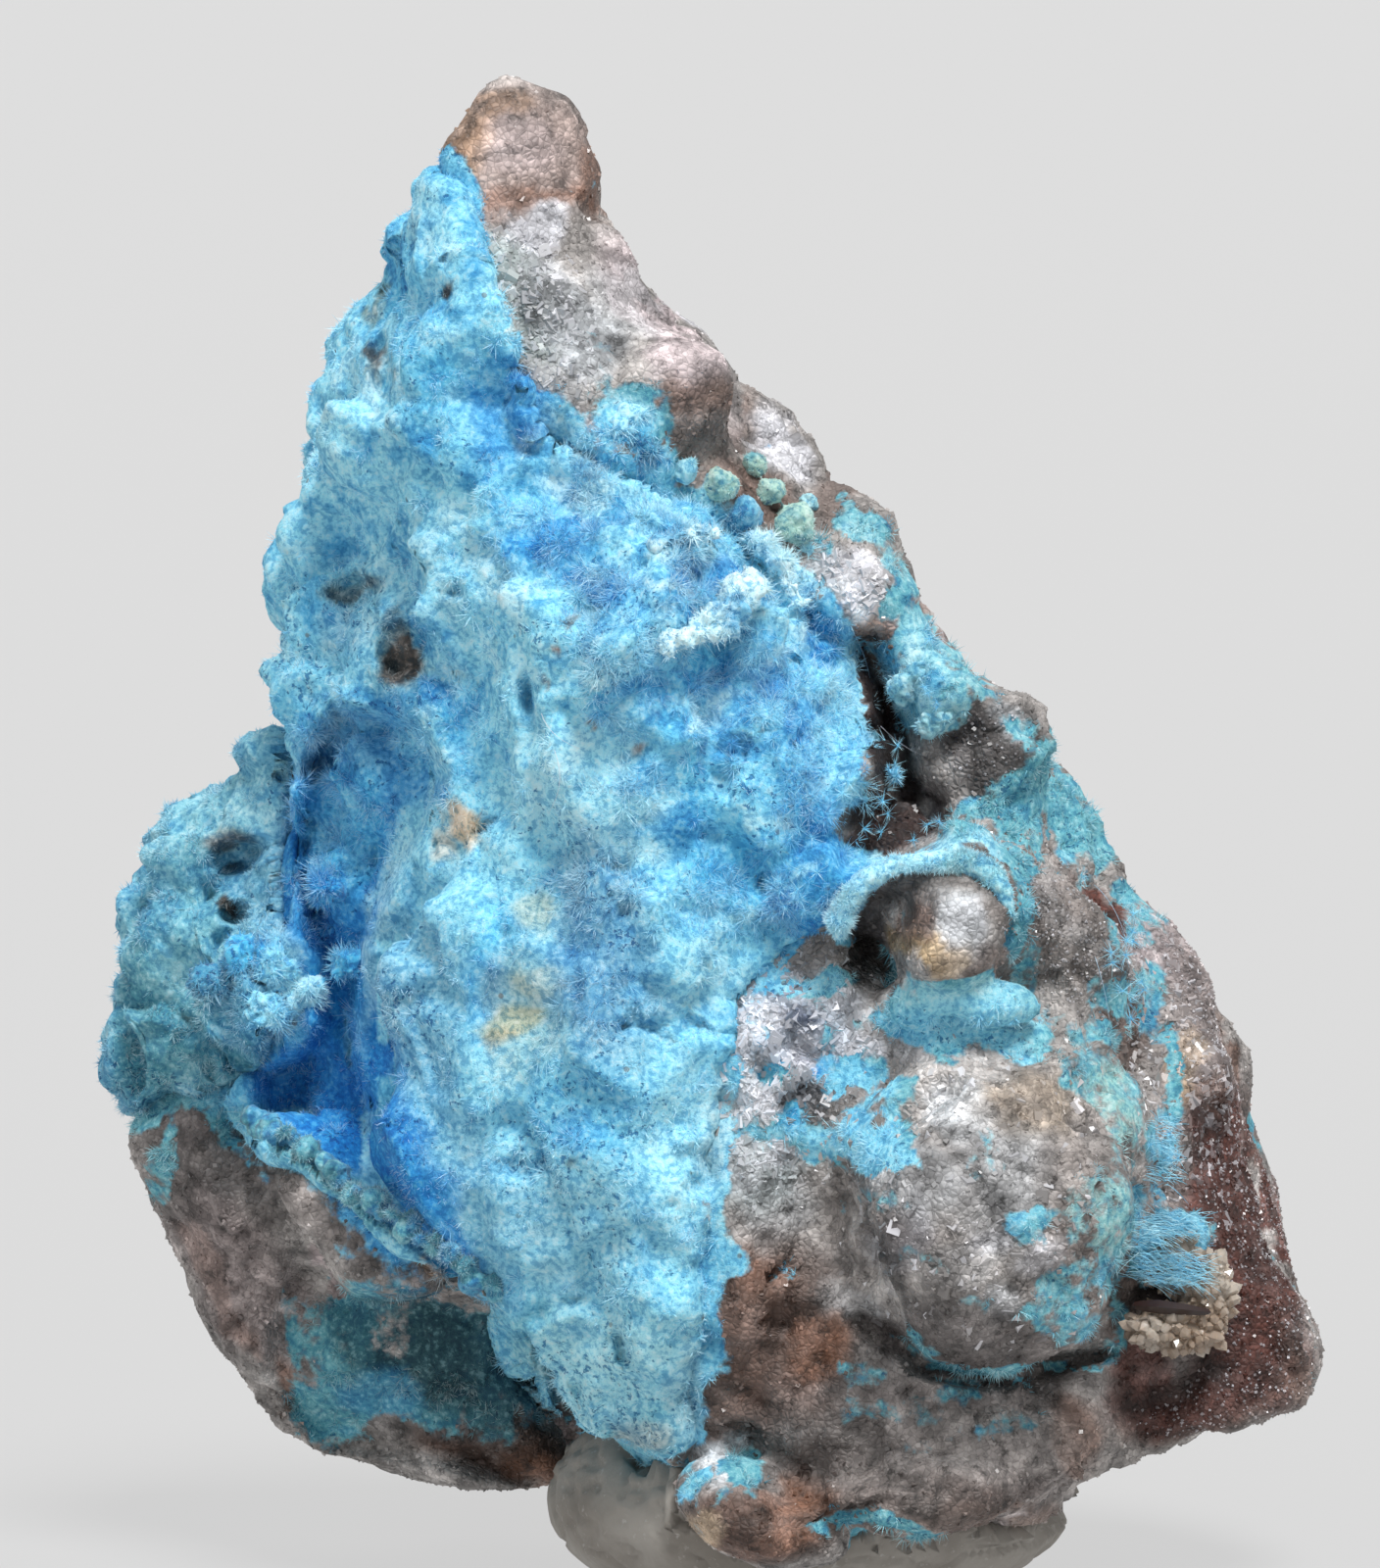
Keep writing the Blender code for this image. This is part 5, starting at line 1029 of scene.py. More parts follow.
def colour_of(name):
    """A named colour of the palette, as three numbers."""
    return np.array(getattr(bpy.context.scene.specimen_palette, name)[:])


def plain(points, name):
    """A named colour for every point."""
    return np.tile(colour_of(name), (len(points), 1))


def brushed(points, seen, colours, strokes):
    """The colours with each stroke of the front view laid over them in turn, its edge shaken by noise."""
    across, up, _ = front_view(points)
    across, up = across + bumps(points, 0.8, 0.22, 3, 41), up + bumps(points, 0.8, 0.22, 3, 47)
    for *place, name, strength in strokes:
        cover = (spot(across, up, place) * strength * seen)[:, None]
        colours = colours + (colour_of(name) - colours) * cover
    return colours


def grown_over(points, seen, strokes):
    """How thickly felt grows at each place of the rock, from 0 to 1: the strongest stroke that covers it."""
    across, up, _ = front_view(points)
    across, up = across + bumps(points, 1.2, 0.36, 4, 53), up + bumps(points, 1.2, 0.36, 4, 59)
    most = strongest(across, up, [(*place, strength) for *place, _, strength in strokes])
    return most * seen * (1 - 0.5 * smooth_step(0.2, 0.9, lumpy_noise(points, 0.8, 3, 61)))


def mixed(a, b, share):
    """From colours a to colours b by each point's share."""
    return a + (b - a) * share[:, None]


def varied_stone(points, colours):
    """Stone colours with each facet in a tone of its own, dark seams between them, partly the rock's dark
    joints and partly painted shade in the creases where the tilted facets meet, and noise.
    """
    for size, seed, swing, seam in FACET_TONES:
        first, second, _, own = nearest_cells(points, size, seed)
        colours = colours * (1 + swing * (own[:, 1] - 0.5))[:, None]
        # Painted shade, partly dark joints: darker toward the seams, where the tilted facets meet in creases.
        colours = mixed(colours, colours * 0.3, seam * smooth_step(0.16, 0.02, second - first))
    light = smooth_step(0.1, 0.9, lumpy_noise(points, 0.5, 3, 109))
    dark = smooth_step(0.05, 0.95, lumpy_noise(points, 0.7, 3, 113))
    colours = mixed(colours, colours * 1.5 + 0.04, light)
    return np.clip(mixed(colours, colours * 0.35, 0.7 * dark), 0, 1)


def varied_fur(points, colours):
    """Felt colours with light tufts and deep gaps in them, by fine noise on slow noise: stronger in the
    upper half, where the crust is tufted."""
    level = lumpy_noise(points, 0.36, 3, 107) + bumps(points, 1.3, 0.4, 3, 127)
    swing = 0.5 + 0.5 * smooth_step(12.5, 16, front_view(points)[1])
    light, deep = smooth_step(0.05, 0.9, level) * swing, smooth_step(0.0, -0.9, level) * swing
    colours = mixed(colours, np.clip(colours, 0, 1) ** 0.66, 0.9 * light)
    return mixed(colours, colours * (0.25, 0.55, 0.76), 0.95 * deep)


def rear_rock(points):
    """The colours of the faces that the front view doesn't show: druse, brown and pink by slow noise."""
    base = plain(points, "druse")
    for name, strength, low, high, *noise in REAR_COLOURS:
        base = mixed(base, colour_of(name), strength * smooth_step(low, high, lumpy_noise(points, *noise)))
    return base


def rear_growth(points):
    """Where felt grows on the hidden faces: cushions of turquoise by noise."""
    return smooth_step(0.35, 0.85, lumpy_noise(points, 3.8, 3, 97)) * 0.9


def crowded(points, ways, reach, cloud):
    """Whether a neighbour is nearer ahead of a face than behind it: counts of its points in the small
    cubes at one reach out and one reach in."""
    cube = 0.2
    low = np.minimum(cloud.min(axis=0), points.min(axis=0)) - 1
    shape = tuple(((np.maximum(cloud.max(axis=0), points.max(axis=0)) + 1 - low) / cube).astype(int) + 1)
    filled = np.zeros(shape)
    np.add.at(filled, tuple(((cloud - low) / cube).astype(int).T), 1)
    filled = spread_out(filled, (0, 1, 2))
    ahead, behind = (
        filled[tuple(((points + ways * way - low) / cube).astype(int).T)] for way in (reach, -reach)
    )
    return smooth_step(0, 1, ahead - behind)


def faceted(points, size, height, seed):
    """Flat tilted facets: in each cell, the height rises along the cell's own random way."""
    _, _, way, own = nearest_cells(points, size, seed)
    tilt = np.einsum("ij,ij->i", way, 2 * own - 1) + 0.5 * (own[:, 0] - 0.5)
    return height * tilt


def bumps(points, size, height, octaves, seed):
    """Lumpy noise of this height."""
    return height * lumpy_noise(points, size, octaves, seed)


def ridges(points, size, height, octaves, seed):
    """Sharp ridges: half the height where the noise is 0, less where it is stronger either way."""
    return height * (0.5 - np.abs(lumpy_noise(points, size, octaves, seed)))


def domes(points, size, height, seed):
    """A rounded dome in each cell, highest in its heart."""
    first, _, _, _ = nearest_cells(points, size, seed)
    return height * (np.sqrt(np.clip(1 - first**2, 0, 1)) - 0.7)


def rock_skin():
    """The rock's weathered skin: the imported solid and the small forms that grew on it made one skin,
    then facets and noise."""
    parts = [corners_of("matrix")]
    parts += [ellipsoid(np.array(centre) - FRONT_ORIGIN, *sizes) for centre, *sizes in ROCK_FORMS]
    parts += [tube(np.array(path) - FRONT_ORIGIN, radii) for path, radii in ROCK_ROLLS]
    points, faces = one_skin(parts, ROCK_SQUARE)
    points = smoothed(points, faces, 3)
    ways = outward(points, faces)
    across, up, _ = front_view(points)
    calm = 1 - strongest(across, up, CALM_SPOTS)
    large, small = (faceted(points, *facets) for facets in ROCK_FACETS)
    height = large * strongest(across, up, BLOCKY_SPOTS, 0.3) + small
    height += bumps(points, *ROCK_NOISE) + ridges(points, *ROCK_RIDGES) * calm
    height = np.minimum(height, HEIGHT_LIMIT + HEIGHT_SHARE * height)
    points = points + ways * (height * calm)[:, None]
    return SimpleNamespace(points=points, faces=faces)


def crust_skin(node, square, lump_size, lump_height, seed):
    """A crust's skin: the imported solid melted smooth, let into the rock at its edges and its bed, and
    swollen in rounded lumps."""
    points, faces = one_skin([corners_of(node)], square)
    points = smoothed(points, faces, 6)
    ways = outward(points, faces)
    against = smoothed(crowded(points, ways, 0.3, built["rock"].points)[:, None], faces, 10)[:, 0]
    lumps = domes(points + 0.1 * ways, lump_size, 0.55 * lump_height, seed)
    lumps += domes(points, 0.42 * lump_size, 0.45 * lump_height, seed + 7)
    lumps += bumps(points, 0.8, 0.12, 4, seed + 11) + ridges(points, 2.6, 0.4, 3, seed + 17)
    lumps += smoothed(faceted(points, 1.5, 0.42, seed + 23)[:, None], faces, 3)[:, 0]
    across, up, _ = front_view(points)
    lumps = lumps * (1 - 0.45 * smooth_step(15.5, 12.0, up) * smooth_step(-7.5, -6.0, across))
    points = points + ways * (0.3 * against + lumps * (1 - against))[:, None]
    return SimpleNamespace(points=points, faces=faces)


def let_in(skin):
    """A crust thinned out toward its border and ragged there, so that it seems to grow on the rock."""
    share = looked_up(built["share"], skin.points) + bumps(skin.points, 0.8, 0.34, 4, 131)
    across, up, away = front_view(skin.points)
    rim = smooth_step(0.85, 0.5, share) * smooth_step(3.0, 1.0, away - looked_up(built["first"], skin.points))
    rim = rim * (1 - spot(across, up, LEDGE_SPOT))
    skin.points = skin.points + SIGHT * (0.6 * rim)[:, None]


def border_share(points):
    """How much crust lies round each place in the front view, made ragged by noise."""
    return looked_up(built["share"], points) + bumps(points, 0.9, 0.3, 3, 137)


def painted_rock(skin):
    """Gives the rock its colours, the felt's colours and how thickly felt grows."""
    points, seen = skin.points, skin.seen
    front = brushed(points, 1.0, plain(points, "druse"), ROCK_STROKES)
    skin.stone = varied_stone(points, mixed(rear_rock(points), front, seen))
    across, up, _ = front_view(points)
    share = border_share(points)
    border = 0.95 * smooth_step(0.2, 0.55, share) * seen * (1 - spot(across, up, LEDGE_SPOT))
    border = lessened(border, across, up, BARE_SPOTS)
    felt = np.maximum(grown_over(points, seen, GROWTH_STROKES), border)
    # Felt is kept off the dark spots, so that the rock's painted shade shows in the crevice and under the
    # arch.
    lit = 1 - strongest(across, up, DARK_SPOTS)
    skin.felt = np.maximum(felt * lit, rear_growth(points) * (1 - seen))
    teal = smooth_step(-0.2, 0.7, lumpy_noise(points, 2.5, 3, 101))
    base = mixed(plain(points, "turquoise"), colour_of("teal"), teal)
    beside = brushed(points, seen, plain(points, "sky_soft"), BLUE_STROKES)
    base = mixed(base, beside, smooth_step(0.1, 0.3, share) * smooth_step(-8.5, -7.5, across) * seen)
    skin.fur = varied_fur(points, brushed(points, seen, base, GROWTH_STROKES))


def painted_crust(skin, light, dark, strokes):
    """Gives a crust its colours: its own two, mottled by noise, and the strokes of the front view."""
    points, seen = skin.points, skin.seen
    mottle = 0.75 * smooth_step(0.0, 0.9, lumpy_noise(points, 1.7, 3, 103))
    fur = mixed(plain(points, light), colour_of(dark), mottle)
    skin.fur = varied_fur(points, brushed(points, seen, fur, strokes))
    skin.stone = varied_stone(points, brushed(points, seen, plain(points, "druse"), ROCK_STROKES))
    across, up, _ = front_view(points)
    felt = smooth_step(0.3, 0.62, border_share(points)) * (1 - strongest(across, up, DARK_SPOTS))
    skin.felt = np.maximum(felt, np.maximum(1 - seen, spot(across, up, LEDGE_SPOT)))


def surfaces():
    """The three grown surfaces, worked out once and kept."""
    if "rock" not in built:
        built["rock"] = rock_skin()
        for name, shape in CRUSTS.items():
            built[name] = crust_skin(f"{name}_crust", *shape)
        skins = [built[name] for name in ("rock", *CRUSTS)]
        built["first"] = front_buffer([skin.points for skin in skins])
        for skin in skins:
            skin.points = sculpted(skin.points)
        built["first"] = front_buffer([skin.points for skin in skins])
        built["share"] = crust_share([skin.points for skin in skins[1:]], [skins[0].points])
        for skin in skins[1:]:
            let_in(skin)
        built["front"] = front_buffer([skin.points for skin in skins])
        for skin in skins:
            skin.ways = outward(skin.points, skin.faces)
            skin.seen = seen_from_front(skin.points, skin.ways)
        painted_rock(built["rock"])
        painted_crust(built["blue"], "sky", "royal_soft", BLUE_STROKES)
        painted_crust(built["turquoise"], "mist", "teal_blue", TURQUOISE_STROKES)
    return built


# Many small copies of one shape, as arrays.


def scattered(skin, liking, count, seed):
    """Random places on a skin, as likely as each face's area times its liking, and what is there."""
    rng = np.random.default_rng(seed)
    corners = skin.points[skin.faces]
    area = np.linalg.norm(np.cross(corners[:, 2] - corners[:, 0], corners[:, 3] - corners[:, 1]), axis=1)
    chance = area * liking[skin.faces].mean(axis=1)
    face = rng.choice(len(chance), count, p=chance / chance.sum())
    u, v = rng.random((2, count))
    weights = np.stack([(1 - u) * (1 - v), u * (1 - v), u * v, (1 - u) * v], axis=1)[:, :, None]
    four = skin.faces[face]
    found = {
        name: (getattr(skin, name)[four].reshape(count, 4, -1) * weights).sum(axis=1)
        for name in ("points", "ways", "stone", "fur")
    }
    found["ways"] = unit(found["ways"])
    return SimpleNamespace(**found)


def copies(shape, places, ways, widths, lengths, rng):
    """One copy of a shape per place, its own z along the way out, spun at random."""
    points, faces = shape
    side = unit(np.cross(ways, rng.normal(size=(len(places), 3))))
    over = np.cross(ways, side)
    made = places[:, None] + (
        side[:, None] * (points[None, :, :1] * widths[:, None, None])
        + over[:, None] * (points[None, :, 1:2] * widths[:, None, None])
        + ways[:, None] * (points[None, :, 2:] * lengths[:, None, None])
    )
    starts = np.arange(len(places)) * len(points)
    return made.reshape(-1, 3), (faces[None] + starts[:, None, None]).reshape(-1, faces.shape[1])


def ring_of(sides, turn=0.0, high=0.0):
    """(cos u, sin u, h) at equal steps of u."""
    angle = np.radians(np.arange(sides) * 360 / sides) + turn
    return np.stack([np.cos(angle), np.sin(angle), 0 * angle + high], axis=1)


def needle_shape():
    """A slim three-sided pyramid of length 1, closed at its foot."""
    points = np.concatenate([ring_of(3), [(0, 0, 1)]])
    return points, np.array(((0, 2, 1), (0, 1, 3), (1, 2, 3), (2, 0, 3)))


def grain_shape():
    """A rhombohedron, a cube drawn out along its diagonal, which is how small quartz looks."""
    high, low = ring_of(3, 0.0, 0.33), ring_of(3, math.pi / 3, -0.33)
    points = np.concatenate([[(0, 0, 1)], high, low, [(0, 0, -1)]])
    faces = []
    for i in range(3):
        a, b, c, before = 1 + i, 1 + (i + 1) % 3, 4 + i, 4 + (i + 2) % 3
        faces += [(0, a, c), (0, c, b), (7, c, a), (7, a, before)]
    return points, np.array(faces)


def point_shape():
    """A six-sided quartz crystal: a prism with a tip of faces set at two heights, closed below."""
    foot = ring_of(6)
    heights = 0.62 + 0.07 * np.cos(3 * np.radians(np.arange(0, 360, 60)))
    rim = foot * 0.94 + np.array((0, 0, 1)) * heights[:, None]
    return closed_rings(np.stack([foot, rim]), np.array((0, 0, -0.35)), np.array((0, 0, 1.0)))


def own_attribute(mesh, name, kind, values):
    """Writes a number or a colour for each point of the mesh."""
    attribute = mesh.attributes.new(name, kind, "POINT")
    if kind == "FLOAT_COLOR":
        values = np.concatenate([values, np.ones((len(values), 1))], axis=1)
        attribute.data.foreach_set("color", values.astype(np.float32).ravel())
    else:
        attribute.data.foreach_set("value", values.astype(np.float32).ravel())


def dressed(mesh, material, smooth=True):
    """The mesh with its one material, shaded smooth or flat."""
    mesh.materials.append(material)
    mesh.polygons.foreach_set("use_smooth", np.full(len(mesh.polygons), smooth))
    return mesh


def new_piece(name, points, faces, material, colours=None, numbers=None, smooth=True):
    """A finished piece on the frame, with its colours and numbers as attributes."""
    mesh = new_mesh(name, points, faces)
    for label, values in (colours or {}).items():
        own_attribute(mesh, label, "FLOAT_COLOR", values)
    for label, values in (numbers or {}).items():
        own_attribute(mesh, label, "FLOAT", values)
    piece = new_object(name, dressed(mesh, material, smooth))
    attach(piece, "root")
    return piece


def skin_piece(name, skin, material):
    """A grown surface as a piece, glossy where it is calm."""
    across, up, _ = front_view(skin.points)
    return new_piece(
        name, skin.points, skin.faces, material,
        {"stone": skin.stone, "fur": skin.fur},
        {"felt": skin.felt, "gloss": strongest(across, up, CALM_SPOTS)},
    )


def needle_sizes():
    """A middling needle's length and half width, in millimetres."""
    sizes = bpy.context.scene.specimen_sizes
    return sizes.needle_length / MM, sizes.needle_width / MM


def needle_piece(name, skin, liking, kind=None, reach=1.0):
    """Needles in small sprays: each spray's middle is scattered on the skin's clumps, and its needles
    lean out of it by random amounts. Their kind is the row of NEEDLES that has the piece's name, unless it
    is given, and the reach lengthens them."""
    (shortest, longest), share, lean, tuft, count, seed = kind or NEEDLES[name]
    length, width = needle_sizes()
    length = length * reach
    rng = np.random.default_rng(seed)
    clump = smooth_step(-0.5, 0.7, lumpy_noise(skin.points, *CLUMP_NOISE))
    sprays = scattered(skin, liking * (0.12 + clump), count // tuft, seed + 1)
    spread = np.repeat(np.arange(len(sprays.points)), tuft)
    total = len(spread)
    ways = sprays.ways[spread]
    aside = rng.normal(size=(total, 3))
    aside = unit(aside - ways * np.einsum("ij,ij->i", aside, ways)[:, None])
    tilt = rng.uniform(*lean, total)[:, None]
    out = ways * np.cos(tilt) + aside * np.sin(tilt)
    full = smooth_step(-0.5, 0.7, lumpy_noise(sprays.points, *CLUMP_NOISE))[spread]
    lengths = rng.uniform(length * shortest, length * longest, total)
    lengths = lengths * rng.uniform(0.6, 1.1, len(sprays.points))[spread] * (0.6 + 0.6 * full)
    places = sprays.points[spread] + aside * (0.05 * rng.random((total, 1))) - ways * 0.03
    points, faces = copies(needle_shape(), places, out, np.full(total, width * share), lengths, rng)
    # The shade number: random, and lower in the gaps between clumps, where it stands for painted shade.
    shade = 0.35 * rng.random(total) + 0.3 * rng.random(len(sprays.points))[spread] + 0.35 * full
    return new_piece(
        name, points, faces, needle_material(), {"fur": np.repeat(sprays.fur[spread], 4, axis=0)},
        {"tip": np.tile(NEEDLE_TIP, total), "shade": np.repeat(shade, 4)}, smooth=False,
    )


def fine_skin(parts, colours, rough, seed):
    """A small felted thing of its own: its parts made one skin of fine squares, roughened, and coloured
    like the nearest of the given (place, colour)."""
    points, faces = one_skin(parts, FINE_SQUARE)
    points = smoothed(points, faces, 3)
    ways = outward(points, faces)
    height = bumps(points, 0.5, 0.13, 2, seed) + bumps(points, 0.2, 0.1, 3, seed + 3)
    points = points + ways * (rough * height)[:, None]
    hearts = np.stack([place for place, _ in colours])
    nearest = np.linalg.norm(points[:, None] - hearts[None], axis=2).argmin(axis=1)
    fur = varied_fur(points, np.stack([colour_of(name) for _, name in colours])[nearest])
    whole = np.ones(len(points))
    return SimpleNamespace(
        points=points, faces=faces, ways=outward(points, faces), seen=whole, felt=whole,
        fur=fur, stone=plain(points, "brown"),
    )


def strands(starts, bends, ends, radius):
    """Thin three-sided fibres along (1-t)^2 A + 2t(1-t) B + t^2 C, thinner toward their ends."""
    t = np.linspace(0, 1, FIBRE_RINGS)[None, :, None]
    line = (1 - t) ** 2 * starts[:, None] + 2 * t * (1 - t) * bends[:, None] + t**2 * ends[:, None]
    ahead = unit(np.gradient(line, axis=1))
    side = unit(np.cross(ahead, SIGHT))
    over = np.cross(ahead, side)
    angle = np.radians((0, 120, 240))
    thick = (radius * (1 - 0.6 * t**2))[..., None]
    ring = side[:, :, None] * np.cos(angle)[:, None] + over[:, :, None] * np.sin(angle)[:, None]
    points = line[:, :, None] + ring * thick
    faces = [(0, 2, 1)]
    for row in range(FIBRE_RINGS - 1):
        for k in range(3):
            a, b = 3 * row + k, 3 * row + (k + 1) % 3
            faces += [(a, b, b + 3), (a, b + 3, a + 3)]
    last = 3 * (FIBRE_RINGS - 1)
    faces.append((last, last + 1, last + 2))
    starts_at = 3 * FIBRE_RINGS * np.arange(len(starts))
    return points.reshape(-1, 3), (np.array(faces)[None] + starts_at[:, None, None]).reshape(-1, 3)


def grain_piece(name, skin, liking):
    """Small crystals scattered on the skin, each a little off the way out: a row of GRAINS."""
    sizes, stretch, sink, milky, count, seed = GRAINS[name]
    middling = bpy.context.scene.specimen_sizes.grain_size / MM
    rng = np.random.default_rng(seed)
    spots = scattered(skin, liking, count, seed + 1)
    out = unit(spots.ways + rng.normal(scale=0.45, size=(count, 3)))
    widths = rng.uniform(*(middling * size for size in sizes), count)
    lengths = widths * rng.uniform(*stretch, count)
    feet = spots.points - spots.ways * (sink * widths)[:, None]
    shape = grain_shape()
    points, faces = copies(shape, feet, out, widths, lengths, rng)
    corners = len(shape[0])
    shade = np.repeat(rng.random(count), corners)
    stone = mixed(spots.stone, colour_of("white"), milky * rng.random(count) ** 2)
    return new_piece(
        name, points, faces, grain_material(),
        {"stone": np.repeat(stone, corners, axis=0)}, {"shade": shade}, smooth=False,
    )


# Materials.


class Tree:
    """A node tree, and short ways to add to it."""

    def __init__(self, tree):
        self.tree = tree

    def fill(self, node, **inputs):
        """Sets a node's inputs to numbers, or joins them to other nodes' outputs. An input is given by its
        name, with _ for each blank, or by _ and its place in the row."""
        for name, value in inputs.items():
            socket = node.inputs[int(name[1:]) if name[0] == "_" else name.replace("_", " ")]
            if isinstance(value, bpy.types.NodeSocket):
                self.tree.links.new(value, socket)
            else:
                socket.default_value = value

    def add(self, kind, settings=None, **inputs):
        """A node with its settings and inputs."""
        node = self.tree.nodes.new(f"ShaderNode{kind}")
        for name, value in (settings or {}).items():
            setattr(node, name, value)
        self.fill(node, **inputs)
        return node

    def mix(self, factor, a, b):
        """Colour a mixed with colour b."""
        return self.add("Mix", {"data_type": "RGBA"}, _0=factor, _6=a, _7=b).outputs[2]

    def between(self, factor, a, b):
        """Number a mixed with number b."""
        return self.add("Mix", {"data_type": "FLOAT"}, _0=factor, _2=a, _3=b).outputs[0]

    def math(self, operation, a, b, clamp=False):
        """A sum on two numbers."""
        return self.add("Math", {"operation": operation, "use_clamp": clamp}, _0=a, _1=b).outputs[0]

    def times(self, a, b):
        """The product of two numbers."""
        return self.math("MULTIPLY", a, b)

    def vector(self, operation, **inputs):
        """A sum on colours or places."""
        return self.add("VectorMath", {"operation": operation}, **inputs).outputs[0]

    def ranged(self, value, low, high, to_low=0.0, to_high=1.0):
        """A number carried smoothly from one range to another."""
        settings = {"interpolation_type": "SMOOTHSTEP"}
        node = self.add("MapRange", settings, _0=value, _1=low, _2=high, _3=to_low, _4=to_high)
        return node.outputs[0]

    def noise(self, vector, scale, detail=2.0, roughness=0.5):
        """Fractal noise from 0 to 1."""
        inputs = {"Vector": vector, "Scale": scale, "Detail": detail, "Roughness": roughness}
        return self.add("TexNoise", None, **inputs).outputs["Fac"]

    def cells(self, vector, scale, feature="F1"):
        """Cells round scattered points."""
        return self.add("TexVoronoi", {"feature": feature}, Vector=vector, Scale=scale).outputs

    def part(self, colour, place):
        """A colour's red, green or blue part, by its place."""
        return self.add("SeparateColor", None, Color=colour).outputs[place]

    def gamma(self, colour, power):
        """A colour raised to a power."""
        return self.add("Gamma", None, Color=colour, Gamma=power).outputs[0]

    def bump(self, strength, distance, height):
        """A bumped normal, from the height and how many metres it stands for."""
        return self.add("Bump", None, Strength=strength, Distance=distance, Height=height).outputs[0]

    def own(self, name, output="Fac"):
        """The piece's own attribute."""
        return self.add("Attribute", {"attribute_name": name}).outputs[output]

    def place(self):
        """Places on the piece in its own metres."""
        return self.add("TexCoord").outputs["Object"]

    def group(self, group, **inputs):
        """A node group with its own values."""
        return self.add("Group", {"node_tree": group}, **inputs).outputs


def made_once(kind, name):
    """Lets a function make its material or node group once, and finds that one by its name afterwards."""

    def wrapped(make):
        def found():
            made = getattr(bpy.data, kind)
            return made[name] if name in made else make(name)

        return found

    return wrapped


def new_group(name, inputs, outputs):
    """A shader node group with named sockets, colours where they are called Color and numbers elsewhere:
    (group, its tree, its inputs by name, its output node)."""
    group = bpy.data.node_groups.new(name, "ShaderNodeTree")
    for way, labels in (("INPUT", inputs), ("OUTPUT", outputs)):
        for label in labels:
            kind = "NodeSocketColor" if label == "Color" else "NodeSocketFloat"
            socket = group.interface.new_socket(label, in_out=way, socket_type=kind)
            if way == "INPUT":
                socket.default_value = inputs[label]
    tree = Tree(group)
    return group, tree, group.nodes.new("NodeGroupInput").outputs, group.nodes.new("NodeGroupOutput")


@made_once("node_groups", "Packed grains")
def grains_group(name):
    """Packed grains: cells of random lightness, with painted shade in the sunken seams between them and
    darker patches by noise, and their height.
    """
    inputs = {"Color": (0.5, 0.5, 0.5, 1), "Scale": 5000.0, "Contrast": 0.6}
    group, tree, given, out = new_group(name, inputs, ("Color", "Height"))
    colour = given["Color"]
    place = tree.place()
    cells = tree.cells(place, given["Scale"])
    edge = tree.cells(place, given["Scale"], "DISTANCE_TO_EDGE")["Distance"]
    light = tree.part(cells["Color"], 0)
    gain = tree.math("ADD", tree.times(tree.math("SUBTRACT", light, 0.5), given["Contrast"]), 1.05)
    bright = tree.vector("SCALE", _0=colour, Scale=gain)
    mottle = tree.noise(place, 3000.0, 5.0, 0.7)
    lit = tree.vector("MULTIPLY_ADD", _0=colour, _1=(1.5,) * 3, _2=(0.04,) * 3)
    white = tree.mix(tree.ranged(mottle, 0.53, 0.68, 0.0, 0.8), bright, lit)
    shadow = tree.vector("SCALE", _0=colour, Scale=0.3)
    # Painted shade: darker toward each cell's edge, where the bump sinks into a seam.
    seams = tree.ranged(edge, 0.0, 0.1, 0.3, 0.0)
    seam_shade_and_patches = tree.math("ADD", seams, tree.ranged(mottle, 0.47, 0.34, 0.0, 0.8), True)
    tree.fill(out, Color=tree.mix(seam_shade_and_patches, white, shadow), Height=tree.math("ADD", edge, light))
    return group


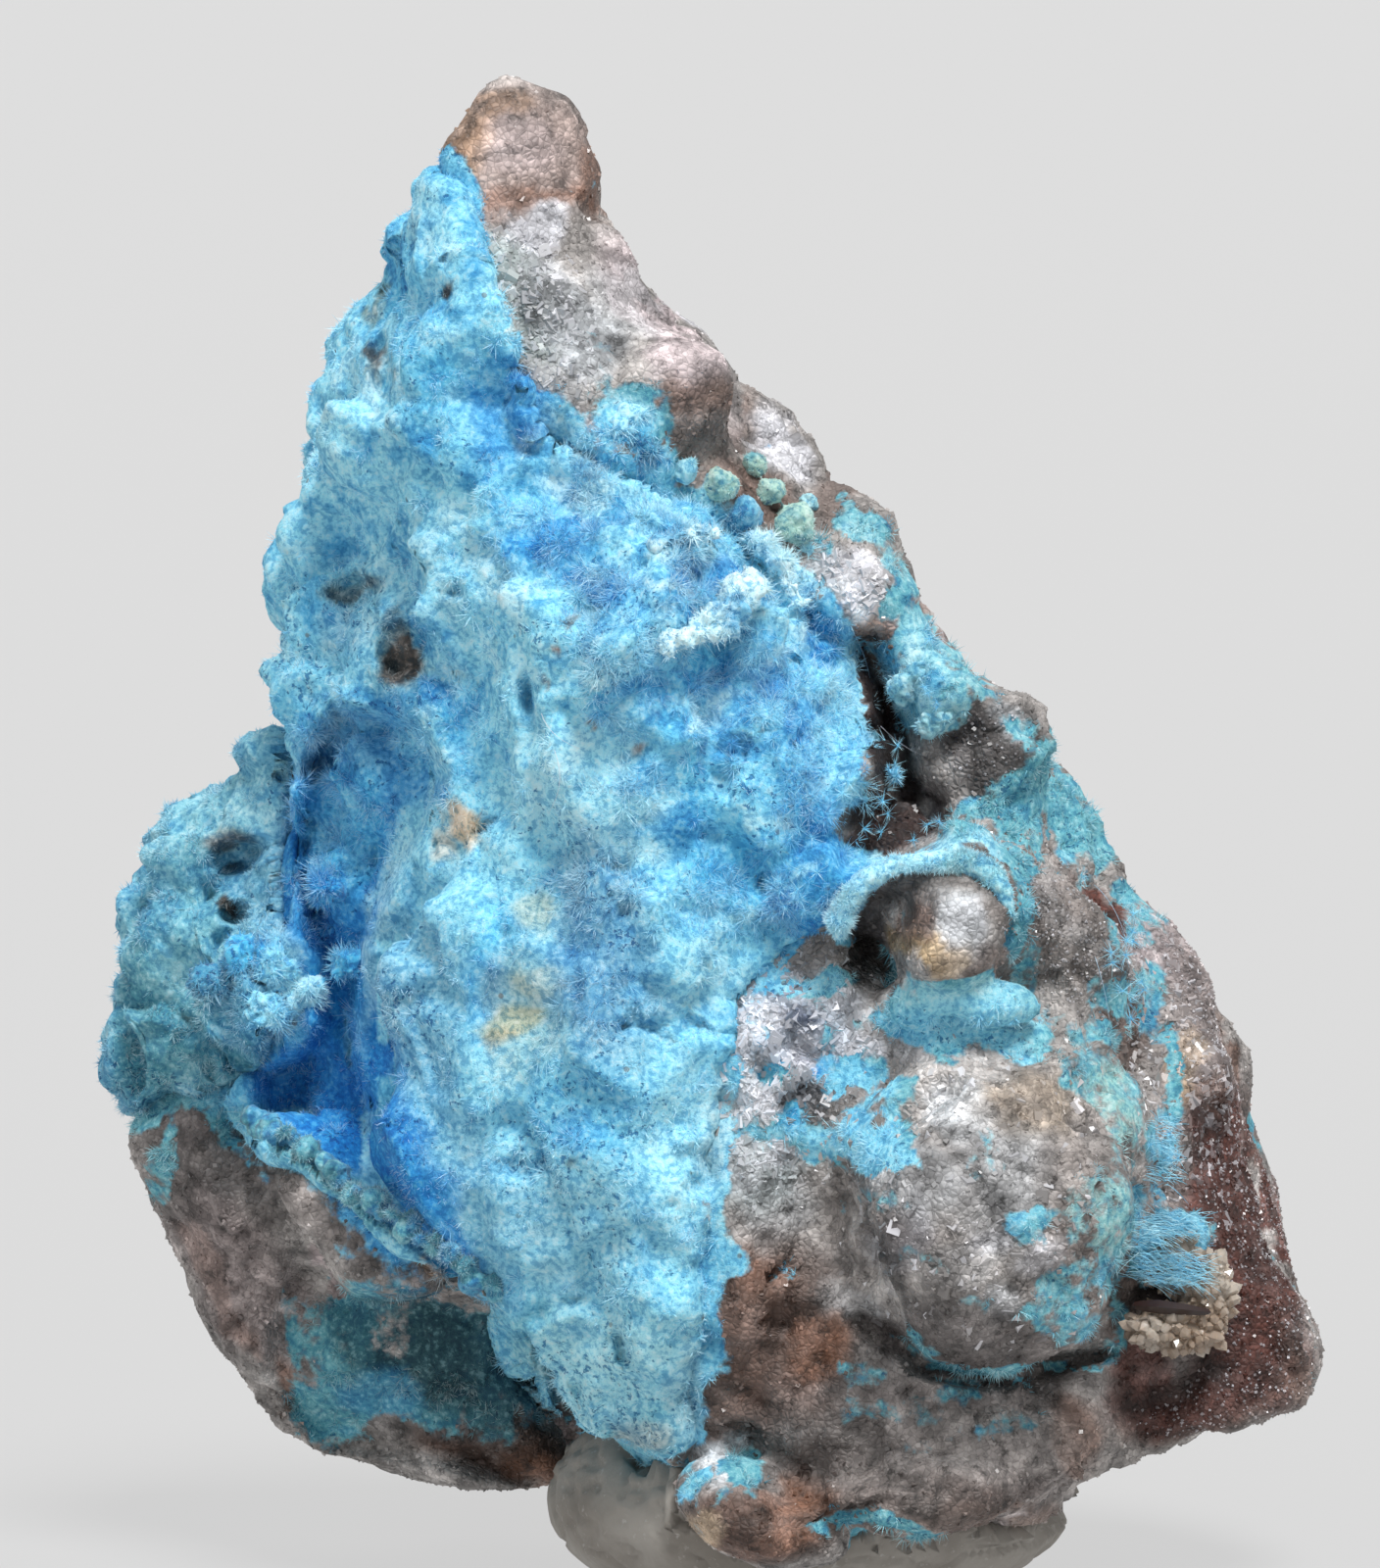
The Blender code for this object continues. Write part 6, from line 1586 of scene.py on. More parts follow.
@made_once("node_groups", "Felt nap")
def nap_group(name):
    """The nap of felt between its needles: light clumps, partly painted highlight, dark gaps and pits with
    painted shade in them, rare specks, and their height.
    """
    inputs = {"Color": (0.2, 0.5, 0.7, 1), "Scale": 9000.0, "Depth": 0.5, "Specks": 0.3}
    group, tree, given, out = new_group(name, inputs, ("Color", "Height"))
    colour = given["Color"]
    place = tree.place()
    warp = tree.add("TexNoise", None, Vector=place, Scale=4000.0, Detail=1.0).outputs["Color"]
    bent = tree.vector("MULTIPLY_ADD", _0=warp, _1=(0.0001,) * 3, _2=place)
    fine = tree.noise(bent, given["Scale"], 5.0, 0.75)
    balls = tree.cells(bent, given["Scale"], "SMOOTH_F1")["Distance"]
    clumps = tree.noise(place, 4200.0, 3.0, 0.65)
    rough = tree.math("ADD", fine, tree.times(tree.math("SUBTRACT", 0.45, balls), 0.35))
    level = tree.math("ADD", rough, tree.times(tree.math("SUBTRACT", clumps, 0.5), 0.45))
    # Painted shade in the low gaps, by Depth, and high clumps made paler, partly painted highlight: the level
    # mostly follows the fine noise, which is also the height.
    deep = tree.vector("MULTIPLY", _0=colour, _1=(0.15, 0.42, 0.64))
    gap_shaded = tree.mix(tree.times(tree.ranged(level, 0.53, 0.38), given["Depth"]), colour, deep)
    pale = tree.mix(tree.ranged(level, 0.53, 0.7, 0.0, 0.85), gap_shaded, tree.gamma(colour, 0.55))
    zone = tree.ranged(tree.noise(place, 420.0, 2.0), 0.42, 0.66, -0.07, 0.09)
    open_pits = tree.math("SUBTRACT", tree.noise(bent, 7500.0, 3.0, 0.65), zone)
    hole = tree.ranged(open_pits, 0.34, 0.28)
    # Painted shade, partly the felt's deep colour: the sunken pits darkened.
    floor = tree.vector("MULTIPLY", _0=colour, _1=(0.12, 0.3, 0.5))
    holed = tree.mix(tree.times(hole, 0.9), pale, floor)
    dots = tree.cells(place, 2600.0)
    near = tree.ranged(dots["Distance"], 0.16, 0.1)
    rare = tree.ranged(tree.part(dots["Color"], 1), 0.93, 0.95)
    speck = tree.times(tree.times(near, rare), given["Specks"])
    height = tree.math("SUBTRACT", fine, tree.times(hole, 0.5))
    tree.fill(out, Color=tree.mix(speck, holed, (0.12, 0.06, 0.035, 1)), Height=height)
    return group


@made_once("node_groups", "Patchy edge")
def patch_group(name):
    """A soft mask broken into crisp patches by noise."""
    inputs = {"Mask": 0.5, "Scale": 2500.0, "Raggedness": 0.7}
    group, tree, given, out = new_group(name, inputs, ("Mask",))
    rough = tree.noise(tree.place(), given["Scale"], 4.0, 0.6)
    swing = tree.times(tree.math("SUBTRACT", rough, 0.5), given["Raggedness"])
    tree.fill(out, Mask=tree.ranged(tree.math("ADD", given["Mask"], swing), 0.3, 0.7))
    return group


def new_material(name):
    """A material: it, its tree and its Principled shader."""
    material = bpy.data.materials.new(name)
    material.use_nodes = True
    return material, Tree(material.node_tree), material.node_tree.nodes["Principled BSDF"]


@made_once("materials", "rock_with_growth")
def ground_material(name):
    """Rock with felt growing over it: packed grains, and the felt's nap where the felt mask is high."""
    material, tree, shader = new_material(name)
    stone = tree.group(grains_group(), Color=tree.own("stone", "Color"), Scale=8500.0, Contrast=0.5)
    nap = tree.group(nap_group(), Color=tree.own("fur", "Color"), Scale=9500.0, Depth=0.65, Specks=0.6)
    mask = tree.group(patch_group(), Mask=tree.own("felt"), Scale=3600.0, Raggedness=1.3)["Mask"]
    bare = tree.ranged(tree.own("gloss"), 0.0, 1.0, 0.7, 0.58)
    height = tree.between(mask, stone["Height"], nap["Height"])
    tree.fill(
        shader,
        Base_Color=tree.mix(mask, stone["Color"], nap["Color"]),
        Roughness=tree.between(mask, bare, 0.9),
        Normal=tree.bump(0.75, 0.00008, height),
    )
    return material


@made_once("materials", "felted_crust")
def felt_material(name):
    """The ground of the small felted things, under their needles."""
    material, tree, shader = new_material(name)
    nap = tree.group(nap_group(), Color=tree.own("fur", "Color"), Scale=9000.0, Depth=0.8, Specks=0.8)
    normal = tree.bump(0.8, 0.00006, nap["Height"])
    tree.fill(shader, Base_Color=nap["Color"], Roughness=0.9, Sheen_Weight=0.25, Normal=normal)
    return material


@made_once("materials", "silky_needles")
def needle_material(name):
    """Silky needles: deep in colour at the foot, pale at the tip, partly their own colour and partly painted
    shade among the felt at the foot and a painted glint on the tips of the brightest.
    """
    material, tree, shader = new_material(name)
    fur = tree.own("fur", "Color")
    shade = tree.own("shade")
    # Painted shade, partly the needles' own tone: needles with a low shade number, many in the gaps between
    # clumps, stay deep.
    deep = tree.vector("MULTIPLY", _0=fur, _1=(0.4, 0.68, 0.85))
    body = tree.mix(tree.ranged(shade, 0.15, 0.7), deep, fur)
    # Painted glint, partly their own pale tips: the brightest needles' tips go near white.
    lit = tree.ranged(shade, 0.55, 0.8, 0.0, 0.75)
    pale = tree.mix(lit, tree.gamma(fur, 0.5), (0.82, 0.97, 1.0, 1))
    tip = tree.times(tree.own("tip"), tree.ranged(shade, 0.1, 0.8, 0.3, 1.0))
    tree.fill(shader, Base_Color=tree.mix(tip, body, pale), Roughness=0.5, Sheen_Weight=0.15)
    return material


@made_once("materials", "quartz_grains")
def grain_material(name):
    """Small glossy quartz grains in the colour of the rock under them, some darker and some lighter."""
    material, tree, shader = new_material(name)
    stone = tree.own("stone", "Color")
    shade = tree.own("shade")
    dark = tree.vector("SCALE", _0=stone, Scale=0.8)
    body = tree.mix(tree.ranged(shade, 0.0, 0.7), dark, stone)
    lit = tree.vector("MULTIPLY_ADD", _0=stone, _1=(1.35,) * 3, _2=(0.03,) * 3)
    milky = tree.mix(tree.ranged(shade, 0.65, 1.0), body, lit)
    tree.fill(shader, Base_Color=milky, Roughness=0.28, IOR=1.54)
    return material


@made_once("materials", "pale_crystal")
def crystal_material(name):
    """See-through pale quartz, faintly tan, with brown specks."""
    material, tree, shader = new_material(name)
    place = tree.place()
    cloud = tree.ranged(tree.noise(place, 1500.0, 3.0), 0.35, 0.7)
    body = tree.mix(cloud, (0.66, 0.52, 0.4, 1), (0.9, 0.82, 0.72, 1))
    dots = tree.cells(place, 4200.0)
    rare = tree.ranged(tree.part(dots["Color"], 0), 0.9, 0.93)
    speck = tree.times(tree.ranged(dots["Distance"], 0.24, 0.14), rare)
    colour = tree.mix(speck, body, (0.1, 0.05, 0.03, 1))
    tree.fill(shader, Base_Color=colour, Roughness=0.12, IOR=1.54, Transmission_Weight=0.6)
    return material


@made_once("materials", "dull_putty")
def putty_material(name):
    """Dull warm grey putty: fine grain, lighter and darker by slow noise, and paler flecks where the fine
    grain stands highest.
    """
    material, tree, shader = new_material(name)
    place = tree.place()
    slow = tree.ranged(tree.noise(place, 500.0, 4.0), 0.35, 0.7)
    body = tree.mix(slow, (0.2, 0.18, 0.155, 1), (0.32, 0.3, 0.27, 1))
    fine = tree.noise(place, 6000.0, 3.0, 0.6)
    # Paler flecks where the fine noise, which is also the bump's height, is highest.
    dust = tree.mix(tree.ranged(fine, 0.6, 0.75, 0.0, 0.5), body, (0.52, 0.5, 0.48, 1))
    rough = tree.ranged(fine, 0.3, 0.7, 0.62, 0.85)
    tree.fill(shader, Base_Color=dust, Roughness=rough, Normal=tree.bump(0.35, 0.00005, fine))
    return material


@made_once("materials", "pale_sweep")
def floor_material(name):
    """The floor and backdrop: matt, faintly mottled, with a glow of its own that keeps it even."""
    material, tree, shader = new_material(name)
    tone = tuple(bpy.context.scene.specimen_sizes.floor_colour)
    low = tuple(0.985 * c for c in tone)
    colour = tree.mix(tree.noise(tree.place(), 60.0, 2.0), (*low, 1), (*tone, 1))
    glow = {"Emission_Color": (1.0, 1.0, 1.0, 1.0), "Emission_Strength": FLOOR_GLOW}
    tree.fill(shader, Base_Color=colour, Roughness=0.9, **glow)
    return material


def tint(name, description, default):
    """A colour that a user can change."""
    return bpy.props.FloatVectorProperty(
        name=name, description=description, default=default, subtype="COLOR", min=0.0, max=1.0
    )


def small(name, description, default):
    """A small length that a user can change."""
    return bpy.props.FloatProperty(
        name=name, description=description, default=default, unit="LENGTH", precision=6
    )


class SpecimenPalette(bpy.types.PropertyGroup):
    """The named colours that the surfaces are painted with."""

    smoky: tint("Smoky", "Pinkish-brown smoky quartz of the tip", (0.376, 0.283, 0.254))
    amber: tint("Amber", "Amber edges of clear crystals", (0.376, 0.216, 0.114))
    rust: tint("Rust", "Iron stain", (0.242, 0.107, 0.058))
    # White is milky quartz, and is also laid as a painted highlight on the small knob.
    white: tint("White", "Milky quartz", (0.687, 0.687, 0.73))
    druse: tint("Druse", "Grey drusy quartz", (0.352, 0.328, 0.314))
    # Druse dark is also laid as painted shade on the large knob's underside.
    druse_dark: tint("Druse dark", "Drusy quartz in dark rock", (0.175, 0.15, 0.144))
    greenish: tint("Greenish", "Grey-green druse", (0.434, 0.515, 0.515))
    pale: tint("Pale", "Pale druse", (0.539, 0.565, 0.591))
    pink: tint("Pink", "Pink druse", (0.61, 0.515, 0.527))
    grey_pink: tint("Grey pink", "Pinkish-grey rock", (0.305, 0.254, 0.246))
    brown: tint("Brown", "Brown rock", (0.162, 0.098, 0.076))
    brown_dark: tint("Brown dark", "Dark brown rock", (0.076, 0.042, 0.03))
    grey_brown: tint("Grey brown", "Grey-brown fractured rock", (0.195, 0.171, 0.162))
    umber: tint("Umber", "Grey-brown druse", (0.195, 0.168, 0.156))
    # Black is dark rock, and is also laid as painted shade in the gap under the arch, the crack under the
    # large knob, that knob's underside and the hollow under the ledge.
    black: tint("Black", "Dark rock", (0.068, 0.061, 0.061))
    slate: tint("Slate", "Blue-grey quartz", (0.08, 0.107, 0.181))
    bluish: tint("Bluish", "Bluish-white quartz", (0.485, 0.546, 0.631))
    ochre: tint("Ochre", "Ochre stain", (0.456, 0.305, 0.141))
    tan: tint("Tan", "Tan stain", (0.73, 0.565, 0.392))
    maroon: tint("Maroon", "Maroon rock", (0.112, 0.037, 0.027))
    # Maroon dark is dark maroon rock, and is also laid as painted shade down the crevice.
    maroon_dark: tint("Maroon dark", "Dark maroon rock", (0.025, 0.011, 0.009))
    grainy: tint("Grainy", "Pale grainy rim", (0.305, 0.223, 0.188))
    sky: tint("Sky", "Light blue felt", (0.314, 0.791, 0.973))
    sky_soft: tint("Sky soft", "Soft blue felt", (0.216, 0.658, 0.871))
    pale_sky: tint("Pale sky", "Palest blue felt", (0.468, 0.871, 0.973))
    # White blue is pale felt, and is also laid as a painted highlight along the crests.
    white_blue: tint("White blue", "Almost white felt", (0.672, 0.956, 1.0))
    mist: tint("Mist", "Greyish blue felt", (0.27, 0.631, 0.791))
    slate_blue: tint("Slate blue", "Slate blue felt", (0.188, 0.468, 0.658))
    royal_soft: tint("Royal soft", "Clear blue felt", (0.08, 0.527, 0.839))
    royal: tint("Royal", "Royal blue felt", (0.025, 0.361, 0.745))
    deep: tint("Deep", "Deep blue felt", (0.032, 0.342, 0.761))
    midnight: tint("Midnight", "Darkest blue felt", (0.009, 0.254, 0.672))
    turquoise: tint("Turquoise", "Turquoise felt", (0.162, 0.491, 0.565))
    teal: tint("Teal", "Teal felt", (0.065, 0.279, 0.352))
    teal_dark: tint("Teal dark", "Dark teal felt", (0.018, 0.072, 0.089))
    teal_blue: tint("Teal blue", "Blue-green felt", (0.068, 0.332, 0.527))
    pale_teal: tint("Pale teal", "Pale turquoise felt", (0.323, 0.687, 0.761))
    mint: tint("Mint", "Pale green balls", (0.413, 0.658, 0.565))
    ochre_pale: tint("Ochre pale", "Ochre dust on felt", (0.552, 0.552, 0.352))
    tan_pale: tint("Tan pale", "Tan dust on felt", (0.485, 0.515, 0.485))
    olive: tint("Olive", "Olive line", (0.188, 0.205, 0.141))
    pit: tint("Pit", "Brown floor of pits", (0.107, 0.065, 0.042))


class SpecimenSizes(bpy.types.PropertyGroup):
    """Sizes of the small things that grow on the surfaces."""

    needle_width: small("Needle width", "Half the width of a needle's foot", 0.0000105)
    needle_length: small("Needle length", "Length of a middling needle", 0.00025)
    grain_size: small("Grain size", "Half the width of a middling quartz grain", 0.00005)
    key_power: bpy.props.FloatProperty(
        name="Key light", description="Strength of the overhead light", default=3.5
    )
    floor_colour: tint("Floor colour", "Colour of the floor and backdrop", (0.062, 0.062, 0.062))


class SPECIMEN_OT_rock(bpy.types.Operator):
    """Builds the rock with its quartz grains"""

    bl_idname = "specimen.rock"
    bl_label = "Rock"

    def execute(self, context):
        skin = surfaces()["rock"]
        rock = skin_piece("rock", skin, ground_material())
        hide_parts("matrix")
        across, up, _ = front_view(skin.points)
        bare = lessened(smooth_step(0.6, 0.2, skin.felt), across, up, CALM_SPOTS)
        blocky = strongest(across, up, BLOCK_SPOTS)
        bright = strongest(across, up, SPARKLING_SPOTS)
        grain_piece("rock_grains", skin, bare * (0.45 + skin.seen))
        grain_piece("rock_blocks", skin, blocky * skin.seen * (bare + 0.15))
        grain_piece("bright_grains", skin, bright * skin.seen * (bare + 0.1))
        return {"FINISHED"}


class SPECIMEN_OT_blue_crust(bpy.types.Operator):
    """Builds the blue crust and its needles"""

    bl_idname = "specimen.blue_crust"
    bl_label = "Blue crust"

    def execute(self, context):
        skin = surfaces()["blue"]
        crust = skin_piece("blue_felt", skin, ground_material())
        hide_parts("blue_crust")
        across, up, _ = front_view(skin.points)
        hairy = strongest(across, up, HAIRY_SPOTS, 0.03)
        grown = skin.felt * (skin.seen + 0.03)
        needle_piece("blue_nap", skin, grown * (1.1 - hairy))
        needle_piece("blue_needles", skin, grown * hairy)
        return {"FINISHED"}


class SPECIMEN_OT_turquoise_crust(bpy.types.Operator):
    """Builds the turquoise crust and its needles"""

    bl_idname = "specimen.turquoise_crust"
    bl_label = "Turquoise crust"

    def execute(self, context):
        skin = surfaces()["turquoise"]
        crust = skin_piece("turquoise_felt", skin, ground_material())
        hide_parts("turquoise_crust")
        needle_piece("turquoise_needles", skin, skin.seen + 0.02)
        return {"FINISHED"}


class SPECIMEN_OT_growth(bpy.types.Operator):
    """Builds the needles of the felt that grows on the rock itself"""

    bl_idname = "specimen.growth"
    bl_label = "Growth on the rock"

    def execute(self, context):
        skin = surfaces()["rock"]
        needle_piece("growth_needles", skin, smooth_step(0.4, 0.7, skin.felt))
        return {"FINISHED"}


def arch_parts():
    """The felted arch over the small knob: (parts, (place, colour) along it)."""
    path = on_front(ARCH, 0.0, True)
    colours = ["pale_sky" if k < ARCH_SKY else "pale_teal" for k in range(len(path))]
    return [tube(path, ARCH_RADII)], list(zip(path, colours))


def rim_parts():
    """The free rim over the ledge, as a row of bumps: (parts, (place, colour) of each)."""
    rim = on_front(RIM, -0.05, True)
    along = np.linspace(0, len(RIM) - 1, RIM_BUMPS)
    places = np.stack([np.interp(along, np.arange(len(RIM)), rim[:, k]) for k in range(3)], axis=1)
    rng = np.random.default_rng(611)
    places += rng.normal(scale=RIM_STRAY, size=places.shape)
    least, further = RIM_RADII
    radii = least + further * rng.random(RIM_BUMPS) ** 1.5
    parts = [ellipsoid(place, (radius,) * 3, steps=12) for place, radius in zip(places, radii)]
    return parts, [(place, RIM_COLOURS[k % len(RIM_COLOURS)]) for k, place in enumerate(places)]


def round_parts(table, sunk, share):
    """Balls set into the front: sunk by a share of their radius and that large a share of it."""
    balls = [(on_front([(u, v)], -sunk * radius)[0], radius, colour) for u, v, radius, colour in table]
    parts = [ellipsoid(place, (radius * share,) * 3) for place, radius, _ in balls]
    return parts, [(place, colour) for place, _, colour in balls]


def crest_parts():
    """The felted crests on the blue crust: (parts, (place, colour) along them)."""
    crests = [(on_front(path, -0.08, True), radii) for path, radii in CRESTS]
    parts = [tube(path, radii) for path, radii in crests]
    # Almost white along the crests: pale felt, partly a painted highlight.
    return parts, [(place, "white_blue") for path, _ in crests for place in path]


class SPECIMEN_OT_tufts(bpy.types.Operator):
    """Builds the felted arch, the ledge's rim, the green balls and the small felt lumps"""

    bl_idname = "specimen.tufts"
    bl_label = "Arch, rim, balls and lumps"

    def execute(self, context):
        surfaces()
        shapes = {
            "arch": arch_parts(),
            "ledge_rim": rim_parts(),
            "green_balls": round_parts(BALLS, 0.45, 1.0),
            "felt_lumps": round_parts(LUMPS, 0.5, 0.85),
            "felt_crests": crest_parts(),
        }
        for seed, (name, (count, reach, rough)) in enumerate(TUFTS.items(), TUFT_SEED):
            skin = fine_skin(*shapes[name], rough, seed)
            skin_piece(name, skin, felt_material())
            kind = (*TUFT_NEEDLES, count, seed + 20)
            needle_piece(f"{name}_needles", skin, skin.seen, kind, reach)
        return {"FINISHED"}


def burst_needles(rng, width):
    """Open bursts: needles that lean out of shared hearts strewn over the front."""
    hearts = np.concatenate([
        np.array((u, v)) + rng.normal(scale=strewn * 0.6, size=(bursts, 2))
        for u, v, strewn, bursts, _ in BURSTS
    ])
    reach = np.repeat([burst[4] for burst in BURSTS], [burst[3] for burst in BURSTS])
    hearts = np.repeat(on_front(hearts), BURST_NEEDLES, axis=0)
    ways = unit(rng.normal(size=(len(hearts), 3)) - 0.7 * SIGHT)
    lengths = np.repeat(reach, BURST_NEEDLES) * rng.uniform(0.5, 1.1, len(hearts))
    widths = np.full(len(hearts), width * BURST_WIDTH)
    points, faces = copies(needle_shape(), hearts, ways, widths, lengths, rng)
    shade = np.repeat(rng.random(len(hearts)), 4)
    new_piece(
        "bursts", points, faces, needle_material(), {"fur": plain(points, "sky")},
        {"tip": np.tile(NEEDLE_TIP, len(hearts)), "shade": shade}, smooth=False,
    )


def combed_fibres(rng):
    """Fibres that lie combed across the front: their (starts, bends, ends)."""
    roots = np.concatenate([
        np.array((u, v)) + rng.uniform(-1, 1, (count, 2)) * (half_width, half_height)
        for u, v, half_width, half_height, count in COMBED
    ])
    starts = on_front(roots, 0.02)
    along = rng.uniform(0.12, 0.42, (len(roots), 1)) * rng.choice((-1, 1), (len(roots), 1))
    drift = np.concatenate([along, 0 * along, along * rng.normal(-0.2, 0.35, along.shape)], axis=1)
    bends = starts + drift * 0.5 + (0, -0.06, 0.05) + rng.normal(scale=0.02, size=starts.shape)
    ends = starts + drift + (0, -0.02, 0) + rng.normal(scale=0.03, size=starts.shape)
    return starts, bends, ends


class SPECIMEN_OT_fibres(bpy.types.Operator):
    """Builds the open bursts of needles and the loose and combed fibres"""

    bl_idname = "specimen.fibres"
    bl_label = "Bursts and fibres"

    def execute(self, context):
        surfaces()
        rng = np.random.default_rng(701)
        _, width = needle_sizes()
        burst_needles(rng, width)
        combed = combed_fibres(rng)
        loose = [on_front(places, lift) for places, lift in zip(zip(*FIBRES), FIBRE_LIFTS)]
        lines = [np.concatenate(pair) for pair in zip(combed, loose)]
        points, faces = strands(*lines, width * FIBRE_WIDTH)
        each = 3 * FIBRE_RINGS
        pale = np.repeat(rng.random(len(points) // each), each)
        fur = mixed(plain(points, "sky_soft"), colour_of("white_blue"), 0.8 * pale)
        fur[-len(FIBRES) * each:] = colour_of("white")
        shade = np.repeat(rng.uniform(0.2, 1.0, len(points) // each), each)
        new_piece(
            "fibres", points, faces, needle_material(),
            {"fur": fur}, {"tip": np.zeros(len(points)), "shade": shade},
        )
        return {"FINISHED"}


def cluster_crystals(rng, centre, half_sizes, count):
    """Crystals that stand out of a rounded head, a little off the way out."""
    out = unit(rng.normal(size=(count, 3)))
    places = centre + out * np.array(half_sizes) * 0.9
    out = unit(out + rng.normal(scale=0.35, size=(count, 3)))
    low, high = CLUSTER_WIDTHS
    widths = low + (high - low) * rng.random(count) ** 2
    lengths = widths * rng.uniform(*CLUSTER_STRETCH, count)
    return copies(point_shape(), places, out, widths, lengths, rng)


class SPECIMEN_OT_crystal_cluster(bpy.types.Operator):
    """Builds the pale quartz cluster: rounded heads in one skin, the crystals on them, and the dark bar"""

    bl_idname = "specimen.crystal_cluster"
    bl_label = "Crystal cluster"

    def execute(self, context):
        surfaces()
        rng = np.random.default_rng(501)
        heads, crystals = [], []
        for centre, half_sizes, count in CLUSTER_HEADS:
            centre = np.array(centre) - FRONT_ORIGIN
            heads.append(ellipsoid(centre, half_sizes))
            crystals.append(cluster_crystals(rng, centre, half_sizes, count))
        core, squares = one_skin(heads, CLUSTER_SQUARE)
        halves = np.concatenate([squares[:, (0, 1, 2)], squares[:, (0, 2, 3)]])
        points, faces = joined([(core, halves)] + crystals)
        piece = new_piece("crystal_cluster", points, faces, crystal_material(), smooth=False)
        built["front"] = np.minimum(built["front"], front_buffer([points]))
        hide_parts("quartz_cluster")
        bar, faces = tube(on_front(DARK_BAR, -0.02, True), DARK_BAR_RADII, 4)
        new_piece(
            "dark_bar", bar, faces, grain_material(),
            {"stone": plain(bar, "maroon_dark")}, {"shade": np.full(len(bar), 0.5)}, smooth=False,
        )
        return {"FINISHED"}


class SPECIMEN_OT_putty(bpy.types.Operator):
    """Builds the pad of putty: creased, pressed up against the rock, flat underneath"""

    bl_idname = "specimen.putty"
    bl_label = "Putty"

    def execute(self, context):
        points, faces = one_skin([corners_of("putty")], PUTTY_SQUARE)
        points = smoothed(points, faces, 4)
        ways = outward(points, faces)
        above = smooth_step(0.05, 0.5, points[:, 2])
        against = crowded(points, ways, 0.3, surfaces()["rock"].points)
        crease = 1 - np.abs(lumpy_noise(points * (1, 1, 2.2), 1.5, 3, 61))
        height = bumps(points, 2.4, 0.12, 2, 62) - 0.09 * smooth_step(0.8, 1.0, crease)
        points = points + ways * (above * (0.28 * against + height * (1 - against)))[:, None]
        across, up, _ = front_view(points)
        points[:, 0] += PUTTY_PUSH * spot(across, up, PUTTY_FOOT)
        points[:, 2] = np.maximum(points[:, 2], 0)
        piece = new_piece("putty_pad", points, faces, putty_material())
        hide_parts("putty")
        return {"FINISHED"}


def floor_skin():
    """The floor's profile, evened out and turned round the table's middle: (points, faces)."""
    profile = np.array(FLOOR_PROFILE, float)
    share = np.linspace(0, len(profile) - 1, FLOOR_RINGS)
    line = np.stack([np.interp(share, np.arange(len(profile)), profile[:, k]) for k in range(2)], axis=1)
    for _ in range(FLOOR_PASSES):
        line[1:-1] = (line[:-2] + line[2:]) / 2
    turn = np.linspace(0, 2 * math.pi, FLOOR_SIDES, endpoint=False)
    rim = np.stack([np.cos(turn), np.sin(turn)], axis=1)
    high = np.repeat(line[:, None, 1:], FLOOR_SIDES, axis=1)
    points = np.concatenate([line[:, None, :1] * rim[None], high], axis=2).reshape(-1, 3)
    near = np.arange(FLOOR_SIDES)
    far = (near + 1) % FLOOR_SIDES
    square = np.stack([near, near + FLOOR_SIDES, far + FLOOR_SIDES, far], axis=1)
    rows = FLOOR_SIDES * np.arange(len(line) - 1)[:, None, None]
    return points, (rows + square[None]).reshape(-1, 4)


def add_light(name, azimuth, elevation, strength, width):
    """A distant light from this side and height, so many degrees wide."""
    light = bpy.data.lights.new(name, "SUN")
    light.energy = strength
    light.angle = math.radians(width)
    turn, above = math.radians(azimuth), math.radians(elevation)
    level = math.cos(above)
    out = Vector((math.sin(turn) * level, -math.cos(turn) * level, math.sin(above)))
    new_object(name, light).rotation_euler = out.to_track_quat("Z", "Y").to_euler()


def add_room():
    """The even light from all round."""
    world = bpy.data.worlds.new("soft_room")
    world.use_nodes = True
    background = world.node_tree.nodes["Background"]
    Tree(world.node_tree).fill(background, Color=ROOM_COLOUR, Strength=ROOM_STRENGTH)
    bpy.context.scene.world = world


def add_camera():
    """The camera, along the line of sight of the front view."""
    camera = new_object("camera", bpy.data.cameras.new("camera"))
    back = Vector(-SIGHT)
    camera.location = Vector(AIM) * MM + back * CAMERA_DISTANCE * MM
    camera.rotation_euler = (-back).to_track_quat("-Z", "Y").to_euler()
    camera.data.lens = camera.data.sensor_width * CAMERA_DISTANCE / VIEW_HEIGHT
    camera.data.clip_start = 0.001
    camera.data.clip_end = 5.0
    bpy.context.scene.camera = camera


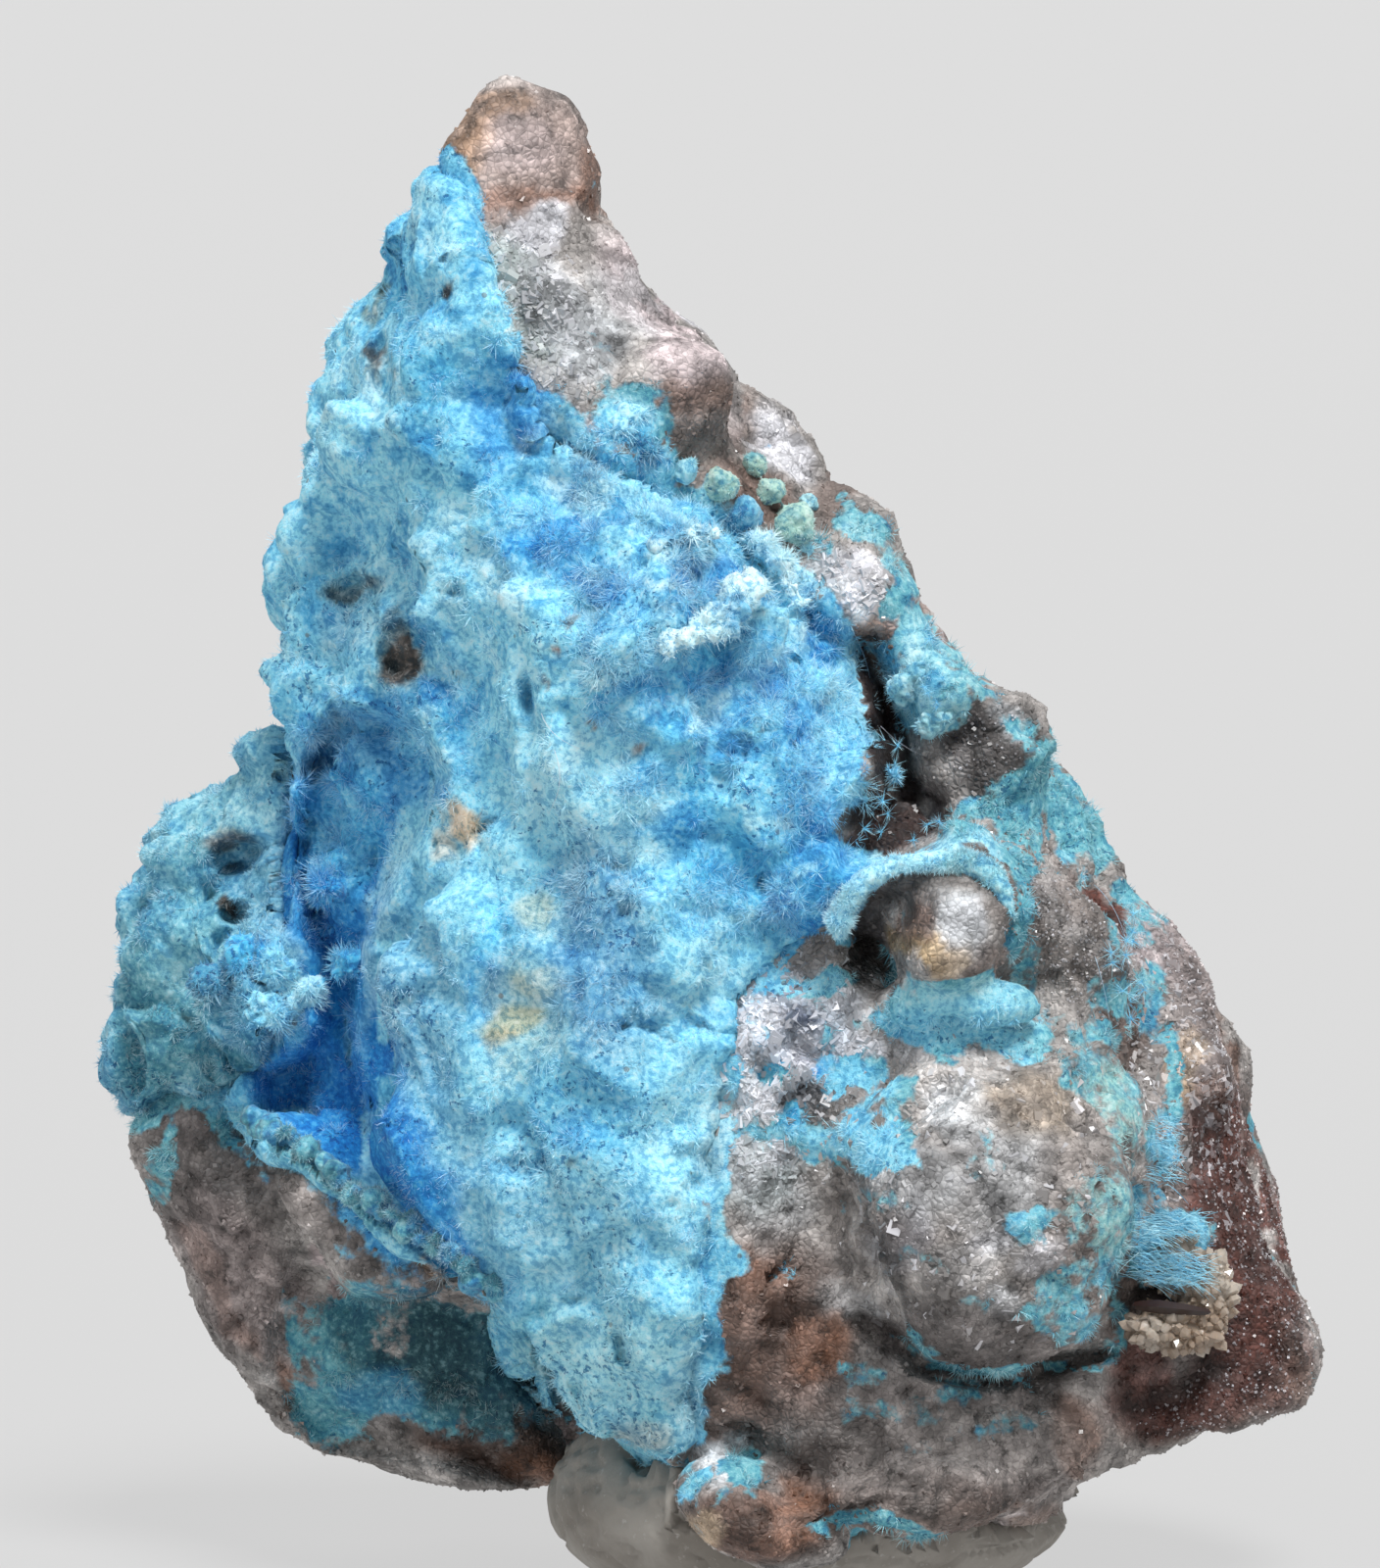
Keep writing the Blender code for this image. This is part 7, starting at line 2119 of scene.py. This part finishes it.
class SPECIMEN_OT_stage(bpy.types.Operator):
    """Builds the floor, the lights and the camera"""

    bl_idname = "specimen.stage"
    bl_label = "Stage"

    def execute(self, context):
        floor = new_object("floor", dressed(new_mesh("floor", *floor_skin()), floor_material()))
        for name, (azimuth, elevation), share, width in LIGHTS:
            add_light(name, azimuth, elevation, context.scene.specimen_sizes.key_power * share, width)
        add_room()
        add_camera()
        context.scene.view_settings.view_transform = "Standard"
        return {"FINISHED"}


class SPECIMEN_PT_sidebar(bpy.types.Panel):
    """The specimen's settings and pieces"""

    bl_idname = "SPECIMEN_PT_sidebar"
    bl_label = "Specimen"
    bl_space_type = "VIEW_3D"
    bl_region_type = "UI"
    bl_category = "Specimen"

    def draw(self, context):
        layout = self.layout
        for settings in (context.scene.specimen_sizes, context.scene.specimen_palette):
            for name in settings.__annotations__:
                layout.prop(settings, name)
        for operator in OPERATORS:
            layout.operator(operator.bl_idname)


OPERATORS = (
    SPECIMEN_OT_rock,
    SPECIMEN_OT_blue_crust,
    SPECIMEN_OT_turquoise_crust,
    SPECIMEN_OT_growth,
    SPECIMEN_OT_tufts,
    SPECIMEN_OT_crystal_cluster,
    SPECIMEN_OT_fibres,
    SPECIMEN_OT_putty,
    SPECIMEN_OT_stage,
)
CLASSES = (SpecimenPalette, SpecimenSizes, *OPERATORS, SPECIMEN_PT_sidebar)


def register():
    """Adds the add-on's classes and settings to Blender."""
    for cls in CLASSES:
        bpy.utils.register_class(cls)
    bpy.types.Scene.specimen_palette = bpy.props.PointerProperty(type=SpecimenPalette)
    bpy.types.Scene.specimen_sizes = bpy.props.PointerProperty(type=SpecimenSizes)


def unregister():
    """Takes them away again."""
    del bpy.types.Scene.specimen_sizes
    del bpy.types.Scene.specimen_palette
    for cls in reversed(CLASSES):
        bpy.utils.unregister_class(cls)


def main():
    """Builds every piece and the stage."""
    register()
    bpy.ops.specimen.rock()
    bpy.ops.specimen.blue_crust()
    bpy.ops.specimen.turquoise_crust()
    bpy.ops.specimen.growth()
    bpy.ops.specimen.tufts()
    bpy.ops.specimen.crystal_cluster()
    bpy.ops.specimen.fibres()
    bpy.ops.specimen.putty()
    bpy.ops.specimen.stage()


if __name__ == "__main__":
    main()
